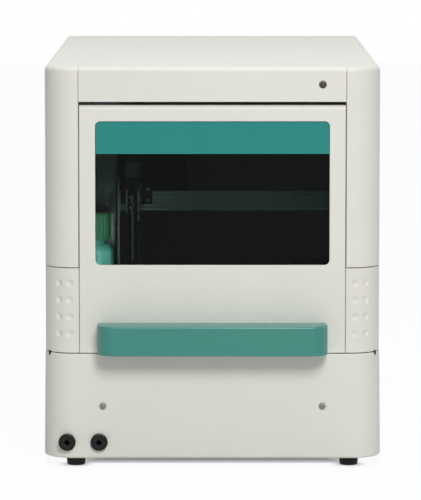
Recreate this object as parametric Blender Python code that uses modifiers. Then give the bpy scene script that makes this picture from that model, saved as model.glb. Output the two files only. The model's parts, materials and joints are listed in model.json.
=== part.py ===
"""A benchtop autosampler with a lift-up windowed door, built in metres, +Z up.

The front faces -Y, X runs to the right as seen from the front, and the object
stands on Z = 0 with its whole box centred on the origin in X and Y.
"""

import math

import bmesh
import bpy
from mathutils import Matrix, Vector

# Whole case
CASE_WIDTH = 0.300
HANDLE_REACH = 0.028
CORNER_RADIUS = 0.027
RETURN_DEPTH = 0.028
TOP_EDGE_RADIUS = 0.004
COVER_WALL = 0.002
REAR_LIP = 0.004
CLEARANCE = 0.0003
MERGE_DISTANCE = 0.00001
RUNNING_GAP = 0.0015
OVERRUN = 0.003
ARC_STEPS = 8

# Feet and base pan
FOOT_HEIGHT = 0.0083
FOOT_RADIUS = 0.0082
FOOT_TOP_RADIUS = 0.0093
FOOT_EDGE = 0.0015
FOOT_INSET = 0.0270
FOOT_FRONT_DEPTH = 0.022
FOOT_REAR_INSET = 0.030
PAN_WALL = 0.002
PAN_FLANGE = 0.022

# Front columns and header
COLUMN_WIDTH = 0.0305
FRONT_WALL = 0.007
HEADER_HEIGHT = 0.031
LIGHT_INSET = 0.0519
LIGHT_DROP = 0.0157
LIGHT_RADIUS = 0.0030
LIGHT_RIM = 0.0006
LIGHT_LENGTH = 0.006
LIGHT_CROWN = 0.0005

# Lower panel
LOWER_TOP = 0.1029
LOWER_WALL = 0.003
LOWER_PROUD = 0.0004
LOWER_FLARE = 0.0015
LOWER_EDGE = 0.0012
LOWER_FOOT_EDGE = 0.0024
SCREW_INSET = 0.0517
SCREW_HEIGHT = 0.0555
SCREW_HEAD_RADIUS = 0.0026
SCREW_SINK = 0.0009
SCREW_HEAD_DEPTH = 0.0014
SCREW_SHANK_RADIUS = 0.0014
SCREW_LENGTH = 0.009
SCREW_SLOT = 0.0007
SCREW_RECESS_RADIUS = 0.0031
NOZZLE_OUTER_INSET = 0.0197
NOZZLE_INNER_INSET = 0.0484
NOZZLE_HEIGHT = 0.0235
NOZZLE_RADIUS = 0.0077
NOZZLE_LIP_RADIUS = 0.0052
NOZZLE_BORE = 0.0024
NOZZLE_REACH = 0.0035
NOZZLE_LIP_REACH = 0.0055
NOZZLE_TAIL_RADIUS = 0.0040
NOZZLE_TAIL = 0.020
BUMPER_RADIUS = 0.0022
BUMPER_HEIGHT = 0.0044
BUMPER_SEAT = 0.0020
BUMPER_ANGLE = 32.0

# Door
DOOR_TOP_GAP = 0.003
DOOR_WALL = 0.005
DOOR_FLANGE_DEPTH = 0.012
DOOR_FLANGE_WALL = 0.003
DOOR_TOP_ROUND = 0.004
WINDOW_INSET = 0.0456
WINDOW_TOP_DROP = 0.0144
WINDOW_ABOVE_GRIP = 0.0033
WINDOW_CORNER = 0.0045
WINDOW_REBATE = 0.0035
WINDOW_THICKNESS = 0.002
WINDOW_RECESS = 0.0028
BAND_HEIGHT = 0.0291
BAND_THICKNESS = 0.001
HINGE_DROP = 0.009
HINGE_DEPTH = 0.010
HINGE_BOSS_RADIUS = 0.006
HINGE_BOSS_LENGTH = 0.010
HINGE_PIN_RADIUS = 0.002
HINGE_PIN_LENGTH = 0.013
HINGE_LUG_THICKNESS = 0.0075
HINGE_LUG_HALF = 0.008
HINGE_LUG_WEB = 0.0015

# Handle
HANDLE_INSET = 0.0474
HANDLE_HEIGHT = 0.0266
HANDLE_LIFT = 0.0002
HANDLE_WALL = 0.004
HANDLE_CORNER = 0.015
HANDLE_EDGE = 0.0018

# Grip dimples on the door's corners
DIMPLE_ROWS = 4
DIMPLE_PITCH = 0.0151
DIMPLE_TOP_DROP = 0.0130
DIMPLE_BOTTOM_RISE = 0.0171
DIMPLE_INNER_INSET = 0.0223
DIMPLE_OUTER_INSET = 0.0126
DIMPLE_RADIUS = 0.0034
DIMPLE_SINK = 0.0016

# Inner plates
LEFT_BAY = 0.0655
RIGHT_BAY = 0.040
PLATE_WALL = 0.002
PLATE_FRONT = 0.036
PLATE_LENGTH = 0.264
PLATE_ABOVE_RAIL = 0.030

# Sample chamber, tray and racks
CHAMBER_FLOOR = 0.112
CHAMBER_WALL = 0.003
CHAMBER_BASE = 0.004
CHAMBER_FRONT = 0.014
CHAMBER_REAR_GAP = 0.010
CHAMBER_SIDE_HEIGHT = 0.046
CHAMBER_LIP_HEIGHT = 0.012
CHAMBER_CORNER = 0.002
RUNNER_WIDTH = 0.004
RUNNER_HEIGHT = 0.004
RUNNER_INSET = 0.012
TRAY_THICKNESS = 0.0025
TRAY_LIP_HEIGHT = 0.010
TRAY_GAP = 0.0022
TRAY_GUIDE_DEPTH = 0.002
TRAY_GUIDE_WALL = 0.0016
RACK_GAP = 0.003
RACK_SIDE_GAP = 0.0007
RACK_LENGTH = 0.1278
RACK_HEIGHT = 0.030
RACK_EDGE = 0.0015
TRAY_TRAVEL = 0.090
VIAL_LEAST_PITCH = 0.0265
VIAL_ROW_PITCH = 0.030
VIAL_RADIUS = 0.01125
VIAL_NECK_RADIUS = 0.0085
VIAL_NECK_HEIGHT = 0.003
VIAL_CAP_RADIUS = 0.0100
VIAL_CAP_HEIGHT = 0.0065
VIAL_HEIGHT = 0.040
VIAL_BORE = 0.0027
VIAL_BASE = 0.003

# Needle drive
NEEDLE_TRAVEL_Z = 0.045
NEEDLE_CLEARANCE = 0.013
NEEDLE_RADIUS = 0.0008
NEEDLE_HUB_CLEARANCE = 0.002
NEEDLE_POINT = 0.003
NEEDLE_HUB_RADIUS = 0.0025
NEEDLE_HUB_HEIGHT = 0.0097
NEEDLE_NUT_RADIUS = 0.0021
NEEDLE_NUT_HEIGHT = 0.012
SLIDER_HEIGHT = 0.024
SLIDER_THICKNESS = 0.0147
SLIDER_FRONT_OF_NEEDLE = 0.008
SLIDER_CHEEK = 0.0024
SLIDER_CHEEK_DEPTH = 0.006
SLIDER_RIGHT_OF_NEEDLE = 0.004
SLIDER_EDGE = 0.001
ARM_WIDTH = 0.0075
ARM_DEPTH = 0.007
ARM_FROM_NEEDLE = 0.00525
ARM_BOTTOM_CLEARANCE = 0.009
RAIL_ABOVE_SLIDER = 0.0139
RAIL_HEIGHT = 0.0065
RAIL_SKIRT = 0.012
RAIL_DEPTH = 0.008
RAIL_STEP = 0.002
SADDLE_WIDTH = 0.027
SADDLE_LIP = 0.005
SADDLE_WALL = 0.0055
SADDLE_REAR_WALL = 0.003
SADDLE_LEFT_OF_NEEDLE = 0.015
MOTOR_SIDE = 0.034
MOTOR_LENGTH = 0.033
MOTOR_SHAFT_RADIUS = 0.0025
MOTOR_EDGE = 0.003
Z_MOTOR_SIDE = 0.018
Z_MOTOR_HEIGHT = 0.030

# Needle port block
PORT_WIDTH = 0.0186
PORT_LENGTH = 0.022
PORT_HEIGHT = 0.042
PORT_BORE = 0.0040
PORT_BASE = 0.005
PORT_RIM = 0.0012
PORT_FROM_PLATE = 0.013

# Fluidics bay
FLUIDICS_DEPTH = 0.092
FLUIDICS_HEADROOM = 0.022
SHELF_HEIGHT = 0.1372
SHELF_WALL = 0.0025
SHELF_FRONT = 0.033
SHELF_LIP = 0.008
BOTTLE_DEPTH = 0.060
BOTTLE_FROM_SIDE = 0.0385
BOTTLE_RADIUS = 0.0256
BOTTLE_SHOULDER = 0.0595
BOTTLE_NECK_RADIUS = 0.0170
BOTTLE_HEIGHT = 0.0755
BOTTLE_EDGE = 0.004
BOTTLE_WALL = 0.002
BOTTLE_MOUTH = 0.013
CAP_RADIUS = 0.0216
CAP_HEIGHT = 0.0264
CAP_EDGE = 0.002
TUBE_RADIUS = 0.0016
TUBE_OFF_CENTRE = 0.008
TUBE_BEND = 0.012

# Syringe
SYRINGE_DRIVE_WIDTH = 0.030
SYRINGE_DRIVE_DEPTH = 0.0397
SYRINGE_DRIVE_HEIGHT = 0.094
SYRINGE_ABOVE_CAP = 0.0153
SYRINGE_FROM_WALL = 0.008
SYRINGE_DEPTH = 0.042
SYRINGE_RADIUS = 0.0055
SYRINGE_BORE = 0.0028
SYRINGE_LENGTH = 0.044
SYRINGE_TOP_DROP = 0.023
SYRINGE_HEAD = 0.020
SYRINGE_KNOB_RADIUS = 0.0065
SYRINGE_KNOB_LENGTH = 0.006
SYRINGE_KNOB_BAR = 0.0024
SYRINGE_DRIVE_EDGE = 0.001
PLUNGER_RADIUS = 0.0022
PLUNGER_TRAVEL = 0.025
PLUNGER_DROP = 0.004
PLUNGER_FOOT = 0.006
PLUNGER_FOOT_WIDTH = 0.010
PLUNGER_TONGUE = 0.004
PLUNGER_TONGUE_DEPTH = 0.012

# Injection valve
VALVE_SIDE = 0.031
VALVE_BELOW_MOTOR = 0.0255
VALVE_FRONT = 0.066
VALVE_HEAD_RADIUS = 0.014
VALVE_HEAD_LENGTH = 0.012
VALVE_ROTOR_RADIUS = 0.0148
VALVE_ROTOR_LENGTH = 0.0054
VALVE_BODY_LENGTH = 0.066
VALVE_PORTS = 6
VALVE_PORT_CIRCLE = 0.009
VALVE_PORT_RADIUS = 0.0024
VALVE_PORT_LENGTH = 0.007
LOOP_RADIUS = 0.0008
LOOP_REACH = 0.022

# Cooling and electronics
SINK_HALF_WIDTH = 0.040
SINK_BASE = 0.006
SINK_DEPTH = 0.034
SINK_FINS = 9
SINK_FIN = 0.002
SINK_HEIGHT = 0.056
SINK_BOTTOM = 0.100
FAN_SIDE = 0.080
FAN_DEPTH = 0.025
FAN_FROM_CENTRE = 0.060
FAN_HEIGHT = 0.225
FAN_BORE = 0.0375
FAN_TIP_GAP = 0.0015
FAN_HUB_RADIUS = 0.0155
FAN_BLADES = 7
FAN_BLADE_PITCH = 38.0
FAN_BLADE_CHORD = 0.020
FAN_BLADE_WALL = 0.0014
FAN_STRUT = 0.004
FAN_HUB_PLATE = 0.003
FAN_CORNER = 0.005
FAN_BLADE_ROOT_SHARE = 0.8
GRILLE_SLOT = 0.0036
GRILLE_PITCH = 0.0085
REAR_WALL = 0.0015
BOARD_HEIGHT = 0.012
BOARD_WALL = 0.0016
BOARD_LENGTH = 0.170
BOARD_WIDTH = 0.120
BOARD_FROM_SIDE = 0.006
BOARD_REAR_GAP = 0.040
POST_RADIUS = 0.003
POST_INSET = 0.006
CHIP_HEIGHT = 0.004
CHIP_SHARE = 0.16
CHIP_PLACE_SHARES = ((0.30, 0.30), (0.62, 0.34), (0.36, 0.66), (0.70, 0.72))
SUPPLY_WIDTH = 0.100
SUPPLY_LENGTH = 0.160
SUPPLY_HEIGHT = 0.044
SUPPLY_EDGE = 0.002
SUPPLY_FROM_SIDE = 0.006
SUPPLY_REAR_GAP = 0.045
SUPPLY_BEHIND_PLATES = 0.0345

# Rear connectors
INLET_WIDTH = 0.060
INLET_HEIGHT = 0.031
INLET_FROM_SIDE = 0.052
INLET_CENTRE_Z = 0.120
INLET_DEPTH = 0.024
INLET_FLANGE = 0.0015
INLET_FLANGE_LIP = 0.003
SOCKET_WIDTH = 0.025
SOCKET_HEIGHT = 0.017
SOCKET_DEPTH = 0.016
SOCKET_CHAMFER = 0.004
SOCKET_FROM_CENTRE = 0.0125
CONTACT_WIDTH = 0.0022
CONTACT_HEIGHT = 0.0055
CONTACT_PITCH = 0.007
CONTACT_DROP = 0.005
SWITCH_WIDTH = 0.013
SWITCH_HALF_HEIGHT = 0.010
SWITCH_FROM_CENTRE = 0.0185
SWITCH_AXIS_DEPTH = 0.004
SWITCH_FACE = 0.0042
SWITCH_FACE_DIP = 0.0014
SWITCH_BACK = 0.003
SWITCH_TILT = 8.0
SWITCH_POCKET_GAP = 0.0012
SWITCH_POCKET_DEPTH = 0.006
NETWORK_WIDTH = 0.016
NETWORK_HEIGHT = 0.0135
NETWORK_DEPTH = 0.020
NETWORK_WALL = 0.0016
NETWORK_FROM_SIDE = 0.050
NETWORK_CENTRE_Z = 0.060

# Places worked out from the sizes above
HALF = CASE_WIDTH / 2
PLATES_DEPTH = PLATE_FRONT + PLATE_LENGTH
SUPPLY_BAY_DEPTH = SUPPLY_BEHIND_PLATES + SUPPLY_LENGTH + SUPPLY_REAR_GAP
CASE_DEPTH = PLATES_DEPTH + SUPPLY_BAY_DEPTH + REAR_WALL + REAR_LIP
FRONT = (HANDLE_REACH - CASE_DEPTH) / 2
REAR = FRONT + CASE_DEPTH
RETURN_END = FRONT + RETURN_DEPTH
BASE = FOOT_HEIGHT + CLEARANCE
PAN_TOP = BASE + CLEARANCE + PAN_WALL
COLUMN_EDGE = HALF - COLUMN_WIDTH
DOOR_HALF = COLUMN_EDGE - RUNNING_GAP
BOTTLE_X = BOTTLE_FROM_SIDE - HALF
BOTTLE_Y = FRONT + BOTTLE_DEPTH
BOTTLE_Z = SHELF_HEIGHT + CLEARANCE
CAP_TOP = BOTTLE_Z + BOTTLE_SHOULDER + CLEARANCE + CAP_HEIGHT + BOTTLE_WALL
SYRINGE_DRIVE_TOP = CAP_TOP + SYRINGE_ABOVE_CAP + SYRINGE_DRIVE_HEIGHT
FLUIDICS_TOP = SYRINGE_DRIVE_TOP + OVERRUN
CASE_HEIGHT = FLUIDICS_TOP + FLUIDICS_HEADROOM
HEADER_BOTTOM = CASE_HEIGHT - HEADER_HEIGHT
DOOR_TOP = HEADER_BOTTOM - DOOR_TOP_GAP
DOOR_BOTTOM = LOWER_TOP + RUNNING_GAP
DIMPLES_HEIGHT = DIMPLE_PITCH * (DIMPLE_ROWS - 1)
GRIP_TOP = DOOR_BOTTOM + DIMPLE_BOTTOM_RISE + DIMPLES_HEIGHT + DIMPLE_TOP_DROP
COLUMN_BOTTOM = GRIP_TOP + RUNNING_GAP
HINGE_Y = FRONT + HINGE_DEPTH
HINGE_Z = DOOR_TOP - HINGE_DROP
WINDOW_TOP = DOOR_TOP - WINDOW_TOP_DROP
WINDOW_BOTTOM = GRIP_TOP + WINDOW_ABOVE_GRIP
WINDOW_HALF_WIDTH = HALF - WINDOW_INSET
HANDLE_HALF_WIDTH = HALF - HANDLE_INSET
LIGHT_X = HALF - LIGHT_INSET
SCREW_FROM_CENTRE = HALF - SCREW_INSET
REAR_FACE = REAR - REAR_LIP
REAR_INNER = REAR_FACE - REAR_WALL
LEFT_PLATE = -HALF + LEFT_BAY
RIGHT_PLATE = HALF - RIGHT_BAY
CHAMBER_LEFT = LEFT_PLATE + PLATE_WALL + CLEARANCE
CHAMBER_RIGHT = RIGHT_PLATE - CLEARANCE - PORT_WIDTH - CLEARANCE
RACK_LEFT = CHAMBER_LEFT + CHAMBER_WALL + RACK_SIDE_GAP
RACK_WIDTH = (CHAMBER_RIGHT - CHAMBER_WALL - RACK_SIDE_GAP - RACK_GAP - RACK_LEFT) / 2
VIAL_COLUMNS = int(RACK_WIDTH / VIAL_LEAST_PITCH)
VIAL_PITCH = RACK_WIDTH / VIAL_COLUMNS
VIAL_ROWS = int(RACK_LENGTH / VIAL_ROW_PITCH)
RUNNER_TOP = CHAMBER_FLOOR + RUNNER_HEIGHT
RACK_BASE = RUNNER_TOP + CLEARANCE + TRAY_THICKNESS + CLEARANCE
VIAL_TOP = RACK_BASE + VIAL_HEIGHT
TRAY_FRONT = FRONT + CHAMBER_FRONT + CHAMBER_WALL + TRAY_GAP
RACK_FRONT = TRAY_FRONT + TRAY_GUIDE_WALL + CLEARANCE
CHAMBER_REAR = RACK_FRONT + RACK_LENGTH + TRAY_TRAVEL + CHAMBER_REAR_GAP + CHAMBER_WALL
NEEDLE_X = RACK_LEFT + VIAL_PITCH / 2
NEEDLE_Y = RACK_FRONT + RACK_LENGTH / 2 + VIAL_ROW_PITCH * (VIAL_ROWS - 1) / 2
NEEDLE_TIP = VIAL_TOP + NEEDLE_CLEARANCE
HUB_BOTTOM = VIAL_TOP + NEEDLE_HUB_CLEARANCE + NEEDLE_TRAVEL_Z
SLIDER_BOTTOM = HUB_BOTTOM + NEEDLE_HUB_HEIGHT + CLEARANCE
SLIDER_BACK = NEEDLE_Y - SLIDER_FRONT_OF_NEEDLE + SLIDER_THICKNESS
ARM_FRONT = SLIDER_BACK + CLEARANCE
ARM_X = NEEDLE_X - ARM_FROM_NEEDLE
RAIL_FRONT = ARM_FRONT + ARM_DEPTH + SADDLE_WALL + CLEARANCE
RAIL_Z = SLIDER_BOTTOM + RAIL_ABOVE_SLIDER
SADDLE_TOP = RAIL_Z + RAIL_HEIGHT + CLEARANCE + SADDLE_LIP
PLATE_TOP = RAIL_Z + PLATE_ABOVE_RAIL
PORT_X = RIGHT_PLATE - PORT_FROM_PLATE
FLUIDICS_BACK = FRONT + FLUIDICS_DEPTH
SYRINGE_X = -HALF + SYRINGE_FROM_WALL + SYRINGE_DRIVE_WIDTH / 2
SYRINGE_Y = FRONT + SYRINGE_DEPTH
SYRINGE_TOP = SYRINGE_DRIVE_TOP - SYRINGE_TOP_DROP
VALVE_X = RIGHT_PLATE + PLATE_WALL + CLEARANCE + VALVE_SIDE / 2
VALVE_Y = FRONT + VALVE_FRONT
MOTOR_Z = RAIL_Z - RAIL_SKIRT / 2
VALVE_HEIGHT = MOTOR_Z - MOTOR_SIDE / 2 - VALVE_BELOW_MOTOR - VALVE_SIDE / 2
INLET_CENTRE_X = HALF - INLET_FROM_SIDE
NETWORK_CENTRE_X = NETWORK_FROM_SIDE - HALF

FINISHES = {
    "case_grey": ((0.76, 0.75, 0.71), 0.45, 0.0),
    "trim_teal": ((0.07, 0.27, 0.23), 0.40, 0.0),
    "window_glass": ((0.012, 0.016, 0.014), 0.08, 0.0),
    "rubber_black": ((0.012, 0.012, 0.011), 0.80, 0.0),
    "nozzle_black": ((0.014, 0.014, 0.012), 0.45, 0.0),
    "light_grey_lens": ((0.10, 0.09, 0.08), 0.25, 0.0),
    "zinc_sheet": ((0.52, 0.53, 0.54), 0.40, 1.0),
    "bright_steel": ((0.62, 0.62, 0.62), 0.25, 1.0),
    "aluminium": ((0.70, 0.71, 0.72), 0.35, 1.0),
    "motor_black": ((0.03, 0.03, 0.03), 0.50, 0.3),
    "chamber_white": ((0.60, 0.61, 0.60), 0.50, 0.0),
    "rack_blue_grey": ((0.20, 0.24, 0.27), 0.45, 0.0),
    "bottle_teal": ((0.04, 0.22, 0.16), 0.12, 0.0),
    "cap_green": ((0.02, 0.09, 0.05), 0.35, 0.0),
    "clear_tube": ((0.75, 0.78, 0.78), 0.15, 0.0),
    "resin_white": ((0.70, 0.70, 0.68), 0.40, 0.0),
    "board_green": ((0.02, 0.10, 0.04), 0.45, 0.0),
    "connector_black": ((0.02, 0.02, 0.02), 0.40, 0.0),
}


def clear_scene():
    for obj in list(bpy.data.objects):
        bpy.data.objects.remove(obj, do_unlink=True)


def make_collection(name):
    collection = bpy.data.collections.new(name)
    bpy.context.scene.collection.children.link(collection)
    return collection


clear_scene()
PARTS = make_collection("autosampler")
HELPERS = make_collection("cutters")


def finish(name):
    """The Principled material of this finish, made once."""
    if name in bpy.data.materials:
        return bpy.data.materials[name]
    colour, roughness, metallic = FINISHES[name]
    material = bpy.data.materials.new(name)
    material.use_nodes = True
    shader = material.node_tree.nodes["Principled BSDF"]
    shader.inputs["Base Color"].default_value = (*colour, 1.0)
    shader.inputs["Roughness"].default_value = roughness
    shader.inputs["Metallic"].default_value = metallic
    material.diffuse_color = (*colour, 1.0)
    return material


def place(obj, look):
    """Puts the object with the parts in its finish or, with no finish, with the helpers."""
    collection = PARTS if look else HELPERS
    collection.objects.link(obj)
    if look:
        obj.data.materials.append(finish(look))
    else:
        obj.hide_render = True
        obj.display_type = "WIRE"
    return obj


def from_bmesh(name, build, look, location=(0, 0, 0)):
    mesh = bpy.data.meshes.new(name)
    bmesh.ops.recalc_face_normals(build, faces=build.faces)
    build.to_mesh(mesh)
    build.free()
    obj = bpy.data.objects.new(name, mesh)
    obj.location = location
    return place(obj, look)


def block(name, low, high, look=None, edge=0.0, steps=1):
    """A box between two corners, with its edges rounded."""
    low = Vector(low)
    high = Vector(high)
    build = bmesh.new()
    bmesh.ops.create_cube(build, size=1)
    bmesh.ops.scale(build, vec=high - low, verts=build.verts)
    if edge:
        bmesh.ops.bevel(
            build, geom=build.edges[:], offset=edge, segments=steps, profile=0.5, affect="EDGES"
        )
    return from_bmesh(name, build, look, (low + high) / 2)


def axis_turn(axis):
    """The rotation that takes +Z to the named axis."""
    turns = {
        "x": (0, math.pi / 2, 0),
        "-y": (math.pi / 2, 0, 0),
        "y": (-math.pi / 2, 0, 0),
        "z": (0, 0, 0),
    }
    return turns[axis]


def cylinder(name, start, radius, length, axis, look=None, sides=24, end_radius=None):
    """A round bar or cone from a start point along an axis."""
    build = bmesh.new()
    bmesh.ops.create_cone(
        build,
        cap_ends=True,
        segments=sides,
        radius1=radius,
        radius2=radius if end_radius is None else end_radius,
        depth=abs(length),
    )
    bmesh.ops.translate(build, vec=(0, 0, length / 2), verts=build.verts)
    obj = from_bmesh(name, build, look, start)
    obj.rotation_euler = axis_turn(axis)
    obj.data.shade_smooth()
    obj.data.set_sharp_from_angle(angle=math.radians(40))
    return obj


def turned(name, profile, start, axis, look=None, sides=24):
    """A profile of (radius, height) points turned about an axis, closed if it ends at its start."""
    build = bmesh.new()
    closed = profile[0] == profile[-1]
    points = profile[:-1] if closed else profile
    corners = [build.verts.new((radius, 0, height)) for radius, height in points]
    if closed:
        corners.append(corners[0])
    for above, below in zip(corners, corners[1:]):
        build.edges.new((above, below))
    mesh = bpy.data.meshes.new(name)
    build.to_mesh(mesh)
    build.free()
    obj = place(bpy.data.objects.new(name, mesh), look)
    obj.location = start
    obj.rotation_euler = axis_turn(axis)
    screw = obj.modifiers.new("turn", "SCREW")
    screw.steps = sides
    screw.render_steps = sides
    screw.use_merge_vertices = True
    screw.merge_threshold = MERGE_DISTANCE
    screw.use_smooth_shade = True
    return obj


def arc(centre, radius, start, end, steps=ARC_STEPS):
    """Points on a circle's arc between two angles in degrees."""
    points = []
    for step in range(steps + 1):
        angle = math.radians(start + (end - start) * step / steps)
        points.append((centre[0] + radius * math.cos(angle), centre[1] + radius * math.sin(angle)))
    return points


def rounded_rectangle(left, bottom, right, top, radius, steps=4):
    return (
        arc((right - radius, top - radius), radius, 0, 90, steps)
        + arc((left + radius, top - radius), radius, 90, 180, steps)
        + arc((left + radius, bottom + radius), radius, 180, 270, steps)
        + arc((right - radius, bottom + radius), radius, 270, 360, steps)
    )


def drawn(name, outlines, thickness, look, turn, location):
    """A filled flat outline given a thickness, as a mesh. Inner outlines are holes."""
    curve = bpy.data.curves.new(name, "CURVE")
    curve.dimensions = "2D"
    curve.fill_mode = "BOTH"
    curve.extrude = thickness / 2
    for outline in outlines:
        spline = curve.splines.new("POLY")
        spline.points.add(len(outline) - 1)
        for point, (across, up) in zip(spline.points, outline):
            point.co = (across, up, 0, 1)
        spline.use_cyclic_u = True
    drawing = bpy.data.objects.new(name + "_outline", curve)
    HELPERS.objects.link(drawing)
    drawing.rotation_euler = turn
    drawing.location = location
    bpy.context.view_layer.update()
    evaluated = drawing.evaluated_get(bpy.context.evaluated_depsgraph_get())
    mesh = bpy.data.meshes.new_from_object(evaluated)
    mesh.name = name
    build = bmesh.new()
    build.from_mesh(mesh)
    bmesh.ops.remove_doubles(build, verts=build.verts, dist=MERGE_DISTANCE)
    bmesh.ops.dissolve_limit(
        build, angle_limit=math.radians(0.5), verts=build.verts, edges=build.edges
    )
    bmesh.ops.recalc_face_normals(build, faces=build.faces)
    build.to_mesh(mesh)
    build.free()
    mesh.materials.clear()
    obj = bpy.data.objects.new(name, mesh)
    obj.matrix_world = drawing.matrix_world
    bpy.data.objects.remove(drawing, do_unlink=True)
    return place(obj, look)


def plan_piece(name, outlines, low, high, look=None):
    """Outlines in X and Y, between two heights."""
    return drawn(name, outlines, high - low, look, (0, 0, 0), (0, 0, (low + high) / 2))


def front_piece(name, outlines, near, far, look=None):
    """Outlines in X and Z, between two values of Y."""
    return drawn(
        name, outlines, far - near, look, (math.pi / 2, 0, 0), (0, (near + far) / 2, 0)
    )


def side_piece(name, outlines, left, right, look=None):
    """Outlines in Y and Z, between two values of X."""
    return drawn(
        name,
        outlines,
        right - left,
        look,
        (math.pi / 2, 0, math.pi / 2),
        ((left + right) / 2, 0, 0),
    )


def tube(name, points, radius, look, sides=2):
    """A round bar along a smooth route."""
    curve = bpy.data.curves.new(name, "CURVE")
    curve.dimensions = "3D"
    curve.bevel_depth = radius
    curve.bevel_resolution = sides
    curve.use_fill_caps = True
    spline = curve.splines.new("POLY")
    spline.points.add(len(points) - 1)
    for point, place_at in zip(spline.points, points):
        point.co = (*place_at, 1)
    return place(bpy.data.objects.new(name, curve), look)


def smooth_route(guides, steps):
    """Points on a Catmull-Rom curve through the guide points."""
    guides = [Vector(guide) for guide in guides]
    padded = [guides[0] * 2 - guides[1], *guides, guides[-1] * 2 - guides[-2]]
    points = []
    for before, start, end, after in zip(padded, padded[1:], padded[2:], padded[3:]):
        for step in range(steps):
            t = step / steps
            points.append(
                (
                    start * 2
                    + (end - before) * t
                    + (before * 2 - start * 5 + end * 4 - after) * t**2
                    + (start * 3 - before - end * 3 + after) * t**3
                )
                / 2
            )
    points.append(guides[-1])
    return points


def combine(target, operation, others):
    for other in others:
        boolean = target.modifiers.new(other.name, "BOOLEAN")
        boolean.operation = operation
        boolean.object = other
    return target


def cut(target, *others):
    return combine(target, "DIFFERENCE", others)


def join(target, *others):
    return combine(target, "UNION", others)


def keep_inside(target, *others):
    return combine(target, "INTERSECT", others)


def round_edges(obj, radius, steps, chosen):
    """Rounds the mesh edges whose two ends, in world places, pass the test."""
    build = bmesh.new()
    build.from_mesh(obj.data)
    to_world = obj.matrix_world
    edges = [
        edge
        for edge in build.edges
        if chosen(to_world @ edge.verts[0].co, to_world @ edge.verts[1].co)
    ]
    bmesh.ops.bevel(
        build, geom=edges, offset=radius, segments=steps, profile=0.5, affect="EDGES",
        clamp_overlap=True,
    )
    build.to_mesh(obj.data)
    build.free()
    return obj


def near(a, b):
    return abs(a - b) < CLEARANCE / 3


def mirrored(outline):
    """The same outline on the other side of X = 0."""
    return [(-across, along) for across, along in reversed(outline)]


def sided(outline, side):
    return outline if side > 0 else mirrored(outline)


def sides():
    return (("left", -1), ("right", 1))


def corner_wall(inner, wall, back):
    """Plan of a wall round the right front corner, from X = inner to the side's Y = back."""
    centre = (HALF - CORNER_RADIUS, FRONT + CORNER_RADIUS)
    outer = arc(centre, CORNER_RADIUS, -90, 0)
    inside = arc(centre, CORNER_RADIUS - wall, 0, -90)
    return [
        (inner, FRONT),
        *outer,
        (HALF, back),
        (HALF - wall, back),
        *inside,
        (inner, FRONT + wall),
    ]


def inner_plan(half, wall, rear):
    """Plan of what fits inside the front wall and widens behind it."""
    centre = (HALF - CORNER_RADIUS, FRONT + CORNER_RADIUS)
    radius = CORNER_RADIUS - wall - CLEARANCE
    right = [
        *arc(centre, radius, -90, 0),
        (centre[0] + radius, RETURN_END + CLEARANCE),
        (half, RETURN_END + CLEARANCE),
        (half, rear),
    ]
    return mirrored(right) + right


def base_pan():
    """Bottom sheet with turned-up sides, inside the lower panel and the cover."""
    half = HALF - COVER_WALL - CLEARANCE
    bottom = BASE + CLEARANCE
    outline = inner_plan(half - PAN_WALL / 2, LOWER_WALL, REAR_INNER - CLEARANCE)
    pan = plan_piece("base_pan", [outline], bottom, PAN_TOP, "zinc_sheet")
    for name, side in sides():
        outer = side * half
        inner = side * (half - PAN_WALL)
        flange = block(
            "pan_flange_" + name,
            (min(outer, inner), RETURN_END + RUNNING_GAP, bottom + PAN_WALL / 2),
            (max(outer, inner), REAR_INNER - RUNNING_GAP, bottom + PAN_FLANGE),
        )
        join(pan, flange)
    return pan


def feet():
    reach = HALF - FOOT_INSET
    rows = (("front", FRONT + FOOT_FRONT_DEPTH), ("rear", REAR - FOOT_REAR_INSET))
    for row, along in rows:
        for name, side in sides():
            profile = [
                (0, FOOT_HEIGHT),
                (FOOT_TOP_RADIUS, FOOT_HEIGHT),
                (FOOT_TOP_RADIUS, FOOT_HEIGHT - FOOT_EDGE),
                (FOOT_RADIUS, FOOT_EDGE),
                (FOOT_RADIUS - FOOT_EDGE, 0),
                (0, 0),
            ]
            start = (side * reach, along, 0)
            turned(f"foot_{row}_{name}", profile, start, "z", "rubber_black", 16)


def case_cover():
    """Top and sides in one sheet, cut back round the front mouldings."""
    top = CASE_HEIGHT
    radius = TOP_EDGE_RADIUS
    outer = [
        (HALF, BASE),
        *arc((HALF - radius, top - radius), radius, 0, 90, 4),
        *arc((radius - HALF, top - radius), radius, 90, 180, 4),
        (-HALF, BASE),
    ]
    inner_half = HALF - COVER_WALL
    inner_top = top - COVER_WALL
    small = radius - COVER_WALL
    inner = [
        (-inner_half, BASE),
        *arc((small - inner_half, inner_top - small), small, 180, 90, 4),
        *arc((inner_half - small, inner_top - small), small, 90, 0, 4),
        (inner_half, BASE),
    ]
    front = FRONT + FRONT_WALL
    cover = front_piece("case_cover", [outer + inner], front - OVERRUN, REAR, "case_grey")
    outline = inner_plan(HALF + OVERRUN, FRONT_WALL, REAR + OVERRUN)
    trim = plan_piece("cover_trim", [outline], BASE - OVERRUN, CASE_HEIGHT + OVERRUN)
    return keep_inside(cover, trim)


def on_outer_top(start, end):
    """True for the top edges of the front mouldings that face outwards."""
    if not (near(start.z, CASE_HEIGHT) and near(end.z, CASE_HEIGHT)):
        return False
    return on_outer_plan(start) and on_outer_plan(end)


def on_outer_plan(point):
    """True on the case's outer front wall, seen from above."""
    across = abs(point.x) - (HALF - CORNER_RADIUS)
    along = FRONT + CORNER_RADIUS - point.y
    if across > 0 and along > 0:
        return abs(math.hypot(across, along) - CORNER_RADIUS) < CLEARANCE
    return near(point.y, FRONT) or near(abs(point.x), HALF)


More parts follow.
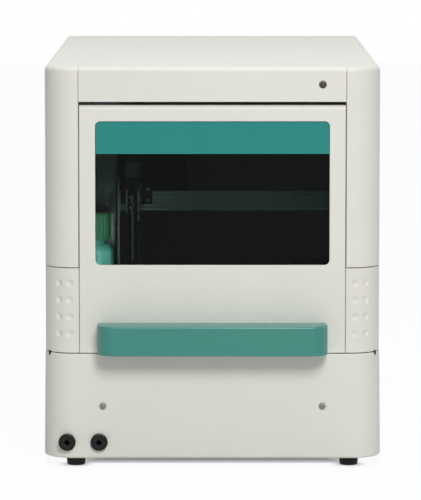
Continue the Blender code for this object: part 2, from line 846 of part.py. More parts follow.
def columns():
    """Front corners beside the door, each with the lug that holds a hinge pin."""
    for name, side in sides():
        outline = sided(corner_wall(COLUMN_EDGE, FRONT_WALL, RETURN_END), side)
        column = plan_piece(
            name + "_column", [outline], COLUMN_BOTTOM, CASE_HEIGHT, "case_grey"
        )
        round_edges(column, TOP_EDGE_RADIUS, 4, on_outer_top)
        inner = side * COLUMN_EDGE
        outer = side * (COLUMN_EDGE + HINGE_LUG_THICKNESS)
        lug = block(
            "hinge_lug_" + name,
            (min(inner, outer), FRONT + FRONT_WALL / 2, HINGE_Z - HINGE_LUG_HALF),
            (max(inner, outer), HINGE_Y + HINGE_LUG_HALF, HINGE_Z + HINGE_LUG_HALF),
        )
        hole = cylinder(
            "pin_hole_" + name,
            (inner - side * HINGE_PIN_LENGTH, HINGE_Y, HINGE_Z),
            HINGE_PIN_RADIUS + CLEARANCE,
            side * (HINGE_PIN_LENGTH + HINGE_LUG_THICKNESS - HINGE_LUG_WEB),
            "x",
            sides=16,
        )
        cut(join(column, lug), hole)


def header_panel():
    """Bar above the door, with the hole of the status light."""
    half = COLUMN_EDGE - CLEARANCE
    radius = TOP_EDGE_RADIUS
    top = CASE_HEIGHT
    outline = [
        *arc((FRONT + radius, top - radius), radius, 180, 90, 4),
        (FRONT + FRONT_WALL, top),
        (FRONT + FRONT_WALL, HEADER_BOTTOM),
        (FRONT, HEADER_BOTTOM),
    ]
    header = side_piece("header_panel", [outline], -half, half, "case_grey")
    hole = cylinder(
        "light_hole",
        (LIGHT_X, FRONT - OVERRUN, CASE_HEIGHT - LIGHT_DROP),
        LIGHT_RADIUS + CLEARANCE,
        FRONT_WALL + OVERRUN + OVERRUN,
        "y",
    )
    return cut(header, hole)


def status_light():
    profile = [
        (0, LIGHT_CROWN),
        (LIGHT_RADIUS - LIGHT_RIM, LIGHT_CROWN),
        (LIGHT_RADIUS, 0),
        (LIGHT_RADIUS, -LIGHT_LENGTH),
        (0, -LIGHT_LENGTH),
    ]
    place_at = (LIGHT_X, FRONT, CASE_HEIGHT - LIGHT_DROP)
    return turned("status_light", profile, place_at, "-y", "light_grey_lens", 20)


def bumper_place(side):
    """Centre of a door bumper, in the middle of the lower panel's curved wall."""
    radius = CORNER_RADIUS - LOWER_WALL / 2
    angle = math.radians(BUMPER_ANGLE)
    across = HALF - CORNER_RADIUS + radius * math.cos(angle)
    along = FRONT + CORNER_RADIUS - radius * math.sin(angle)
    return side * across, along


def lower_panel():
    """Skirt under the door, wider at its foot, with screw, nozzle and bumper seats."""
    right = corner_wall(0, LOWER_WALL, RETURN_END)[1:-1]
    turn_back = len(right) // 2
    outer = right[:turn_back]
    inner = right[turn_back:]
    outline = mirrored(outer) + outer + inner + mirrored(inner)
    panel = plan_piece("lower_panel", [outline], BASE, LOWER_TOP, "case_grey")
    for corner in panel.data.vertices:
        grown = LOWER_PROUD if corner.co.z > 0 else LOWER_FLARE
        corner.co.x *= (HALF + grown) / HALF
    middle = (BASE + LOWER_TOP) / 2
    for edge, steps, is_top in ((LOWER_EDGE, 2, True), (LOWER_FOOT_EDGE, 3, False)):
        round_edges(
            panel,
            edge,
            steps,
            lambda start, end, is_top=is_top: near(start.z, end.z)
            and (start.z > middle) == is_top
            and (on_flared_plan(start) and on_flared_plan(end)),
        )
    for name, side in sides():
        recess = cylinder(
            "screw_recess_" + name,
            (side * SCREW_FROM_CENTRE, FRONT - OVERRUN, SCREW_HEIGHT),
            SCREW_RECESS_RADIUS,
            OVERRUN + SCREW_SINK + SCREW_HEAD_DEPTH,
            "y",
            sides=20,
        )
        hole = cylinder(
            "screw_hole_" + name,
            (side * SCREW_FROM_CENTRE, FRONT, SCREW_HEIGHT),
            SCREW_SHANK_RADIUS + CLEARANCE,
            LOWER_WALL + OVERRUN,
            "y",
            sides=12,
        )
        across, along = bumper_place(side)
        seat = cylinder(
            "bumper_seat_" + name,
            (across, along, LOWER_TOP - BUMPER_SEAT - CLEARANCE),
            BUMPER_RADIUS + CLEARANCE,
            BUMPER_HEIGHT + OVERRUN,
            "z",
            sides=16,
        )
        cut(panel, recess, hole, seat)
    for name, across in nozzles():
        hole = cylinder(
            "nozzle_hole_" + name,
            (across, FRONT - OVERRUN, NOZZLE_HEIGHT),
            NOZZLE_TAIL_RADIUS + CLEARANCE,
            OVERRUN + LOWER_WALL + OVERRUN,
            "y",
            sides=20,
        )
        cut(panel, hole)
    return panel


def on_flared_plan(point):
    grown = LOWER_PROUD if point.z > (BASE + LOWER_TOP) / 2 else LOWER_FLARE
    return on_outer_plan(Vector((point.x * HALF / (HALF + grown), point.y, point.z)))


def nozzles():
    return (("left", NOZZLE_OUTER_INSET - HALF), ("right", NOZZLE_INNER_INSET - HALF))


def panel_screws():
    for name, side in sides():
        head = SCREW_HEAD_DEPTH - CLEARANCE
        profile = [
            (0, -SCREW_SINK),
            (SCREW_HEAD_RADIUS, -SCREW_SINK),
            (SCREW_HEAD_RADIUS, -SCREW_SINK - head),
            (SCREW_SHANK_RADIUS, -SCREW_SINK - head),
            (SCREW_SHANK_RADIUS, -SCREW_LENGTH),
            (0, -SCREW_LENGTH),
        ]
        place_at = (side * SCREW_FROM_CENTRE, FRONT, SCREW_HEIGHT)
        screw = turned("panel_screw_" + name, profile, place_at, "-y", "bright_steel", 12)
        slot = block(
            "screw_slot_" + name,
            (
                place_at[0] - SCREW_HEAD_RADIUS - OVERRUN,
                FRONT + SCREW_SINK - OVERRUN,
                SCREW_HEIGHT - SCREW_SLOT / 2,
            ),
            (
                place_at[0] + SCREW_HEAD_RADIUS + OVERRUN,
                FRONT + SCREW_SINK + SCREW_SLOT,
                SCREW_HEIGHT + SCREW_SLOT / 2,
            ),
        )
        cut(screw, slot)


def drain_nozzles():
    """Black ports with a raised inner lip, a bore, and a tail inside the panel."""
    for name, across in nozzles():
        edge = NOZZLE_RADIUS - NOZZLE_LIP_RADIUS
        profile = [
            (NOZZLE_BORE, NOZZLE_LIP_REACH),
            (NOZZLE_LIP_RADIUS, NOZZLE_LIP_REACH),
            (NOZZLE_LIP_RADIUS, NOZZLE_REACH),
            (NOZZLE_RADIUS - edge / 4, NOZZLE_REACH),
            (NOZZLE_RADIUS, NOZZLE_REACH - edge / 4),
            (NOZZLE_RADIUS, CLEARANCE),
            (NOZZLE_TAIL_RADIUS, CLEARANCE),
            (NOZZLE_TAIL_RADIUS, -NOZZLE_TAIL),
            (NOZZLE_BORE, -NOZZLE_TAIL),
            (NOZZLE_BORE, NOZZLE_LIP_REACH),
        ]
        place_at = (across, FRONT, NOZZLE_HEIGHT)
        turned("drain_nozzle_" + name, profile, place_at, "-y", "nozzle_black", 20)


def door_bumpers():
    for name, side in sides():
        across, along = bumper_place(side)
        start = (across, along, LOWER_TOP - BUMPER_SEAT)
        cylinder(
            "door_bumper_" + name,
            start,
            BUMPER_RADIUS,
            BUMPER_HEIGHT,
            "z",
            "rubber_black",
            sides=16,
        )


def rear_panel():
    """Rear sheet with the fan's slots and the connectors' openings."""
    half = HALF - COVER_WALL - CLEARANCE
    top = CASE_HEIGHT - COVER_WALL - CLEARANCE
    corner = TOP_EDGE_RADIUS - COVER_WALL
    bottom = PAN_TOP - PAN_WALL
    outline = [
        (half, bottom),
        *arc((half - corner, top - corner), corner, 0, 90, 2),
        *arc((corner - half, top - corner), corner, 90, 180, 2),
        (-half, bottom),
    ]
    panel = front_piece("rear_panel", [outline], REAR_INNER, REAR_FACE, "case_grey")
    near_side = REAR_INNER - OVERRUN
    far_side = REAR_FACE + OVERRUN
    slots = int(FAN_BORE / GRILLE_PITCH)
    for row in range(-slots, slots + 1):
        up = row * GRILLE_PITCH
        reach = math.sqrt(FAN_BORE**2 - up**2) - GRILLE_SLOT
        slot = block(
            f"fan_slot_{row + slots}",
            (-FAN_FROM_CENTRE - reach, near_side, FAN_HEIGHT + up - GRILLE_SLOT / 2),
            (-FAN_FROM_CENTRE + reach, far_side, FAN_HEIGHT + up + GRILLE_SLOT / 2),
        )
        cut(panel, slot)
    inlet = block(
        "inlet_opening",
        (
            INLET_CENTRE_X - INLET_WIDTH / 2 - CLEARANCE,
            near_side,
            INLET_CENTRE_Z - INLET_HEIGHT / 2 - CLEARANCE,
        ),
        (
            INLET_CENTRE_X + INLET_WIDTH / 2 + CLEARANCE,
            far_side,
            INLET_CENTRE_Z + INLET_HEIGHT / 2 + CLEARANCE,
        ),
    )
    network = block(
        "network_opening",
        (
            NETWORK_CENTRE_X - NETWORK_WIDTH / 2 - CLEARANCE,
            near_side,
            NETWORK_CENTRE_Z - NETWORK_HEIGHT / 2 - CLEARANCE,
        ),
        (
            NETWORK_CENTRE_X + NETWORK_WIDTH / 2 + CLEARANCE,
            far_side,
            NETWORK_CENTRE_Z + NETWORK_HEIGHT / 2 + CLEARANCE,
        ),
    )
    return cut(panel, inlet, network)


def door_panel():
    """Door front with side flanges, hinge bosses and the window's rebated opening."""
    outline = [
        (-DOOR_HALF, DOOR_BOTTOM),
        (DOOR_HALF, DOOR_BOTTOM),
        (DOOR_HALF, DOOR_TOP),
        (-DOOR_HALF, DOOR_TOP),
    ]
    door = front_piece("door_panel", [outline], FRONT, FRONT + DOOR_WALL, "case_grey")
    round_edges(
        door,
        DOOR_TOP_ROUND,
        4,
        lambda start, end: near(start.z, DOOR_TOP)
        and near(end.z, DOOR_TOP)
        and near(start.y, FRONT)
        and near(end.y, FRONT),
    )
    for name, side in sides():
        outer = side * DOOR_HALF
        inner = side * (DOOR_HALF - DOOR_FLANGE_WALL)
        flange = block(
            "door_flange_" + name,
            (min(outer, inner), FRONT + DOOR_WALL / 2, DOOR_BOTTOM),
            (max(outer, inner), FRONT + DOOR_FLANGE_DEPTH, HINGE_Z),
        )
        boss = cylinder(
            "hinge_boss_" + name,
            (outer, HINGE_Y, HINGE_Z),
            HINGE_BOSS_RADIUS,
            -side * HINGE_BOSS_LENGTH,
            "x",
            sides=20,
        )
        hole = cylinder(
            "boss_hole_" + name,
            (outer + side * OVERRUN, HINGE_Y, HINGE_Z),
            HINGE_PIN_RADIUS + CLEARANCE,
            -side * (HINGE_BOSS_LENGTH - HINGE_LUG_WEB + OVERRUN),
            "x",
            sides=16,
        )
        cut(join(door, flange, boss), hole)
    opening = front_piece(
        "window_opening",
        [
            rounded_rectangle(
                -WINDOW_HALF_WIDTH,
                WINDOW_BOTTOM,
                WINDOW_HALF_WIDTH,
                WINDOW_TOP,
                WINDOW_CORNER,
            )
        ],
        FRONT - OVERRUN,
        FRONT + DOOR_WALL + OVERRUN,
    )
    rebate = front_piece(
        "window_rebate",
        [window_outline(WINDOW_REBATE + CLEARANCE)],
        FRONT + WINDOW_RECESS - CLEARANCE,
        FRONT + DOOR_WALL + OVERRUN,
    )
    return cut(door, opening, rebate)


def window_outline(grown):
    return rounded_rectangle(
        -WINDOW_HALF_WIDTH - grown,
        WINDOW_BOTTOM - grown,
        WINDOW_HALF_WIDTH + grown,
        WINDOW_TOP + grown,
        WINDOW_CORNER,
    )


def door_window():
    pane = FRONT + WINDOW_RECESS
    return front_piece(
        "door_window",
        [window_outline(WINDOW_REBATE)],
        pane,
        pane + WINDOW_THICKNESS,
        "window_glass",
    )


def window_band():
    """Coloured strip along the top of the window, in front of the pane."""
    back = FRONT + WINDOW_RECESS - CLEARANCE
    half = WINDOW_HALF_WIDTH - CLEARANCE
    top = WINDOW_TOP - CLEARANCE
    bottom = WINDOW_TOP - BAND_HEIGHT
    corner = WINDOW_CORNER - CLEARANCE
    outline = [
        *arc((half - corner, top - corner), corner, 0, 90, 4),
        *arc((corner - half, top - corner), corner, 90, 180, 4),
        (-half, bottom),
        (half, bottom),
    ]
    return front_piece("window_band", [outline], back - BAND_THICKNESS, back, "trim_teal")


def handle_plan(reach, half, corner):
    """Plan of the handle's bar, with round ends that run back to the door."""
    face = FRONT - reach
    back = FRONT - CLEARANCE
    return [
        *arc((corner - half, face + corner), corner, 180, 270),
        *arc((half - corner, face + corner), corner, 270, 360),
        (half, back),
        (-half, back),
    ]


def door_handle():
    """Bar handle: a hood with a top, a front and round ends, open below for the fingers."""
    low = DOOR_BOTTOM + HANDLE_LIFT
    high = low + HANDLE_HEIGHT
    handle = plan_piece(
        "door_handle",
        [handle_plan(HANDLE_REACH, HANDLE_HALF_WIDTH, HANDLE_CORNER)],
        low,
        high,
        "trim_teal",
    )
    round_edges(
        handle,
        HANDLE_EDGE,
        2,
        lambda start, end: near(start.z, end.z)
        and min(FRONT - start.y, FRONT - end.y) > CLEARANCE + CLEARANCE,
    )
    pocket = handle_plan(
        HANDLE_REACH - HANDLE_WALL,
        HANDLE_HALF_WIDTH - HANDLE_WALL,
        HANDLE_CORNER - HANDLE_WALL,
    )
    pocket[-2] = (pocket[-2][0], FRONT - HANDLE_WALL)
    pocket[-1] = (pocket[-1][0], FRONT - HANDLE_WALL)
    hollow = plan_piece("handle_hollow", [pocket], low - OVERRUN, high - HANDLE_WALL)
    return cut(handle, hollow)


def dimple_places():
    """Distances in from the case's side and heights of the grip dimples."""
    for row in range(DIMPLE_ROWS):
        up = GRIP_TOP - DIMPLE_TOP_DROP - row * DIMPLE_PITCH
        yield DIMPLE_INNER_INSET, up
        yield DIMPLE_OUTER_INSET, up


def front_depth(across):
    """How far the outer wall lies behind the front plane at this distance from the middle."""
    past = across - (HALF - CORNER_RADIUS)
    if past <= 0:
        return 0.0
    return CORNER_RADIUS - math.sqrt(CORNER_RADIUS**2 - past**2)


def door_grips():
    """Corner mouldings at the door's foot, with rows of finger dimples."""
    for name, side in sides():
        inner = DOOR_HALF + CLEARANCE
        outline = sided(corner_wall(inner, DOOR_WALL, RETURN_END), side)
        grip = plan_piece("door_grip_" + name, [outline], DOOR_BOTTOM, GRIP_TOP, "case_grey")
        flange = block(
            "grip_flange_" + name,
            (
                min(side * inner, side * (inner + DOOR_FLANGE_WALL)),
                FRONT + DOOR_WALL / 2,
                DOOR_BOTTOM,
            ),
            (
                max(side * inner, side * (inner + DOOR_FLANGE_WALL)),
                FRONT + DOOR_FLANGE_DEPTH,
                GRIP_TOP,
            ),
        )
        join(grip, flange)
        for number, (inset, up) in enumerate(dimple_places()):
            across = HALF - inset
            depth = front_depth(across)
            build = bmesh.new()
            bmesh.ops.create_uvsphere(
                build, u_segments=12, v_segments=6, radius=DIMPLE_RADIUS
            )
            ball = from_bmesh(
                f"dimple_{name}_{number}",
                build,
                None,
                (side * across, FRONT + depth - DIMPLE_RADIUS + DIMPLE_SINK, up),
            )
            cut(grip, ball)
        across, along = bumper_place(side)
        notch = cylinder(
            "bumper_notch_" + name,
            (across, along, DOOR_BOTTOM - OVERRUN),
            BUMPER_RADIUS + RUNNING_GAP,
            OVERRUN + BUMPER_HEIGHT - BUMPER_SEAT,
            "z",
            sides=16,
        )
        cut(grip, notch)


def hinge_pins():
    for name, side in sides():
        middle = side * (COLUMN_EDGE - RUNNING_GAP / 2)
        start = (middle - side * HINGE_PIN_LENGTH / 2, HINGE_Y, HINGE_Z)
        cylinder(
            "hinge_pin_" + name,
            start,
            HINGE_PIN_RADIUS,
            side * HINGE_PIN_LENGTH,
            "x",
            "bright_steel",
            sides=16,
        )


def side_plates():
    """Upright sheets that carry the chamber and the needle drive's rail."""
    for name, left in (("left", LEFT_PLATE), ("right", RIGHT_PLATE)):
        plate = block(
            "side_plate_" + name,
            (left, FRONT + PLATE_FRONT, PAN_TOP + CLEARANCE),
            (left + PLATE_WALL, FRONT + PLATE_FRONT + PLATE_LENGTH, PLATE_TOP),
            "zinc_sheet",
        )
        if name == "right":
            shaft = cylinder(
                "shaft_hole",
                (left - OVERRUN, RAIL_FRONT + RAIL_DEPTH / 2, MOTOR_Z),
                MOTOR_SHAFT_RADIUS + CLEARANCE,
                PLATE_WALL + OVERRUN + OVERRUN,
                "x",
                sides=16,
            )
            cut(plate, shaft)


def sample_chamber():
    """Cooled tub, open above, with a low front and two runners for the tray."""
    bottom = CHAMBER_FLOOR - CHAMBER_BASE
    top = CHAMBER_FLOOR + CHAMBER_SIDE_HEIGHT
    front = FRONT + CHAMBER_FRONT
    rear = CHAMBER_REAR
    tub = block(
        "sample_chamber",
        (CHAMBER_LEFT, front, bottom),
        (CHAMBER_RIGHT, rear, top),
        "chamber_white",
    )
    hollow = block(
        "chamber_hollow",
        (CHAMBER_LEFT + CHAMBER_WALL, front + CHAMBER_WALL, CHAMBER_FLOOR),
        (CHAMBER_RIGHT - CHAMBER_WALL, rear - CHAMBER_WALL, top + OVERRUN),
        edge=CHAMBER_CORNER,
        steps=2,
    )
    mouth = block(
        "chamber_mouth",
        (
            CHAMBER_LEFT + CHAMBER_WALL,
            front - OVERRUN,
            CHAMBER_FLOOR + CHAMBER_LIP_HEIGHT,
        ),
        (CHAMBER_RIGHT - CHAMBER_WALL, front + CHAMBER_WALL + OVERRUN, top + OVERRUN),
    )
    cut(tub, hollow, mouth)
    for name, left in runners():
        runner = block(
            "runner_" + name,
            (left, front + CHAMBER_WALL / 2, CHAMBER_FLOOR - CHAMBER_BASE / 2),
            (left + RUNNER_WIDTH, rear - CHAMBER_WALL / 2, RUNNER_TOP),
        )
        join(tub, runner)
    return tub


def runners():
    """Left edges of the two runners on the chamber's floor."""
    return (
        ("left", CHAMBER_LEFT + CHAMBER_WALL + RUNNER_INSET),
        ("right", CHAMBER_RIGHT - CHAMBER_WALL - RUNNER_INSET - RUNNER_WIDTH),
    )


def tray_carrier():
    """Plate that carries both racks and clasps the runners."""
    left = CHAMBER_LEFT + CHAMBER_WALL + RACK_SIDE_GAP
    right = CHAMBER_RIGHT - CHAMBER_WALL - RACK_SIDE_GAP
    bottom = RUNNER_TOP + CLEARANCE
    rear = RACK_FRONT + RACK_LENGTH
    tray = block(
        "tray_carrier",
        (left, TRAY_FRONT, bottom),
        (right, rear, bottom + TRAY_THICKNESS),
        "zinc_sheet",
    )
    lip = block(
        "tray_lip",
        (left, TRAY_FRONT, bottom),
        (right, TRAY_FRONT + TRAY_GUIDE_WALL, bottom + TRAY_THICKNESS + TRAY_LIP_HEIGHT),
    )
    join(tray, lip)
    for name, at in runners():
        for side, edge in (
            ("left", at - CLEARANCE - TRAY_GUIDE_WALL),
            ("right", at + RUNNER_WIDTH + CLEARANCE),
        ):
            guide = block(
                f"tray_guide_{name}_{side}",
                (edge, TRAY_FRONT + TRAY_GAP, bottom - TRAY_GUIDE_DEPTH),
                (edge + TRAY_GUIDE_WALL, rear - TRAY_GAP, bottom + TRAY_THICKNESS / 2),
            )
            join(tray, guide)
    return tray


def vial_profile():
    """Half section of a capped vial, from its top down to where the rack hides it."""
    shoulder = VIAL_HEIGHT - VIAL_CAP_HEIGHT - VIAL_NECK_HEIGHT
    return [
        (0, VIAL_HEIGHT),
        (VIAL_CAP_RADIUS, VIAL_HEIGHT),
        (VIAL_CAP_RADIUS, VIAL_HEIGHT - VIAL_CAP_HEIGHT),
        (VIAL_NECK_RADIUS, VIAL_HEIGHT - VIAL_CAP_HEIGHT),
        (VIAL_RADIUS, shoulder),
        (VIAL_RADIUS, RACK_HEIGHT - VIAL_BASE),
        (0, RACK_HEIGHT - VIAL_BASE),
    ]


def rack_columns(left):
    return [left + VIAL_PITCH * (column + 1 / 2) for column in range(VIAL_COLUMNS)]


def rack_rows():
    first = RACK_FRONT + RACK_LENGTH / 2 - VIAL_ROW_PITCH * (VIAL_ROWS - 1) / 2
    return [first + VIAL_ROW_PITCH * row for row in range(VIAL_ROWS)]


def sample_racks():
    """Two racks of capped vials."""
    starts = (("left", RACK_LEFT), ("right", RACK_LEFT + RACK_WIDTH + RACK_GAP))
    for name, left in starts:
        rack = block(
            "sample_rack_" + name,
            (left, RACK_FRONT, RACK_BASE),
            (left + RACK_WIDTH, RACK_FRONT + RACK_LENGTH, RACK_BASE + RACK_HEIGHT),
            "rack_blue_grey",
            RACK_EDGE,
        )
        for column, across in enumerate(rack_columns(left)):
            for row, along in enumerate(rack_rows()):
                number = f"{name}_{column}_{row}"
                place_at = (across, along, RACK_BASE)
                vial = turned("vial_" + number, vial_profile(), place_at, "z", sides=10)
                bore = cylinder(
                    "vial_bore_" + number,
                    (across, along, RACK_BASE + VIAL_BASE),
                    VIAL_BORE,
                    VIAL_HEIGHT + OVERRUN,
                    "z",
                    sides=8,
                )
                cut(join(rack, vial), bore)


def x_rail():
    """Beam between the side plates, with the needle carriage's rail along its top front."""
    back = RAIL_FRONT + RAIL_DEPTH
    outline = [
        (RAIL_FRONT, RAIL_Z),
        (RAIL_FRONT, RAIL_Z + RAIL_HEIGHT),
        (back, RAIL_Z + RAIL_HEIGHT),
        (back, RAIL_Z - RAIL_SKIRT),
        (RAIL_FRONT + RAIL_STEP, RAIL_Z - RAIL_SKIRT),
        (RAIL_FRONT + RAIL_STEP, RAIL_Z),
    ]
    left = LEFT_PLATE + PLATE_WALL + CLEARANCE
    return side_piece("x_rail", [outline], left, RIGHT_PLATE - CLEARANCE, "aluminium")


def x_motor():
    """Motor on the far side of the right plate, with its shaft through the plate."""
    middle = (RAIL_FRONT + RAIL_DEPTH / 2, MOTOR_Z)
    face = RIGHT_PLATE + PLATE_WALL + CLEARANCE
    half = MOTOR_SIDE / 2
    motor = block(
        "x_motor",
        (face, middle[0] - half, middle[1] - half),
        (face + MOTOR_LENGTH, middle[0] + half, middle[1] + half),
        "motor_black",
        MOTOR_EDGE,
    )
    shaft = cylinder(
        "motor_shaft",
        (RIGHT_PLATE, middle[0], middle[1]),
        MOTOR_SHAFT_RADIUS,
        PLATE_WALL + MOTOR_LENGTH / 2,
        "x",
        sides=12,
    )
    return join(motor, shaft)


def x_carriage():
    """Saddle that wraps the rail, with the upright arm that guides the needle's slider."""
    left = NEEDLE_X - SADDLE_LEFT_OF_NEEDLE
    back = RAIL_FRONT + RAIL_DEPTH
    front = RAIL_FRONT - CLEARANCE - SADDLE_WALL
    low = RAIL_Z - SADDLE_LIP - CLEARANCE
    outline = [
        (front, low),
        (front, SADDLE_TOP),
        (back + CLEARANCE + SADDLE_REAR_WALL, SADDLE_TOP),
        (back + CLEARANCE + SADDLE_REAR_WALL, RAIL_Z + RAIL_HEIGHT / 2),
        (back + CLEARANCE, RAIL_Z + RAIL_HEIGHT / 2),
        (back + CLEARANCE, RAIL_Z + RAIL_HEIGHT + CLEARANCE),
        (RAIL_FRONT - CLEARANCE, RAIL_Z + RAIL_HEIGHT + CLEARANCE),
        (RAIL_FRONT - CLEARANCE, RAIL_Z - CLEARANCE),
        (RAIL_FRONT + RAIL_STEP - CLEARANCE, RAIL_Z - CLEARANCE),
        (RAIL_FRONT + RAIL_STEP - CLEARANCE, low),
    ]
    carriage = side_piece("x_carriage", [outline], left, left + SADDLE_WIDTH, "motor_black")
    arm = block(
        "needle_arm",
        (ARM_X - ARM_WIDTH / 2, ARM_FRONT, VIAL_TOP + ARM_BOTTOM_CLEARANCE),
        (ARM_X + ARM_WIDTH / 2, ARM_FRONT + ARM_DEPTH + OVERRUN, SADDLE_TOP),
    )
    return join(carriage, arm)


def z_motor():
    """Small motor on top of the carriage that drives the needle up and down."""
    half = Z_MOTOR_SIDE / 2
    middle = ARM_FRONT + ARM_DEPTH
    return block(
        "z_motor",
        (ARM_X - half, middle - half, SADDLE_TOP + CLEARANCE),
        (ARM_X + half, middle + half, SADDLE_TOP + CLEARANCE + Z_MOTOR_HEIGHT),
        "motor_black",
        MOTOR_EDGE,
    )


def z_slider():
    """Block that runs on the arm's front, with a cheek on each side of the arm."""
    front = NEEDLE_Y - SLIDER_FRONT_OF_NEEDLE
    left = ARM_X - ARM_WIDTH / 2 - CLEARANCE - SLIDER_CHEEK
    right = NEEDLE_X + SLIDER_RIGHT_OF_NEEDLE
    top = SLIDER_BOTTOM + SLIDER_HEIGHT
    slider = block(
        "z_slider",
        (left, front, SLIDER_BOTTOM),
        (right, SLIDER_BACK, top),
        "aluminium",
        SLIDER_EDGE,
    )
    cheeks = (
        ("left", left, left + SLIDER_CHEEK),
        (
            "right",
            ARM_X + ARM_WIDTH / 2 + CLEARANCE,
            ARM_X + ARM_WIDTH / 2 + CLEARANCE + SLIDER_CHEEK,
        ),
    )
    for name, low, high in cheeks:
        cheek = block(
            "slider_cheek_" + name,
            (low, SLIDER_BACK - SLIDER_CHEEK, SLIDER_BOTTOM + SLIDER_EDGE),
            (high, ARM_FRONT + SLIDER_CHEEK_DEPTH, top - SLIDER_EDGE),
        )
        join(slider, cheek)
    nut = cylinder(
        "needle_nut",
        (NEEDLE_X, NEEDLE_Y, top - NEEDLE_NUT_HEIGHT / 2),
        NEEDLE_NUT_RADIUS,
        NEEDLE_NUT_HEIGHT,
        "z",
        sides=12,
    )
    return join(slider, nut)


def needle():
    profile = [
        (0, SLIDER_BOTTOM - CLEARANCE),
        (NEEDLE_HUB_RADIUS, SLIDER_BOTTOM - CLEARANCE),
        (NEEDLE_HUB_RADIUS, HUB_BOTTOM + NEEDLE_HUB_RADIUS),
        (NEEDLE_RADIUS, HUB_BOTTOM),
        (NEEDLE_RADIUS, NEEDLE_TIP + NEEDLE_POINT),
        (0, NEEDLE_TIP),
    ]
    return turned("needle", profile, (NEEDLE_X, NEEDLE_Y, 0), "z", "bright_steel", 12)


def needle_port_block():
    """Block beside the chamber with the wash well that the needle dips into."""
    left = CHAMBER_RIGHT + CLEARANCE
    right = RIGHT_PLATE - CLEARANCE
    top = CHAMBER_FLOOR + PORT_HEIGHT - PORT_RIM
    port = block(
        "needle_port_block",
        (left, NEEDLE_Y - PORT_LENGTH / 2, CHAMBER_FLOOR),
        (right, NEEDLE_Y + PORT_LENGTH / 2, top),
        "resin_white",
        PORT_RIM,
    )
    well = cylinder(
        "wash_well",
        (PORT_X, NEEDLE_Y, CHAMBER_FLOOR + PORT_BASE),
        PORT_BORE,
        PORT_HEIGHT,
        "z",
        sides=20,
    )
    return cut(port, well)


def fluidics_panel():
    """Upright panel in the left bay with the bottle's shelf, which has a raised front lip."""
    left = -HALF + COVER_WALL + CLEARANCE
    right = LEFT_PLATE - CLEARANCE
    panel = block(
        "fluidics_panel",
        (left, FLUIDICS_BACK, PAN_TOP + CLEARANCE),
        (right, FLUIDICS_BACK + PLATE_WALL, FLUIDICS_TOP),
        "zinc_sheet",
    )
    notch = block(
        "flange_notch",
        (left - OVERRUN, FLUIDICS_BACK - OVERRUN, BASE),
        (left + PAN_WALL + CLEARANCE, FLUIDICS_BACK + PLATE_WALL + OVERRUN, flange_top()),
    )
    shelf = block(
        "bottle_shelf",
        (left + CLEARANCE, FRONT + SHELF_FRONT - SHELF_WALL / 2, SHELF_HEIGHT - SHELF_WALL),
        (right - CLEARANCE, FLUIDICS_BACK + PLATE_WALL / 2, SHELF_HEIGHT),
    )
    lip = block(
        "shelf_lip",
        (left, FRONT + SHELF_FRONT - SHELF_WALL, SHELF_HEIGHT - SHELF_WALL - CLEARANCE),
        (right, FRONT + SHELF_FRONT, SHELF_HEIGHT + SHELF_LIP),
    )
    return cut(join(panel, shelf, lip), notch)


def flange_top():
    return BASE + PAN_FLANGE + RUNNING_GAP


def wash_bottle():
    """Round bottle with a shoulder, a neck and an open mouth."""
    wall = BOTTLE_WALL
    mouth = BOTTLE_MOUTH
    neck_foot = BOTTLE_SHOULDER + BOTTLE_EDGE
    inner = BOTTLE_RADIUS - wall
    profile = [
        (0, wall),
        (inner, wall),
        (inner, BOTTLE_SHOULDER - inner + mouth - wall),
        (mouth, BOTTLE_SHOULDER - wall),
        (mouth, BOTTLE_HEIGHT),
        (BOTTLE_NECK_RADIUS, BOTTLE_HEIGHT),
        (BOTTLE_NECK_RADIUS, neck_foot),
        *arc(
            (BOTTLE_NECK_RADIUS, BOTTLE_SHOULDER - BOTTLE_RADIUS + BOTTLE_NECK_RADIUS),
            BOTTLE_RADIUS - BOTTLE_NECK_RADIUS,
            90,
            0,
            4,
        ),
        (BOTTLE_RADIUS, BOTTLE_EDGE),
        (BOTTLE_RADIUS - BOTTLE_EDGE, 0),
        (0, 0),
    ]
    start = (BOTTLE_X, BOTTLE_Y, BOTTLE_Z)
    return turned("wash_bottle", profile, start, "z", "bottle_teal", 24)


def bottle_cap():
    """Screw cap over the bottle's neck, with a hole for the tube."""
    inner = BOTTLE_NECK_RADIUS + CLEARANCE
    foot = BOTTLE_SHOULDER + BOTTLE_EDGE + CLEARANCE
    top = CAP_TOP - BOTTLE_Z
    underside = BOTTLE_HEIGHT + CLEARANCE
    profile = [
        (0, top),
        (CAP_RADIUS - CAP_EDGE, top),
        (CAP_RADIUS, top - CAP_EDGE),
        (CAP_RADIUS, foot),
        (inner, foot),
        (inner, underside),
        (0, underside),
    ]
    start = (BOTTLE_X, BOTTLE_Y, BOTTLE_Z)
    cap = turned("bottle_cap", profile, start, "z", "cap_green", 24)
    hole = cylinder(
        "cap_hole",
        (BOTTLE_X + TUBE_OFF_CENTRE, BOTTLE_Y, BOTTLE_Z + BOTTLE_HEIGHT - OVERRUN),
        TUBE_RADIUS + CLEARANCE,
        CAP_HEIGHT + OVERRUN,
        "z",
        sides=12,
    )
    return cut(cap, hole)


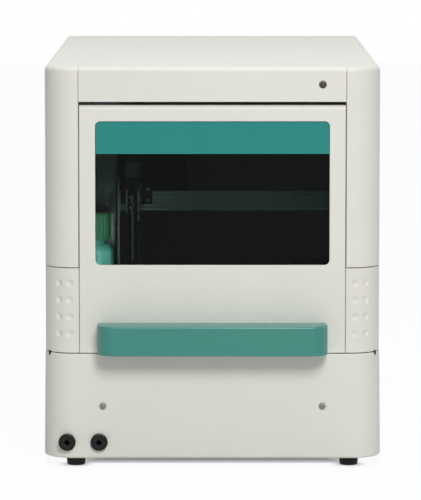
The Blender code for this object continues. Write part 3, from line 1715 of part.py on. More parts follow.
def wash_tube():
    """Tube from inside the bottle up to the syringe's valve."""
    across = BOTTLE_X + TUBE_OFF_CENTRE
    port = SYRINGE_X + SYRINGE_HEAD / 2 + CLEARANCE
    high = SYRINGE_TOP + SYRINGE_HEAD / 2
    bottom = BOTTLE_Z + BOTTLE_WALL + BOTTLE_EDGE
    rise = high - CAP_TOP
    guides = [
        (across, BOTTLE_Y, bottom),
        (across, BOTTLE_Y, CAP_TOP),
        (across, BOTTLE_Y, CAP_TOP + rise / 2),
        (across - TUBE_RADIUS, (BOTTLE_Y + SYRINGE_Y) / 2, high - TUBE_BEND),
        (port + TUBE_BEND / 2, SYRINGE_Y, high),
        (port, SYRINGE_Y, high),
    ]
    return tube("wash_tube", smooth_route(guides, 4), TUBE_RADIUS, "clear_tube")


def syringe_drive():
    """Drive housing with a slot for the plunger's tongue, and the syringe's valve head on top."""
    half = SYRINGE_DRIVE_WIDTH / 2
    back = FLUIDICS_BACK - CLEARANCE
    front = back - SYRINGE_DRIVE_DEPTH
    bottom = SYRINGE_DRIVE_TOP - SYRINGE_DRIVE_HEIGHT
    drive = block(
        "syringe_drive",
        (SYRINGE_X - half, front, bottom),
        (SYRINGE_X + half, back, SYRINGE_DRIVE_TOP),
        "resin_white",
        SYRINGE_DRIVE_EDGE,
    )
    head = block(
        "valve_head",
        (SYRINGE_X - SYRINGE_HEAD / 2, SYRINGE_Y - SYRINGE_HEAD / 2, SYRINGE_TOP + CLEARANCE),
        (SYRINGE_X + SYRINGE_HEAD / 2, front + OVERRUN, SYRINGE_TOP + SYRINGE_HEAD),
    )
    slot = block(
        "plunger_slot",
        (
            SYRINGE_X - PLUNGER_TONGUE / 2 - RUNNING_GAP / 2,
            front - OVERRUN,
            plunger_foot() - PLUNGER_TRAVEL - RUNNING_GAP,
        ),
        (
            SYRINGE_X + PLUNGER_TONGUE / 2 + RUNNING_GAP / 2,
            front + PLUNGER_TONGUE_DEPTH,
            plunger_foot() + PLUNGER_FOOT + RUNNING_GAP,
        ),
    )
    return cut(join(drive, head), slot)


def plunger_foot():
    """Lowest point of the plunger's foot at rest."""
    return SYRINGE_TOP - PLUNGER_DROP - SYRINGE_LENGTH - PLUNGER_FOOT


def syringe_barrel():
    profile = [
        (0, 0),
        (SYRINGE_RADIUS, 0),
        (SYRINGE_RADIUS, -SYRINGE_LENGTH),
        (SYRINGE_BORE, -SYRINGE_LENGTH),
        (SYRINGE_BORE, -PLUNGER_DROP + CLEARANCE),
        (0, -PLUNGER_DROP + CLEARANCE),
    ]
    start = (SYRINGE_X, SYRINGE_Y, SYRINGE_TOP)
    return turned("syringe_barrel", profile, start, "z", "clear_tube", 20)


def plunger():
    """Plunger rod in the barrel, with its foot and the tongue that the drive moves."""
    low = plunger_foot()
    foot = block(
        "plunger",
        (SYRINGE_X - PLUNGER_FOOT_WIDTH / 2, SYRINGE_Y - PLUNGER_FOOT_WIDTH / 2, low),
        (
            SYRINGE_X + PLUNGER_FOOT_WIDTH / 2,
            FLUIDICS_BACK - CLEARANCE - SYRINGE_DRIVE_DEPTH - CLEARANCE,
            low + PLUNGER_FOOT - CLEARANCE,
        ),
        "bright_steel",
        SYRINGE_DRIVE_EDGE,
    )
    rod = cylinder(
        "plunger_rod",
        (SYRINGE_X, SYRINGE_Y, low + PLUNGER_FOOT / 2),
        PLUNGER_RADIUS,
        SYRINGE_LENGTH + PLUNGER_FOOT / 2,
        "z",
        sides=12,
    )
    tongue = block(
        "plunger_tongue",
        (SYRINGE_X - PLUNGER_TONGUE / 2, SYRINGE_Y, low + RUNNING_GAP),
        (
            SYRINGE_X + PLUNGER_TONGUE / 2,
            FLUIDICS_BACK - SYRINGE_DRIVE_DEPTH + PLUNGER_TONGUE_DEPTH - RUNNING_GAP,
            low + PLUNGER_FOOT - RUNNING_GAP,
        ),
    )
    return join(foot, rod, tongue)


def syringe_valve_rotor():
    """Round valve plug on the front of the syringe's head, with a grip bar."""
    front = SYRINGE_Y - SYRINGE_HEAD / 2 - CLEARANCE
    high = SYRINGE_TOP + SYRINGE_HEAD / 2
    knob = cylinder(
        "syringe_valve_rotor",
        (SYRINGE_X, front, high),
        SYRINGE_KNOB_RADIUS,
        SYRINGE_KNOB_LENGTH / 2,
        "-y",
        "resin_white",
        sides=20,
    )
    bar = block(
        "knob_bar",
        (SYRINGE_X - SYRINGE_KNOB_BAR / 2, front - SYRINGE_KNOB_LENGTH, high - SYRINGE_HEAD / 4),
        (SYRINGE_X + SYRINGE_KNOB_BAR / 2, front - SYRINGE_KNOB_LENGTH / 4, high + SYRINGE_HEAD / 4),
    )
    return join(knob, bar)


def injection_valve():
    """Valve drive with its round port head in front, on the right plate's far side."""
    half = VALVE_SIDE / 2
    rotor_front = VALVE_Y + VALVE_HEAD_LENGTH
    drive_front = rotor_front + VALVE_ROTOR_LENGTH
    drive = block(
        "injection_valve",
        (VALVE_X - half, drive_front, VALVE_HEIGHT - half),
        (VALVE_X + half, drive_front + VALVE_BODY_LENGTH, VALVE_HEIGHT + half),
        "motor_black",
        MOTOR_EDGE,
    )
    spindle = cylinder(
        "valve_spindle",
        (VALVE_X, rotor_front - OVERRUN, VALVE_HEIGHT),
        VALVE_PORT_RADIUS,
        VALVE_ROTOR_LENGTH + VALVE_BODY_LENGTH / 2,
        "y",
        sides=16,
    )
    head = cylinder(
        "valve_port_head",
        (VALVE_X, VALVE_Y, VALVE_HEIGHT),
        VALVE_HEAD_RADIUS,
        VALVE_HEAD_LENGTH,
        "y",
    )
    join(drive, spindle, head)
    for number, (across, up) in enumerate(valve_ports()):
        port = cylinder(
            f"valve_port_{number}",
            (across, VALVE_Y - VALVE_PORT_LENGTH, up),
            VALVE_PORT_RADIUS,
            VALVE_PORT_LENGTH + VALVE_HEAD_LENGTH / 2,
            "y",
            sides=6,
        )
        join(drive, port)
    return drive


def valve_ports():
    ports = []
    for number in range(VALVE_PORTS):
        angle = 2 * math.pi * (number + 1 / 2) / VALVE_PORTS
        across = VALVE_X + VALVE_PORT_CIRCLE * math.cos(angle)
        ports.append((across, VALVE_HEIGHT + VALVE_PORT_CIRCLE * math.sin(angle)))
    return ports


def injection_valve_rotor():
    """Ring between the port head and the drive, turning on the spindle."""
    outer = VALVE_ROTOR_RADIUS
    inner = VALVE_PORT_RADIUS + CLEARANCE
    low = CLEARANCE
    high = VALVE_ROTOR_LENGTH - CLEARANCE
    profile = [(inner, high), (outer, high), (outer, low), (inner, low), (inner, high)]
    start = (VALVE_X, VALVE_Y + VALVE_HEAD_LENGTH, VALVE_HEIGHT)
    return turned("injection_valve_rotor", profile, start, "y", "bright_steel", 24)


def sample_loop():
    """Steel loop between two ports of the valve's head."""
    ports = valve_ports()
    first = ports[0]
    last = ports[-1]
    start = VALVE_Y - VALVE_PORT_LENGTH - CLEARANCE
    reach = start - LOOP_REACH
    middle = VALVE_X - VALVE_PORT_CIRCLE
    guides = [
        (first[0], start, first[1]),
        (first[0], start - LOOP_REACH / 4, first[1]),
        (first[0], reach + LOOP_REACH / 4, first[1]),
        (middle, reach, (first[1] + last[1]) / 2),
        (last[0], reach + LOOP_REACH / 4, last[1]),
        (last[0], start - LOOP_REACH / 4, last[1]),
        (last[0], start, last[1]),
    ]
    return tube("sample_loop", smooth_route(guides, 4), LOOP_RADIUS, "bright_steel")


def heat_sink():
    """Finned block behind the chamber, with the cooling plate between them."""
    front = CHAMBER_REAR + CLEARANCE
    half = SINK_HALF_WIDTH
    pitch = (half + half - SINK_FIN) / (SINK_FINS - 1)
    outline = [(half, front), (-half, front)]
    for fin in range(SINK_FINS):
        left = -half + fin * pitch
        outline += [
            (left, front + SINK_BASE),
            (left, front + SINK_DEPTH),
            (left + SINK_FIN, front + SINK_DEPTH),
            (left + SINK_FIN, front + SINK_BASE),
        ]
    outline = [outline[0], outline[1], *outline[3:-1]]
    top = SINK_BOTTOM + SINK_HEIGHT
    return plan_piece("heat_sink", [outline], SINK_BOTTOM, top, "aluminium")


def fan_frame():
    """Square fan housing behind the rear panel, with the struts that hold its hub."""
    back = REAR_INNER - CLEARANCE
    front = back - FAN_DEPTH
    half = FAN_SIDE / 2
    frame = front_piece(
        "fan_frame",
        [
            rounded_rectangle(
                -FAN_FROM_CENTRE - half,
                FAN_HEIGHT - half,
                -FAN_FROM_CENTRE + half,
                FAN_HEIGHT + half,
                FAN_CORNER,
            ),
            arc((-FAN_FROM_CENTRE, FAN_HEIGHT), FAN_BORE, 0, 350, 35),
        ],
        front,
        back,
        "connector_black",
    )
    hub = cylinder(
        "fan_hub_plate",
        (-FAN_FROM_CENTRE, front, FAN_HEIGHT),
        FAN_HUB_RADIUS,
        FAN_HUB_PLATE,
        "y",
    )
    join(frame, hub)
    for number in range(2):
        strut = block(
            f"fan_strut_{number}",
            (-FAN_BORE - FAN_TIP_GAP, 0, -FAN_STRUT / 2),
            (FAN_BORE + FAN_TIP_GAP, FAN_HUB_PLATE - CLEARANCE, FAN_STRUT / 2),
        )
        strut.location = (-FAN_FROM_CENTRE, front + FAN_HUB_PLATE / 2, FAN_HEIGHT)
        strut.rotation_euler = (0, math.pi / 4 + number * math.pi / 2, 0)
        join(frame, strut)
    return frame


def fan_rotor():
    """Fan hub with pitched blades, turning in the housing."""
    front = REAR_INNER - CLEARANCE - FAN_DEPTH + FAN_HUB_PLATE + CLEARANCE
    length = FAN_DEPTH - FAN_HUB_PLATE - RUNNING_GAP
    rotor = cylinder(
        "fan_rotor",
        (-FAN_FROM_CENTRE, front, FAN_HEIGHT),
        FAN_HUB_RADIUS,
        length,
        "y",
        "connector_black",
    )
    middle = Vector((-FAN_FROM_CENTRE, front + length / 2, FAN_HEIGHT))
    tip = FAN_BORE - FAN_TIP_GAP
    root = FAN_HUB_RADIUS * FAN_BLADE_ROOT_SHARE
    for number in range(FAN_BLADES):
        build = bmesh.new()
        bmesh.ops.create_cube(build, size=1)
        size = (tip - root, FAN_BLADE_WALL, FAN_BLADE_CHORD)
        bmesh.ops.scale(build, vec=size, verts=build.verts)
        pitch = Matrix.Rotation(math.radians(FAN_BLADE_PITCH), 3, "X")
        bmesh.ops.rotate(build, matrix=pitch, verts=build.verts)
        bmesh.ops.translate(build, vec=((tip + root) / 2, 0, 0), verts=build.verts)
        blade = from_bmesh(f"fan_blade_{number}", build, None, middle)
        blade.rotation_euler = (0, 2 * math.pi * number / FAN_BLADES, 0)
        join(rotor, blade)
    limit = cylinder(
        "fan_tip_circle",
        (-FAN_FROM_CENTRE, front - OVERRUN, FAN_HEIGHT),
        tip,
        length + OVERRUN + OVERRUN,
        "y",
        sides=48,
    )
    return keep_inside(rotor, limit)


def mains_inlet():
    """Inlet module in the rear panel: a socket with its contacts and a pocket for the switch."""
    back = REAR_FACE + INLET_FLANGE
    half = INLET_WIDTH / 2
    tall = INLET_HEIGHT / 2
    inlet = block(
        "mains_inlet",
        (INLET_CENTRE_X - half, REAR_FACE - INLET_DEPTH, INLET_CENTRE_Z - tall),
        (INLET_CENTRE_X + half, back, INLET_CENTRE_Z + tall),
        "connector_black",
    )
    flange = block(
        "inlet_flange",
        (
            INLET_CENTRE_X - half - INLET_FLANGE_LIP,
            REAR_FACE + CLEARANCE,
            INLET_CENTRE_Z - tall - INLET_FLANGE_LIP,
        ),
        (
            INLET_CENTRE_X + half + INLET_FLANGE_LIP,
            back,
            INLET_CENTRE_Z + tall + INLET_FLANGE_LIP,
        ),
    )
    middle = INLET_CENTRE_X - SOCKET_FROM_CENTRE
    wide = SOCKET_WIDTH / 2
    high = SOCKET_HEIGHT / 2
    outline = [
        (middle - wide, INLET_CENTRE_Z - high),
        (middle + wide, INLET_CENTRE_Z - high),
        (middle + wide, INLET_CENTRE_Z + high - SOCKET_CHAMFER),
        (middle + wide - SOCKET_CHAMFER, INLET_CENTRE_Z + high),
        (middle - wide + SOCKET_CHAMFER, INLET_CENTRE_Z + high),
        (middle - wide, INLET_CENTRE_Z + high - SOCKET_CHAMFER),
    ]
    socket = front_piece("socket_hollow", [outline], back - SOCKET_DEPTH, back + OVERRUN)
    join(inlet, flange)
    cut(inlet, socket)
    for number in (-1, 0, 1):
        across = middle + number * CONTACT_PITCH
        up = INLET_CENTRE_Z + (CONTACT_HEIGHT / 2 if number == 0 else -CONTACT_HEIGHT / 4)
        contact = block(
            f"contact_{number + 1}",
            (
                across - CONTACT_WIDTH / 2,
                back - SOCKET_DEPTH - OVERRUN,
                up - CONTACT_HEIGHT / 2,
            ),
            (
                across + CONTACT_WIDTH / 2,
                back - CONTACT_DROP,
                up + CONTACT_HEIGHT / 2,
            ),
        )
        join(inlet, contact)
    switch_middle = INLET_CENTRE_X + SWITCH_FROM_CENTRE
    pocket = block(
        "switch_pocket",
        (
            switch_middle - SWITCH_WIDTH / 2 - CLEARANCE,
            switch_axis() - SWITCH_POCKET_DEPTH,
            INLET_CENTRE_Z - SWITCH_HALF_HEIGHT - SWITCH_POCKET_GAP,
        ),
        (
            switch_middle + SWITCH_WIDTH / 2 + CLEARANCE,
            back + OVERRUN,
            INLET_CENTRE_Z + SWITCH_HALF_HEIGHT + SWITCH_POCKET_GAP,
        ),
    )
    return cut(inlet, pocket)


def switch_axis():
    """Y of the rocker's pivot."""
    return REAR_FACE + INLET_FLANGE - SWITCH_AXIS_DEPTH


def power_switch():
    """Rocker with a dished face, at rest tilted to one side."""
    outline = [
        (SWITCH_FACE, SWITCH_HALF_HEIGHT),
        (SWITCH_FACE - SWITCH_FACE_DIP, 0),
        (SWITCH_FACE, -SWITCH_HALF_HEIGHT),
        (-SWITCH_BACK, -SWITCH_HALF_HEIGHT / 2),
        (-SWITCH_BACK, SWITCH_HALF_HEIGHT / 2),
    ]
    rocker = side_piece(
        "power_switch", [outline], -SWITCH_WIDTH / 2, SWITCH_WIDTH / 2, "connector_black"
    )
    bpy.context.view_layer.update()
    tilt = Matrix.Rotation(math.radians(-SWITCH_TILT), 4, "X")
    middle = (INLET_CENTRE_X + SWITCH_FROM_CENTRE, switch_axis(), INLET_CENTRE_Z)
    rocker.matrix_world = Matrix.Translation(middle) @ tilt @ rocker.matrix_world
    return rocker


def network_port():
    """Shell of a network socket, open to the rear."""
    half = NETWORK_WIDTH / 2
    tall = NETWORK_HEIGHT / 2
    back = REAR_FACE + INLET_FLANGE
    port = block(
        "network_port",
        (NETWORK_CENTRE_X - half, back - NETWORK_DEPTH, NETWORK_CENTRE_Z - tall),
        (NETWORK_CENTRE_X + half, back, NETWORK_CENTRE_Z + tall),
        "bright_steel",
    )
    hollow = block(
        "network_hollow",
        (
            NETWORK_CENTRE_X - half + NETWORK_WALL,
            back - NETWORK_DEPTH + NETWORK_WALL,
            NETWORK_CENTRE_Z - tall + NETWORK_WALL,
        ),
        (
            NETWORK_CENTRE_X + half - NETWORK_WALL,
            back + OVERRUN,
            NETWORK_CENTRE_Z + tall - NETWORK_WALL,
        ),
    )
    return cut(port, hollow)


def control_board():
    """Circuit board on four posts above the base pan, with its largest parts."""
    left = -HALF + COVER_WALL + PAN_WALL + BOARD_FROM_SIDE
    rear = REAR_INNER - BOARD_REAR_GAP
    front = rear - BOARD_LENGTH
    bottom = PAN_TOP + BOARD_HEIGHT
    top = bottom + BOARD_WALL
    board = block(
        "control_board",
        (left, front, bottom),
        (left + BOARD_WIDTH, rear, top),
        "board_green",
    )
    corners = [
        (left + POST_INSET, front + POST_INSET),
        (left + BOARD_WIDTH - POST_INSET, front + POST_INSET),
        (left + POST_INSET, rear - POST_INSET),
        (left + BOARD_WIDTH - POST_INSET, rear - POST_INSET),
    ]
    for number, (across, along) in enumerate(corners):
        post = cylinder(
            f"board_post_{number}",
            (across, along, PAN_TOP + CLEARANCE),
            POST_RADIUS,
            BOARD_HEIGHT,
            "z",
            sides=10,
        )
        join(board, post)
    chip = CHIP_SHARE * BOARD_WIDTH
    for number, (across_share, along_share) in enumerate(CHIP_PLACE_SHARES):
        across = left + BOARD_WIDTH * across_share
        along = front + BOARD_LENGTH * along_share
        block_on_board = block(
            f"board_chip_{number}",
            (across - chip / 2, along - chip / 2, top - BOARD_WALL / 2),
            (across + chip / 2, along + chip / 2, top + CHIP_HEIGHT),
        )
        join(board, block_on_board)
    return board


def power_supply():
    right = HALF - COVER_WALL - PAN_WALL - SUPPLY_FROM_SIDE
    rear = REAR_INNER - SUPPLY_REAR_GAP
    return block(
        "power_supply",
        (right - SUPPLY_WIDTH, rear - SUPPLY_LENGTH, PAN_TOP + CLEARANCE),
        (right, rear, PAN_TOP + CLEARANCE + SUPPLY_HEIGHT),
        "zinc_sheet",
        SUPPLY_EDGE,
    )


def build_autosampler():
    base_pan()
    feet()
    case_cover()
    columns()
    header_panel()
    status_light()
    lower_panel()
    panel_screws()
    drain_nozzles()
    door_bumpers()
    rear_panel()
    door_panel()
    door_window()
    window_band()
    door_handle()
    door_grips()
    hinge_pins()
    side_plates()
    sample_chamber()
    tray_carrier()
    sample_racks()
    x_rail()
    x_motor()
    x_carriage()
    z_motor()
    z_slider()
    needle()
    needle_port_block()
    fluidics_panel()
    wash_bottle()
    bottle_cap()
    wash_tube()
    syringe_drive()
    syringe_barrel()
    plunger()
    syringe_valve_rotor()
    injection_valve()
    injection_valve_rotor()
    sample_loop()
    heat_sink()
    fan_frame()
    fan_rotor()
    mains_inlet()
    power_switch()
    network_port()
    control_board()
    power_supply()


build_autosampler()
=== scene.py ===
"""Looks of the benchtop autosampler: finishes, finer shapes, camera and studio.

Metres, +Z up, front towards -Y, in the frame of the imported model.
"""

import json
import math

import bpy
import numpy as np
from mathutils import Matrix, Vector

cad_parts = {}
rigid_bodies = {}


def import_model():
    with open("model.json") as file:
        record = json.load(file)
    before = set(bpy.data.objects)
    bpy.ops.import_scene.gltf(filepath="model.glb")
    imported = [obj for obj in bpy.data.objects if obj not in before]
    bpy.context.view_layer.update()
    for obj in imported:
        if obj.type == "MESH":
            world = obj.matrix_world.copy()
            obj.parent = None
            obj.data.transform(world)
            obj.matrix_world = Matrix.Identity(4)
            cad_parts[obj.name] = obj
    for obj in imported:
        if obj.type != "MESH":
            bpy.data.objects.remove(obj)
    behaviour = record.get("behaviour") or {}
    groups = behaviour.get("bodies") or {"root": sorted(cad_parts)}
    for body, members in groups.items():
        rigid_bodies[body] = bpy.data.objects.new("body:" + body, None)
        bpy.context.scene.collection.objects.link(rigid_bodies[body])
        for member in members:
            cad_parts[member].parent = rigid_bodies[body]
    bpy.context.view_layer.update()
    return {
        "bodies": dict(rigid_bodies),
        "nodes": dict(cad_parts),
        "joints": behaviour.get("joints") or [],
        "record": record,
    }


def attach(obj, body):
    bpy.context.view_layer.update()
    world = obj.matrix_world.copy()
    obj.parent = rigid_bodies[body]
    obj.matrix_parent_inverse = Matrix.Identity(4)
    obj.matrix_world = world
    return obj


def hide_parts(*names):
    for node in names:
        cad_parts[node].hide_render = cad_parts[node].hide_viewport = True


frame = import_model()
NODES = frame["nodes"]

# How far the first points of a flat lie from its rounded edge
HOLD = 0.0002
# Radius of the small lids that close a turned solid on its axis
AXIS = 0.00001
# For each axis, the two directions across it and then the one along it
IN_PLANE = {"x": (1, 2, 0), "y": (0, 2, 1), "z": (0, 1, 2)}

# Camera of the photograph
CAMERA_PLACE = (-0.0017, -3.5345, 0.554)
CAMERA_TILT = 6.224
CAMERA_LENS = 266.0
SENSOR = 36.0

# The case, as in the part's source
HALF = 0.15
TOP = 0.36
FRONT = -0.2585
REAR = 0.2865
BASE = 0.0086
GAP = 0.0003
CORNER = 0.027
RETURN = 0.028
FRONT_WALL = 0.007
TOP_ROUND = 0.004
COVER_WALL = 0.002
COLUMN_EDGE = 0.1191
COLUMN_BOTTOM = 0.181
HEADER_BOTTOM = 0.329
DOOR_HALF = 0.1186
DOOR_TOP = 0.326
DOOR_BOTTOM = 0.1041
DOOR_WALL = 0.005
GRIP_TOP = 0.1802
HINGE_Y = -0.2485
HINGE_Z = 0.317


def aim_camera():
    """Camera at the photograph's height and tilt, with its long lens."""
    data = bpy.data.cameras.new("camera")
    data.lens = CAMERA_LENS
    data.sensor_width = SENSOR
    camera = bpy.data.objects.new("camera", data)
    camera.location = CAMERA_PLACE
    camera.rotation_euler = (math.radians(90 - CAMERA_TILT), 0, 0)
    bpy.context.scene.collection.objects.link(camera)
    bpy.context.scene.camera = camera
    bpy.context.scene.view_settings.view_transform = "Standard"


aim_camera()

# Surfaces worked out on grids


def bend(centre, radius, start, end, steps):
    """Points centre + radius (cos a, sin a), with a running from start to end in degrees."""
    angles = np.radians(np.linspace(start, end, steps + 1))
    return np.array(centre) + radius * np.stack([np.cos(angles), np.sin(angles)], axis=1)


def outline(left, bottom, right, top, radii, steps=8):
    """A rounded rectangle with one radius, or with four from the lower right round to the lower left."""
    a, b, c, d = np.broadcast_to(radii, 4)
    return np.concatenate([
        bend((right - a, bottom + a), a, -90, 0, steps), bend((right - b, top - b), b, 0, 90, steps),
        bend((left + c, top - c), c, 90, 180, steps), bend((left + d, bottom + d), d, 180, 270, steps),
    ])


def stand(points, along, axis):
    """Plane points set along an axis: x gives (d, a, b), y gives (a, d, b), z gives (a, b, d)."""
    place = {"x": 0, "y": 1, "z": 2}[axis]
    return np.insert(np.asarray(points, float), place, float(along), axis=1)


def skin(grid, close_rows=False, lids=(True, True)):
    """Quads between neighbours of a grid of rings, with flat lids on its first and last ring."""
    grid = np.asarray(grid, float)
    rows, columns = grid.shape[:2]
    index = np.arange(rows * columns).reshape(rows, columns)
    if close_rows:
        index = np.concatenate([index, index[:1]])
    index = np.concatenate([index, index[:, :1]], axis=1)
    corners = [index[:-1, :-1], index[:-1, 1:], index[1:, 1:], index[1:, :-1]]
    faces = np.stack(corners, axis=-1).reshape(-1, 4).tolist()
    if lids[0] and not close_rows:
        faces.append(index[0, :columns][::-1].tolist())
    if lids[1] and not close_rows:
        faces.append(index[-1, :columns].tolist())
    return grid.reshape(-1, 3), faces


def outward(points, faces):
    """The faces turned round where the volume that they enclose comes out negative."""
    fans = np.array([(f[0], f[i], f[i + 1]) for f in faces for i in range(1, len(f) - 1)])
    a, b, c = points[fans[:, 0]], points[fans[:, 1]], points[fans[:, 2]]
    if np.einsum("ij,ij->i", a, np.cross(b, c)).sum() < 0:
        return [face[::-1] for face in faces]
    return faces


def piece(name, shapes, slot, replaces=(), body="case", look=None, crease=32):
    """One object of closed shapes on a body, smooth up to the crease angle, in its look or its slot's."""
    points = []
    faces = []
    start = 0
    for shape_points, shape_faces in shapes:
        shape_faces = outward(shape_points, shape_faces)
        points.append(shape_points)
        faces += [[corner + start for corner in face] for face in shape_faces]
        start += len(shape_points)
    mesh = bpy.data.meshes.new(name)
    mesh.from_pydata(np.concatenate(points).tolist(), [], faces)
    mesh.validate()
    mesh.shade_smooth()
    mesh.set_sharp_from_angle(angle=math.radians(crease))
    mesh.materials.append(LOOKS[look or slot])
    obj = bpy.data.objects.new(name, mesh)
    bpy.context.scene.collection.objects.link(obj)
    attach(obj, body)
    if replaces:
        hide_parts(*replaces)
    return obj


def around(sides):
    """Angles evenly round a full turn."""
    return np.linspace(0, 2 * math.pi, sides, endpoint=False)


def mm(rows):
    """(radius, distance) pairs in millimetres as metres, with a radius of 0 just off the axis."""
    return [(radius / 1000 or AXIS, distance / 1000) for radius, distance in rows]


def inset_steps(radius, steps):
    """(inset, rise) pairs of a rounded edge: radius (1 - cos a) and radius (1 - sin a)."""
    angles = np.radians(np.linspace(0, 90, steps + 1))
    return list(zip(radius * (1 - np.cos(angles)), radius * np.sin(angles)))


def eased_start(start, edge, steps):
    """(inset, level) pairs of a rounded edge at the start of a solid, going up."""
    return [(inset, start + edge - rise) for inset, rise in inset_steps(edge, steps)[::-1]]


def eased_end(end, edge, steps):
    """(inset, level) pairs of a rounded edge at the end of a solid, going up."""
    return [(inset, end - edge + rise) for inset, rise in inset_steps(edge, steps)]


def rounded_box(low, high, edge, steps=5, axis="z", corner=None):
    """A box of rounded rectangles stacked along an axis, drawn in by a quarter circle at both ends."""
    corner = edge if corner is None else corner
    left, bottom, start = (low[i] for i in IN_PLANE[axis])
    right, top, end = (high[i] for i in IN_PLANE[axis])
    rows = [(edge + HOLD, start)]
    rows += eased_start(start, edge, steps) + [(0.0, start + edge + HOLD), (0.0, end - edge - HOLD)]
    rows += eased_end(end, edge, steps) + [(edge + HOLD, end)]
    rings = []
    for inset, along in rows:
        radius = max(corner - inset, HOLD / 2)
        ring = outline(left + inset, bottom + inset, right - inset, top - inset, radius)
        rings.append(stand(ring, along, axis))
    return skin(rings)


def lathe(profile, centre, axis, sides=48, lids=(False, False), close=True):
    """A profile of (radius, distance) turned about an axis: (r cos a, r sin a) across it."""
    profile = np.array(profile, float)
    angles = around(sides)
    across = profile[:, :1] * np.cos(angles)
    up = profile[:, :1] * np.sin(angles)
    along = np.repeat(profile[:, 1:], sides, axis=1)
    order = {"x": (along, across, up), "y": (across, along, up), "z": (across, up, along)}
    return skin(np.stack(order[axis], axis=-1) + np.array(centre), close, lids)


def solid_lathe(profile, centre, axis, sides=48):
    """A turned solid whose profile starts and ends on its axis, closed there by small flat lids."""
    return lathe(profile, centre, axis, sides, lids=(True, True), close=False)


def cylinder(radius, start, end, centre, axis, sides=48):
    """A plain turned rod between two distances along its axis."""
    profile = [(AXIS, start), (radius, start), (radius, end), (AXIS, end)]
    return solid_lathe(profile, centre, axis, sides)


def ribbed_lathe(profile, centre, axis, ribs, depth, sides, power=0.5, close=False):
    """Turned with ribs: at angle a the radius is r - s d ((1 - cos n a) / 2)^p, with the ring's share s."""
    profile = np.array(profile, float)
    angles = around(sides)
    radius = profile[:, :1] - profile[:, 2:] * depth * (0.5 - 0.5 * np.cos(ribs * angles)) ** power
    across, up = radius * np.cos(angles), radius * np.sin(angles)
    along = np.repeat(profile[:, 1:2], sides, axis=1)
    order = {"y": (across, along, up), "z": (across, up, along)}
    return skin(np.stack(order[axis], axis=-1) + np.array(centre), close)


def set_down(shape, places):
    """The same shape at each place."""
    points, faces = shape
    return [(points + np.array(place), faces) for place in places]


def spun(shape, degrees, centre):
    """The shape turned about Y by an angle, and then set at the centre."""
    points, faces = shape
    a = math.radians(degrees)
    turn = np.array([[math.cos(a), 0, -math.sin(a)], [0, 1, 0], [math.sin(a), 0, math.cos(a)]])
    return points @ turn.T + np.array(centre), faces


def pipe(path, radius, sides=12, reference=(0.0, 0.0, 1.0)):
    """A circle carried along a path: p + r (n cos a + b sin a), n across the path and the reference."""
    path = np.asarray(path, float)
    tangent = np.gradient(path, axis=0)
    tangent /= np.linalg.norm(tangent, axis=1, keepdims=True)
    normal = np.cross(tangent, np.array(reference))
    normal /= np.linalg.norm(normal, axis=1, keepdims=True)
    binormal = np.cross(tangent, normal)
    angles = around(sides)[None, :, None]
    ring = normal[:, None] * np.cos(angles) + binormal[:, None] * np.sin(angles)
    return skin(path[:, None] + radius * ring)


def curve_through(guides, steps=12):
    """Catmull-Rom curve through the guide points, worked out for all spans at once."""
    guides = np.array(guides, float)
    padded = np.concatenate([[2 * guides[0] - guides[1]], guides, [2 * guides[-1] - guides[-2]]])
    t = np.linspace(0, 1, steps, endpoint=False)[None, :, None]
    a, b, c, d = (padded[i : len(guides) - 1 + i, None] for i in range(4))
    spans = (2 * b + (c - a) * t + (2 * a - 5 * b + 4 * c - d) * t**2 + (3 * b - a - 3 * c + d) * t**3) / 2
    return np.concatenate([spans.reshape(-1, 3), guides[-1:]])


def mirror_x(shape):
    """The same shape on the other side of X = 0."""
    points, faces = shape
    return points * np.array([-1.0, 1.0, 1.0]), [face[::-1] for face in faces]


def sided(shape, side):
    """The shape itself on the right, and its mirror image on the left."""
    return shape if side > 0 else mirror_x(shape)


SIDES = (("left", -1), ("right", 1))

# Finishes


def srgb(red, green, blue):
    """Linear colour of an 8-bit screen colour, by the usual power curve."""
    parts = np.array([red, green, blue]) / 255
    return tuple(np.where(parts <= 0.04045, parts / 12.92, ((parts + 0.055) / 1.055) ** 2.4))


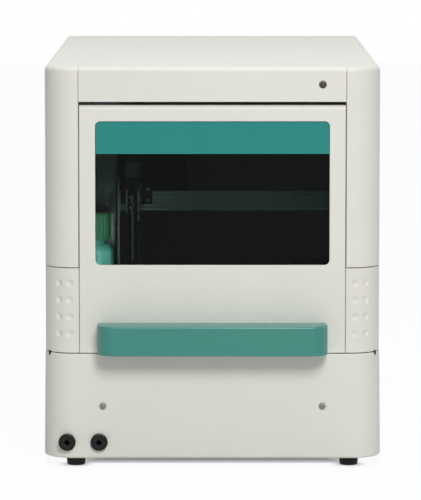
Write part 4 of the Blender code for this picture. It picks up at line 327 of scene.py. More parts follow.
class Finish:
    """A Principled material whose detail comes from patterns in the piece's own Object coordinates."""

    def __init__(self, name, colour, roughness, metallic=0.0, **sockets):
        """Sets the shader's plain values; the methods below lay patterns over them."""
        self.material = bpy.data.materials.new(name)
        self.material.use_nodes = True
        self.nodes = self.material.node_tree.nodes
        self.link = self.material.node_tree.links.new
        self.shader = self.nodes["Principled BSDF"]
        self.colour = tuple(colour)
        self.material.diffuse_color = (*colour, 1.0)
        values = {"Base Color": (*colour, 1.0), "Roughness": roughness, "Metallic": metallic, **sockets}
        for socket, value in values.items():
            self.shader.inputs[socket.replace("_", " ")].default_value = value
        self.place = self.nodes.new("ShaderNodeTexCoord").outputs["Object"]
        self.surface = None

    def node(self, kind, **sockets):
        """A new node, each socket named set to a number or linked to another node's output."""
        node = self.nodes.new("ShaderNode" + kind)
        for socket, value in sockets.items():
            target = node.inputs[socket.replace("_", " ")]
            if isinstance(value, bpy.types.NodeSocket):
                self.link(value, target)
            else:
                target.default_value = value
        return node

    def noise(self, scale, detail=3.0, stretch=None, rough=0.5):
        """Cloudy noise, about scale lumps to the metre, in coordinates that may be stretched."""
        place = self.place
        if stretch:
            place = self.node("Mapping", Scale=stretch, Vector=place).outputs["Vector"]
        noise = self.node("TexNoise", Scale=scale, Detail=detail, Roughness=rough, Vector=place)
        return noise.outputs["Fac"]

    def cells(self, scale, output):
        """Voronoi cells, scale of them to the metre."""
        return self.node("TexVoronoi", Scale=scale, Vector=self.place).outputs[output]

    def lines(self, scale, direction, distortion=0.0):
        """Straight bands across one axis."""
        wave = self.node("TexWave", Scale=scale, Distortion=distortion, Vector=self.place)
        wave.bands_direction = direction
        return wave.outputs["Fac"]

    def span(self, value, low, high, start=0.3, end=0.7):
        """The value's range from start to end, spread from low to high."""
        limits = {"From_Min": start, "From_Max": end, "To_Min": low, "To_Max": high}
        return self.node("MapRange", Value=value, **limits).outputs["Result"]

    def sum(self, first, second, operation="ADD"):
        """The sum of two values, or another operation of the Math node on them."""
        node = self.nodes.new("ShaderNodeMath")
        node.operation = operation
        for socket, value in zip(node.inputs, (first, second)):
            if isinstance(value, (int, float)):
                socket.default_value = value
            else:
                self.link(value, socket)
        return node.outputs["Value"]

    def tint(self, factor, other):
        """Mixes the base colour so far towards another by the factor."""
        mix = self.nodes.new("ShaderNodeMix")
        mix.data_type = "RGBA"
        base = self.shader.inputs["Base Color"]
        if base.is_linked:
            self.link(base.links[0].from_socket, mix.inputs[6])
        else:
            mix.inputs[6].default_value = base.default_value
        mix.inputs[7].default_value = (*other, 1.0)
        self.link(factor, mix.inputs[0])
        self.link(mix.outputs[2], base)
        return self

    def relief(self, value, depth, strength=0.5):
        """Raises the surface by the value, up to a depth in metres."""
        bump = self.node("Bump", Distance=depth, Strength=strength, Height=value)
        if self.surface is not None:
            self.link(self.surface, bump.inputs["Normal"])
        self.surface = bump.outputs["Normal"]
        self.link(self.surface, self.shader.inputs["Normal"])
        return self

    def edge_wear_and_highlight(self, other, amount, radius=0.0015):
        """Mixes another colour in along edges, found by a small bevel's change of the normal; on some
        finishes it is wear, on the handle a painted highlight.
        """
        dot = self.nodes.new("ShaderNodeVectorMath")
        dot.operation = "DOT_PRODUCT"
        self.link(self.node("Bevel", Radius=radius).outputs["Normal"], dot.inputs[0])
        self.link(self.node("NewGeometry").outputs["Normal"], dot.inputs[1])
        edge_share = self.span(dot.outputs["Value"], amount, 0.0, 0.8, 0.99)
        patchy = self.span(self.noise(420, 4.0), 0.2, 1.0)
        return self.tint(self.sum(edge_share, patchy, "MULTIPLY"), other)

    def speckle(self, scale, detail, share, other, stretch=None):
        """Tints the colour towards another by cloudy noise, up to a share."""
        return self.tint(self.span(self.noise(scale, detail, stretch), 0.0, share), other)

    def gloss(self, scale, detail, low, high, stretch=None):
        """Lets the roughness drift from low to high with cloudy noise."""
        value = self.span(self.noise(scale, detail, stretch), low, high)
        self.link(value, self.shader.inputs["Roughness"])
        return self

    def grain(self, scale, detail, depth, strength, stretch=None, rough=0.5):
        """Raises the surface by cloudy noise, up to a depth in metres."""
        return self.relief(self.noise(scale, detail, stretch, rough), depth, strength)

    def ridges(self, scale, direction, depth, strength, distortion=0.0):
        """Raises the surface in straight bands across one axis."""
        return self.relief(self.lines(scale, direction, distortion), depth, strength)

    def mottled(self, share, scale=9.0):
        """Slow drift of the colour, up to a share lighter and darker, as in a moulded or painted skin."""
        pale = tuple(min(1.0, part * (1 + share)) for part in self.colour)
        dark = tuple(part * (1 - share) for part in self.colour)
        self.tint(self.span(self.noise(scale, 2.0), 0.0, 0.9, 0.5, 0.75), pale)
        return self.tint(self.span(self.noise(scale * 3.1, 3.0), 0.9, 0.0, 0.25, 0.5), dark)


def dark_window():
    """Smoked green acrylic pane; its tint fades over the lower left corner, before the bottle."""
    finish = Finish("dark window", srgb(104, 124, 118), 0.02, Transmission_Weight=1.0, IOR=1.17)
    across, _, up = finish.node("SeparateXYZ", Vector=finish.place).outputs
    beside = finish.span(across, 1.0, 0.0, -0.0885, -0.0865)
    below = finish.span(up, 1.0, 0.0, 0.2285, 0.2315)
    finish.tint(finish.sum(beside, below, "MULTIPLY"), srgb(238, 250, 245))
    return finish.gloss(700, 5.0, 0.01, 0.05).grain(18, 1.0, 0.0001, 0.04)


def zinc_sheet():
    """Galvanised sheet: spangle of cells with their own brightness and gloss, and rolling lines."""
    finish = Finish("zinc sheet", (0.5, 0.51, 0.52), 0.4, 1.0)
    finish.tint(finish.span(finish.cells(140, "Color"), 0.0, 0.7, 0.2, 0.9), (0.38, 0.39, 0.41))
    finish.link(finish.span(finish.cells(140, "Color"), 0.3, 0.48), finish.shader.inputs["Roughness"])
    return finish.grain(60, 2.0, 0.00002, 0.3, (1, 30, 30))


def board_green():
    """Solder mask with copper tracks showing through as paler lines."""
    finish = Finish("board green", srgb(26, 84, 48), 0.35, Coat_Weight=0.4, Coat_Roughness=0.15)
    tracks = finish.sum(finish.lines(46, "X", 4.0), finish.lines(39, "Y", 5.0), "MAXIMUM")
    finish.tint(finish.span(tracks, 0.0, 0.9, 0.9, 0.94), srgb(58, 128, 76))
    return finish.relief(finish.span(tracks, 0.0, 1.0, 0.9, 0.94), 0.00004, 0.4)


def powder_coat():
    """Powder-coated sheet of the cover and the rear: orange peel over the steel."""
    finish = Finish("powder coat", srgb(230, 230, 224), 0.58, Specular_IOR_Level=0.05)
    finish.mottled(0.018, 6.0).gloss(240, 3.0, 0.52, 0.64)
    return finish.relief(finish.cells(900, "Distance"), 0.00006, 0.25).grain(1500, 2.0, 0.00003, 0.3)


FINISHES = {
    # Structural foam mouldings of the front: a fine spark-eroded grain with slightly uneven gloss, and a
    # paler tint mixed in along their edges
    "case_grey": Finish("moulded case", srgb(223, 222, 214), 0.46, Specular_IOR_Level=0.42)
    .mottled(0.022)
    .gloss(160, 3.0, 0.42, 0.54)
    .grain(2600, 2.0, 0.00005, 0.35, rough=0.6)
    .grain(55, 1.0, 0.0002, 0.1)
    .edge_wear_and_highlight(srgb(238, 237, 231), 0.35),
    # Satin moulded teal of the bar handle; the paler teal mixed in along its rounded edges is a painted
    # highlight
    "trim_teal": Finish("handle teal", srgb(44, 129, 117), 0.36, Coat_Weight=0.3, Coat_Roughness=0.16)
    .mottled(0.04)
    .gloss(300, 3.0, 0.3, 0.44)
    .grain(2400, 2.0, 0.00004, 0.3)
    .edge_wear_and_highlight(srgb(96, 164, 151), 0.4),
    "window_glass": dark_window(),
    # Black rubber of feet, stops and seals
    "rubber_black": Finish("black rubber", srgb(26, 26, 25), 0.72, Specular_IOR_Level=0.35)
    .speckle(240, 4.0, 0.5, srgb(52, 51, 49))
    .gloss(500, 3.0, 0.62, 0.85)
    .grain(1800, 3.0, 0.00008, 0.4),
    # Glass-filled black plastic of the drain nozzles
    "nozzle_black": Finish("black fitting", srgb(9, 10, 8), 0.42, Specular_IOR_Level=0.25)
    .speckle(350, 4.0, 0.5, srgb(17, 18, 15))
    .gloss(600, 3.0, 0.28, 0.5)
    .grain(2200, 2.0, 0.00003, 0.3),
    # Unlit lens of the status light
    "status_lens": Finish("smoked lens", srgb(74, 70, 66), 0.34, Specular_IOR_Level=0.3)
    .speckle(900, 2.0, 0.5, srgb(46, 44, 42)),
    "zinc_sheet": zinc_sheet(),
    # Stainless steel of needle, screws and the loop, with fine turning lines
    "bright_steel": Finish("turned steel", (0.6, 0.6, 0.59), 0.24, 1.0)
    .gloss(900, 3.0, 0.16, 0.34)
    .speckle(300, 3.0, 0.5, (0.45, 0.45, 0.45))
    .grain(1500, 2.0, 0.00001, 0.3, (1, 1, 8)),
    # Drawn and anodised profiles, with lines along their length
    "aluminium": Finish("anodised aluminium", (0.66, 0.67, 0.68), 0.34, 1.0)
    .gloss(120, 4.0, 0.26, 0.42, (0.2, 8, 8))
    .speckle(40, 3.0, 0.5, (0.52, 0.53, 0.55), (0.2, 6, 6))
    .grain(260, 2.0, 0.00001, 0.25, (0.1, 8, 8)),
    # Blackened motor bodies with a faint laminated edge
    "motor_black": Finish("motor black", srgb(42, 42, 43), 0.45, 0.35)
    .gloss(400, 3.0, 0.36, 0.55)
    .ridges(420, "X", 0.00004, 0.35)
    .edge_wear_and_highlight(srgb(120, 118, 114), 0.6, 0.0008),
    # Vacuum-formed white liner of the sample chamber
    "chamber_white": Finish("chamber white", srgb(204, 206, 203), 0.42)
    .mottled(0.03, 14.0)
    .gloss(220, 3.0, 0.34, 0.5)
    .grain(1300, 3.0, 0.00005, 0.35),
    # Anodised rack blocks, milled
    "rack_blue_grey": Finish("rack blue grey", srgb(96, 108, 118), 0.4, 0.55)
    .gloss(200, 3.0, 0.3, 0.5, (1, 6, 1))
    .ridges(900, "Y", 0.00001, 0.3, 1.0)
    .edge_wear_and_highlight(srgb(170, 176, 182), 0.6, 0.0008),
    # Green-blue translucent plastic of the wash bottle
    "bottle_teal": Finish(
        "bottle teal", srgb(112, 208, 196), 0.24,
        Subsurface_Weight=0.35, Subsurface_Scale=0.006, Coat_Weight=0.3, Coat_Roughness=0.15,
    )
    .speckle(60, 2.0, 0.4, srgb(92, 190, 178))
    .grain(140, 2.0, 0.0001, 0.2),
    # Dark green ribbed cap
    "cap_green": Finish("cap green", srgb(54, 146, 104), 0.38)
    .speckle(260, 3.0, 0.5, srgb(45, 122, 86))
    .gloss(500, 3.0, 0.3, 0.48)
    .grain(1700, 2.0, 0.00004, 0.3),
    # Fluoropolymer tubing, milky and bright at its edges
    "clear_tube": Finish("clear tube", srgb(214, 222, 220), 0.16, Transmission_Weight=0.55, IOR=1.36)
    .gloss(300, 2.0, 0.1, 0.25)
    .grain(200, 2.0, 0.00005, 0.2),
    # Borosilicate glass of the syringe and the vials
    "syringe_glass": Finish("clear glass", srgb(236, 243, 240), 0.03, Transmission_Weight=1.0, IOR=1.47)
    .gloss(160, 2.0, 0.01, 0.05)
    .grain(60, 1.0, 0.00005, 0.1),
    # Machined white acetal and fluoropolymer parts
    "resin_white": Finish("white resin", srgb(214, 214, 208), 0.38, Subsurface_Weight=0.1)
    .mottled(0.03, 40.0)
    .gloss(500, 3.0, 0.3, 0.48)
    .ridges(700, "Z", 0.00001, 0.25, 0.6),
    "board_green": board_green(),
    # Moulded black thermoplastic of the sockets and the fan
    "connector_black": Finish("black connector", srgb(33, 33, 34), 0.42)
    .speckle(300, 4.0, 0.5, srgb(50, 50, 51))
    .gloss(500, 3.0, 0.34, 0.55)
    .grain(2300, 2.0, 0.00003, 0.35),
    "paint": powder_coat(),
    # Printed film along the top of the window, under a clear coat
    "band": Finish(
        "band teal", srgb(30, 133, 126), 0.34,
        Specular_IOR_Level=0.25, Coat_Weight=0.12, Coat_Roughness=0.08,
    )
    .mottled(0.03, 14.0)
    .grain(900, 2.0, 0.00001, 0.2),
    # Watery samples in the vials, with a trace of colour
    "sample": Finish("sample liquid", srgb(226, 240, 234), 0.0, Transmission_Weight=1.0, IOR=1.33)
    .speckle(30, 1.0, 0.6, srgb(214, 232, 214)),
    # Stacked motor sheets, edge on: dark grey metal with fine uneven bands
    "laminated": Finish("laminated steel", (0.22, 0.22, 0.23), 0.42, 0.9)
    .speckle(500, 3.0, 0.7, (0.33, 0.33, 0.34), (4, 0.5, 0.5))
    .gloss(800, 3.0, 0.34, 0.55),
    # Dull, darker steel of the small screws in the skirt
    "burnished": Finish("burnished steel", (0.24, 0.24, 0.23), 0.42, 1.0)
    .gloss(700, 3.0, 0.36, 0.5)
    .speckle(420, 3.0, 0.5, (0.17, 0.17, 0.165)),
    # Moulded polypropylene screw caps
    "vial_cap": Finish("vial cap blue", srgb(74, 112, 150), 0.4)
    .mottled(0.05, 60.0)
    .gloss(700, 3.0, 0.34, 0.5)
    .grain(2600, 2.0, 0.00003, 0.3),
    # Matt silicone septa, a little dusty
    "septum": Finish("septum white", srgb(214, 206, 196), 0.62, Subsurface_Weight=0.1)
    .speckle(900, 3.0, 0.5, srgb(196, 186, 176))
    .grain(2200, 2.0, 0.00004, 0.35),
}
LOOKS = {name: finish.material for name, finish in FINISHES.items()}


def dress_frame():
    """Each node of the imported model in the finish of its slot, or in its own finer one."""
    slots = {part["node"]: part["material_slot"] for part in frame["record"]["subparts"]}
    own = {"case_cover": "paint", "rear_panel": "paint", "window_band": "band"}
    own.update({"hinge_pin_" + name: "motor_black" for name, _ in SIDES})
    for name, node in NODES.items():
        node.data.materials.clear()
        node.data.materials.append(LOOKS[own.get(name, slots[name])])


dress_frame()

# Outer shell


def spread(*parts):
    """Several runs of numbers joined end to end."""
    return np.concatenate([np.atleast_1d(np.asarray(part, float)) for part in parts])


def corner_path(inner, back):
    """Plan of the right front corner and its inward directions: flat front, quarter circle, side."""
    centre = (HALF - CORNER, FRONT + CORNER)
    turn = bend(centre, CORNER, -90, 0, 28)
    straight = np.array([(inner, FRONT), (inner + HOLD, FRONT), (centre[0] - HOLD, FRONT)])
    side = np.array([(HALF, centre[1] + HOLD), (HALF, back)])
    path = np.concatenate([straight, turn, side])
    toward = (np.array(centre) - turn) / CORNER
    inward = np.concatenate([np.tile((0.0, 1.0), (3, 1)), toward, np.tile((-1.0, 0.0), (2, 1))])
    return path, inward


def wall_section(wall, low, high, top_round, edge):
    """Closed section of an upright wall as (depth, height): a rounded top and eased edges."""
    points = eased_start(low, edge, 3) + [(0.0, low + edge + HOLD), (0.0, high - top_round - HOLD)]
    points += eased_end(high, top_round, 10)
    points += [(top_round + HOLD, high), (wall - edge, high), (wall, high - edge)]
    points += [(wall, low + edge), (wall - edge, low), (edge + HOLD, low)]
    return np.array(points)


def eased_ends(path, inward, edge):
    """Extra points and insets that ease a wall's ends: the outer face draws in by a quarter circle."""
    steps = inset_steps(edge, 4)
    insets = [inset for inset, _ in steps]
    first, last = (run / np.linalg.norm(run) for run in (path[1] - path[0], path[-2] - path[-1]))
    start = [path[0] + first * (edge - rise) for _, rise in steps[::-1]]
    end = [path[-1] + last * (edge - rise) for _, rise in steps]
    count = len(steps)
    insets = np.concatenate([insets[::-1], np.zeros(len(path) - 2), insets])
    inward = np.concatenate([[inward[0]] * count, inward[1:-1], [inward[-1]] * count])
    return np.concatenate([start, path[1:-1], end]), inward, insets


def eased_wall(path, inward, section, wall, edge):
    """A wall carried along its path with eased ends: depth becomes d + inset (1 - d / wall)."""
    path, inward, insets = eased_ends(np.asarray(path, float), np.asarray(inward, float), edge)
    depth = section[None, :, 0] + insets[:, None] * (1 - section[None, :, 0] / wall)
    flat = path[:, None] + inward[:, None] * depth[..., None]
    height = np.broadcast_to(section[None, :, 1:], flat.shape[:2] + (1,))
    return skin(np.concatenate([flat, height], axis=-1))


def cover_front(across):
    """Where the cover's front edge lies: behind the flat front, round the corner's arc, along the side."""
    centre = HALF - CORNER
    radius = CORNER - FRONT_WALL - GAP
    past = np.clip(np.abs(across) - centre, 0.0, radius)
    curved = FRONT + CORNER - np.sqrt(radius**2 - past**2)
    return np.where(np.abs(across) > centre + radius, FRONT + RETURN + GAP, curved)


def case_cover():
    """Top and sides in one bent sheet: an upturned U carried back from the mouldings to the rear lip."""
    arc_x = HALF - CORNER + (CORNER - FRONT_WALL - GAP) * np.sin(np.radians(np.linspace(0, 90, 20)))
    flat_x = spread(arc_x, HALF - TOP_ROUND - 2 * HOLD, HALF - TOP_ROUND - HOLD)
    top = np.stack([flat_x, np.full(len(flat_x), TOP)], axis=1)
    centre = np.array((HALF - TOP_ROUND, TOP - TOP_ROUND))
    edge_round = bend(centre, TOP_ROUND, 90, 0, 12)
    side = [(HALF, TOP - TOP_ROUND - HOLD), (HALF, (TOP + BASE) / 2), (HALF, BASE)]
    path = np.concatenate([top, edge_round, side])
    toward = (centre - edge_round) / TOP_ROUND
    inward = np.concatenate([np.tile((0.0, -1.0), (len(top), 1)), toward, np.tile((-1.0, 0.0), (3, 1))])
    path, inward = (np.concatenate([half[::-1] * (-1, 1), half]) for half in (path, inward))
    edge = 0.0004
    ease = inset_steps(edge, 3)
    loop = np.array(
        [(0.0, 0.0, edge + HOLD), (0.0, 1.0, edge + HOLD)]
        + [(inset, 1.0, edge - rise) for inset, rise in ease]
        + [(COVER_WALL - edge, 1.0, 0.0), (COVER_WALL, 1.0, edge)]
        + [(COVER_WALL, 0.0, edge), (COVER_WALL - edge, 0.0, 0.0)]
        + [(inset, 0.0, edge - rise) for inset, rise in ease[::-1]]
    )
    start = cover_front(path[:, 0])[:, None]
    along = np.where(loop[None, :, 1] > 0.5, REAR - loop[None, :, 2], start + loop[None, :, 2])
    flat = path[:, None] + inward[:, None] * loop[None, :, :1]
    grid = np.stack([flat[..., 0], along, flat[..., 1]], axis=-1)
    piece("cover_sheet", [skin(grid)], "case_grey", ["case_cover"], look="paint")


def front_columns():
    """Moulded corners beside the door, each with the lug that holds its hinge pin."""
    section = wall_section(FRONT_WALL, COLUMN_BOTTOM, TOP, TOP_ROUND, 0.0004)
    path, inward = corner_path(COLUMN_EDGE, FRONT + RETURN)
    wall = eased_wall(path, inward, section, FRONT_WALL, 0.0005)
    lug = rounded_box(
        (COLUMN_EDGE, FRONT + FRONT_WALL / 2, HINGE_Z - 0.008),
        (COLUMN_EDGE + 0.0075, HINGE_Y + 0.008, HINGE_Z + 0.008), 0.0012,
    )
    for name, side in SIDES:
        shapes = [sided(wall, side), sided(lug, side)]
        piece("column_moulding_" + name, shapes, "case_grey", [name + "_column"])


def pierce(obj, shapes):
    """Cuts closed shapes out of a piece, and keeps the result as its mesh."""
    cutter = piece("cutter", shapes, "case_grey")
    boolean = obj.modifiers.new("cut", "BOOLEAN")
    boolean.operation = "DIFFERENCE"
    boolean.solver = "EXACT"
    boolean.object = cutter
    bpy.context.view_layer.update()
    result = obj.evaluated_get(bpy.context.evaluated_depsgraph_get())
    mesh = bpy.data.meshes.new_from_object(result)
    obj.modifiers.clear()
    obj.data = mesh
    mesh.set_sharp_from_angle(angle=math.radians(32))
    bpy.data.objects.remove(cutter, do_unlink=True)


SEAM = 0.00004
LIGHT_PLACE = (0.0981, FRONT, 0.3443)


def header_bar():
    """Bar above the door, rounded along its top, with the seat of the status light."""
    half = COLUMN_EDGE - SEAM
    path = np.array([(-half, FRONT), (HOLD - half, FRONT), (half - HOLD, FRONT), (half, FRONT)])
    inward = np.tile((0.0, 1.0), (4, 1))
    section = wall_section(FRONT_WALL, HEADER_BOTTOM, TOP, TOP_ROUND, 0.0005)
    bar = eased_wall(path, inward, section, FRONT_WALL, 0.0002)
    header = piece("header_bar", [bar], "case_grey", ["header_panel"])
    seat = mm([(0, -3), (4, -3), (4, 0), (3.5, 0.5), (3.3, 0.5), (3.3, 10), (0, 10)])
    pierce(header, [solid_lathe(seat, LIGHT_PLACE, "y")])


def status_lamp():
    """Domed lens in a thin collar: the dome is a flat quarter ellipse turned about Y."""
    angles = np.radians(np.linspace(89.5, 0, 9))
    dome = [(0.0027 * math.cos(a), -0.0004 * math.sin(a) - 0.0001) for a in angles]
    collar = mm([(2.72, -0.1), (3, 0), (3, 5.5), (2.72, 5.5)])
    shapes = [
        solid_lathe(dome + mm([(2.7, 5.8), (0, 5.8)]), LIGHT_PLACE, "y"), lathe(collar, LIGHT_PLACE, "y"),
    ]
    piece("status_lens", shapes, "status_lens", ["status_light"])


case_cover()
front_columns()
header_bar()
status_lamp()

# Door


WINDOW_HALF = 0.1044
WINDOW_LOW = 0.1831
WINDOW_HIGH = 0.3116
WINDOW_CORNER = 0.0045
WINDOW_RECESS = 0.0028
REBATE = 0.0038
DOOR_EASE = 0.0005
DOOR_TOP_ROUND = 0.004
DOOR_CORNER = 0.0008


def sided_ring(left, bottom, right, top, radius, reach, extra=14):
    """A rounded rectangle with further points along the upper reach of both its sides."""
    heights = np.linspace(top - reach, top - radius, extra, endpoint=False)
    right_side = np.stack([np.full(extra, right), heights], axis=1)
    left_side = np.stack([np.full(extra, left), heights[::-1]], axis=1)
    a, b, c, d = np.split(outline(left, bottom, right, top, radius, 6), 4)
    return np.concatenate([a, right_side, b, c, left_side, d])


def window_ring(grown):
    """The window opening's outline, grown outwards by so much, with its corners grown by half of it."""
    left, right = -WINDOW_HALF - grown, WINDOW_HALF + grown
    radius = WINDOW_CORNER + grown * 0.5
    return sided_ring(left, WINDOW_LOW - grown, right, WINDOW_HIGH + grown, radius, 0.02)


def door_ring(inset, depth):
    """A ring of the door's face, which falls back near the top by R - sqrt(R^2 - (z - top + R)^2)."""
    left, right = inset - DOOR_HALF, DOOR_HALF - inset
    reach = DOOR_TOP_ROUND + 0.0015 - inset
    points = sided_ring(left, DOOR_BOTTOM + inset, right, DOOR_TOP - inset, DOOR_CORNER, reach)
    past = np.clip(points[:, 1] - DOOR_TOP + DOOR_TOP_ROUND, 0, DOOR_TOP_ROUND)
    fall = DOOR_TOP_ROUND - np.sqrt(DOOR_TOP_ROUND**2 - past**2)
    return np.stack([points[:, 0], FRONT + depth + fall, points[:, 1]], axis=1)


def door_front():
    """Plate with a window: rings run from the back round the outer edge, over the face, into the opening."""
    outline_points = door_ring(0.0, 0.0)[:, (0, 2)]
    rings = [stand(outline_points, FRONT + DOOR_WALL, "y")]
    for inset, rise in inset_steps(DOOR_EASE, 4):
        rings.append(door_ring(inset, DOOR_EASE - rise))
    for inset in spread(DOOR_EASE + HOLD, np.linspace(0.001, DOOR_TOP_ROUND, 10), DOOR_TOP_ROUND + 0.0006):
        rings.append(door_ring(inset, 0.0))
    lip = 0.0007
    rings.append(stand(window_ring(lip + HOLD), FRONT, "y"))
    for inset, rise in inset_steps(lip, 5)[::-1]:
        rings.append(stand(window_ring(inset), FRONT + lip - rise, "y"))
    rings.append(stand(window_ring(0.0), FRONT + WINDOW_RECESS - GAP, "y"))
    rings.append(stand(window_ring(REBATE), FRONT + WINDOW_RECESS - GAP, "y"))
    rings.append(stand(window_ring(REBATE), FRONT + DOOR_WALL, "y"))
    return skin(rings, close_rows=True)


def door_parts():
    """The door's front with its side flanges and hinge bosses, and ribs along its inside."""
    shapes = [door_front()]
    for _, side in SIDES:
        flange = rounded_box(
            (DOOR_HALF - 0.003, FRONT + DOOR_WALL / 2, DOOR_BOTTOM + HOLD),
            (DOOR_HALF - HOLD / 2, FRONT + 0.012, HINGE_Z), 0.0006, 3,
        )
        boss_profile = mm([(2.3, 0), (5.6, 0), (6, 0.4), (6, 9.6), (5.6, 10), (2.3, 10)])
        boss = lathe(boss_profile, (DOOR_HALF - 0.01, HINGE_Y, HINGE_Z), "x", 40)
        shapes += [sided(flange, side), sided(boss, side)]
    piece("door_moulding", shapes, "case_grey", ["door_panel"], body="door")


def window_pane():
    """Thin pane with eased edges behind the opening."""
    pane = FRONT + WINDOW_RECESS
    rows = eased_start(pane, 0.0003, 3) + eased_end(pane + 0.002, 0.0003, 3)
    rings = [stand(window_ring(0.0034 - inset), along, "y") for inset, along in rows]
    piece("window_pane", [skin(rings)], "window_glass", ["door_window"], body="door")


def teal_band():
    """Strip along the top of the window, with its upper corners rounded to the opening."""
    back = FRONT + WINDOW_RECESS - GAP
    left = GAP - WINDOW_HALF
    bottom = WINDOW_HIGH - 0.0291
    top = WINDOW_HIGH - GAP
    rings = []
    for inset, along in ((0.0, back), (0.0, back - 0.0008), (0.0002, back - 0.001)):
        radii = (0.0004, WINDOW_CORNER - GAP, WINDOW_CORNER - GAP, 0.0004)
        ring = outline(left + inset, bottom + inset, -left - inset, top - inset, radii)
        rings.append(stand(ring, along, "y"))
    piece("teal_band", [skin(rings)], "trim_teal", ["window_band"], body="door", look="band")


def bar_handle():
    """Hood open below: rings climb the hollow's wall, turn round the rim, and rise to the rounded top."""
    low = DOOR_BOTTOM + 0.0005
    high = low + 0.0266
    half = 0.1026
    face = FRONT - 0.028
    wall = 0.004

    def ring(inset, height, inside=False):
        """The hood's outline drawn in by the inset, or the hollow's outline grown by it."""
        if inside:
            points = outline(
                wall - half - inset, face + wall - inset, half - wall + inset, FRONT - wall + inset,
                (0.011, 0.0015, 0.0015, 0.011), 12,
            )
        else:
            points = outline(
                inset - half, face + inset, half - inset, FRONT - GAP,
                (0.015 - inset, 0.0003, 0.0003, 0.015 - inset), 12,
            )
        return stand(points, height, "z")

    rim = 0.0008
    rings = [ring(-HOLD, high - wall, True), ring(0.0, high - wall - HOLD, True)]
    rings += [ring(*row, True) for row in eased_start(low, rim, 4)[::-1]]
    rings += [ring(*row) for row in eased_start(low, rim, 4)]
    edge = 0.0019
    rings += [ring(0.0, low + rim + HOLD), ring(0.0, high - edge - HOLD)]
    rings += [ring(*row) for row in eased_end(high, edge, 9) + [(edge + HOLD, high)]]
    piece("bar_handle", [skin(rings)], "trim_teal", ["door_handle"], body="door")


def grip_corner():
    """Wrap-round corner with finger dimples: each dips by s (1 - (d / r)^2)^1.5 inside its radius r."""
    inner = DOOR_HALF + GAP
    back = FRONT + RETURN
    path, _ = corner_path(inner, back)
    lengths = np.concatenate([[0.0], np.cumsum(np.linalg.norm(np.diff(path, axis=0), axis=1))])
    fine = np.linspace(0, lengths[-1], 130)
    dense = np.stack([np.interp(fine, lengths, path[:, i]) for i in (0, 1)], axis=1)
    centre = np.array((HALF - CORNER, FRONT + CORNER))
    turn = (dense[:, 0] > centre[0]) & (dense[:, 1] < centre[1])
    offset = dense - centre
    reach = np.linalg.norm(offset, axis=1, keepdims=True)
    on_arc = centre + offset / reach * CORNER
    dense = np.where(turn[:, None], on_arc, dense)
    normals = np.where(turn[:, None], -offset / reach, 0.0)
    normals = np.where((dense[:, :1] <= centre[0]), (0.0, 1.0), normals)
    normals = np.where((dense[:, 1:] >= centre[1]), (-1.0, 0.0), normals)
    dense, normals, insets = eased_ends(dense, normals, 0.0005)
    run = np.concatenate([[0.0], np.cumsum(np.linalg.norm(np.diff(dense, axis=0), axis=1))])
    ease = 0.0006
    heights = spread(
        [level for _, level in eased_start(DOOR_BOTTOM, ease, 4)],
        np.linspace(DOOR_BOTTOM + ease + HOLD, GRIP_TOP - ease - HOLD, 170),
        [level for _, level in eased_end(GRIP_TOP, ease, 4)],
    )
    depths = spread(
        [inset for inset, _ in inset_steps(ease, 4)[::-1]], np.zeros(170),
        [inset for inset, _ in inset_steps(ease, 4)],
    )
    dip = np.zeros((len(dense), len(heights)))
    for inset in (0.0126, 0.0223):
        past = HALF - inset - centre[0]
        middle = (centre[0] - inner) + CORNER * math.asin(past / CORNER)
        for row in range(4):
            level = GRIP_TOP - 0.0134 - row * 0.0151
            away = ((run[:, None] - middle) ** 2 + (heights[None] - level) ** 2) / 0.0037**2
            dip += 0.00165 * np.clip(1 - away, 0, 1) ** 1.5
    outer = depths[None] + insets[:, None] + dip
    wall = np.full((len(dense), 2), DOOR_WALL)
    depth = np.concatenate([outer, wall], axis=1)
    rise = np.concatenate([heights, [GRIP_TOP, DOOR_BOTTOM]])
    flat = dense[:, None] + normals[:, None] * depth[..., None]
    height = np.broadcast_to(rise[None, :, None], flat.shape[:2] + (1,))
    return skin(np.concatenate([flat, height], axis=-1))


def door_grips():
    """Both grip corners, each with its flange along the door's edge."""
    corner = grip_corner()
    flange = rounded_box(
        (DOOR_HALF + GAP, FRONT + DOOR_WALL / 2, DOOR_BOTTOM + HOLD),
        (DOOR_HALF + GAP + 0.003, FRONT + 0.012, GRIP_TOP - HOLD), 0.0006, 3,
    )
    for name, side in SIDES:
        shapes = [sided(corner, side), sided(flange, side)]
        piece("grip_moulding_" + name, shapes, "case_grey", ["door_grip_" + name], body="door")


door_parts()
window_pane()
teal_band()
bar_handle()
door_grips()

# Skirt below the door, and what sits in it

LOWER_TOP = 0.1033
LOWER_WALL = 0.003
FOOT_EASE = 0.0024
SCREW_X = 0.0983
SCREW_Z = 0.0555
NOZZLES = (("left", -0.1303), ("right", -0.1016))
NOZZLE_Z = 0.0235
BUMPER_PLACE = (0.14463, -0.24501)


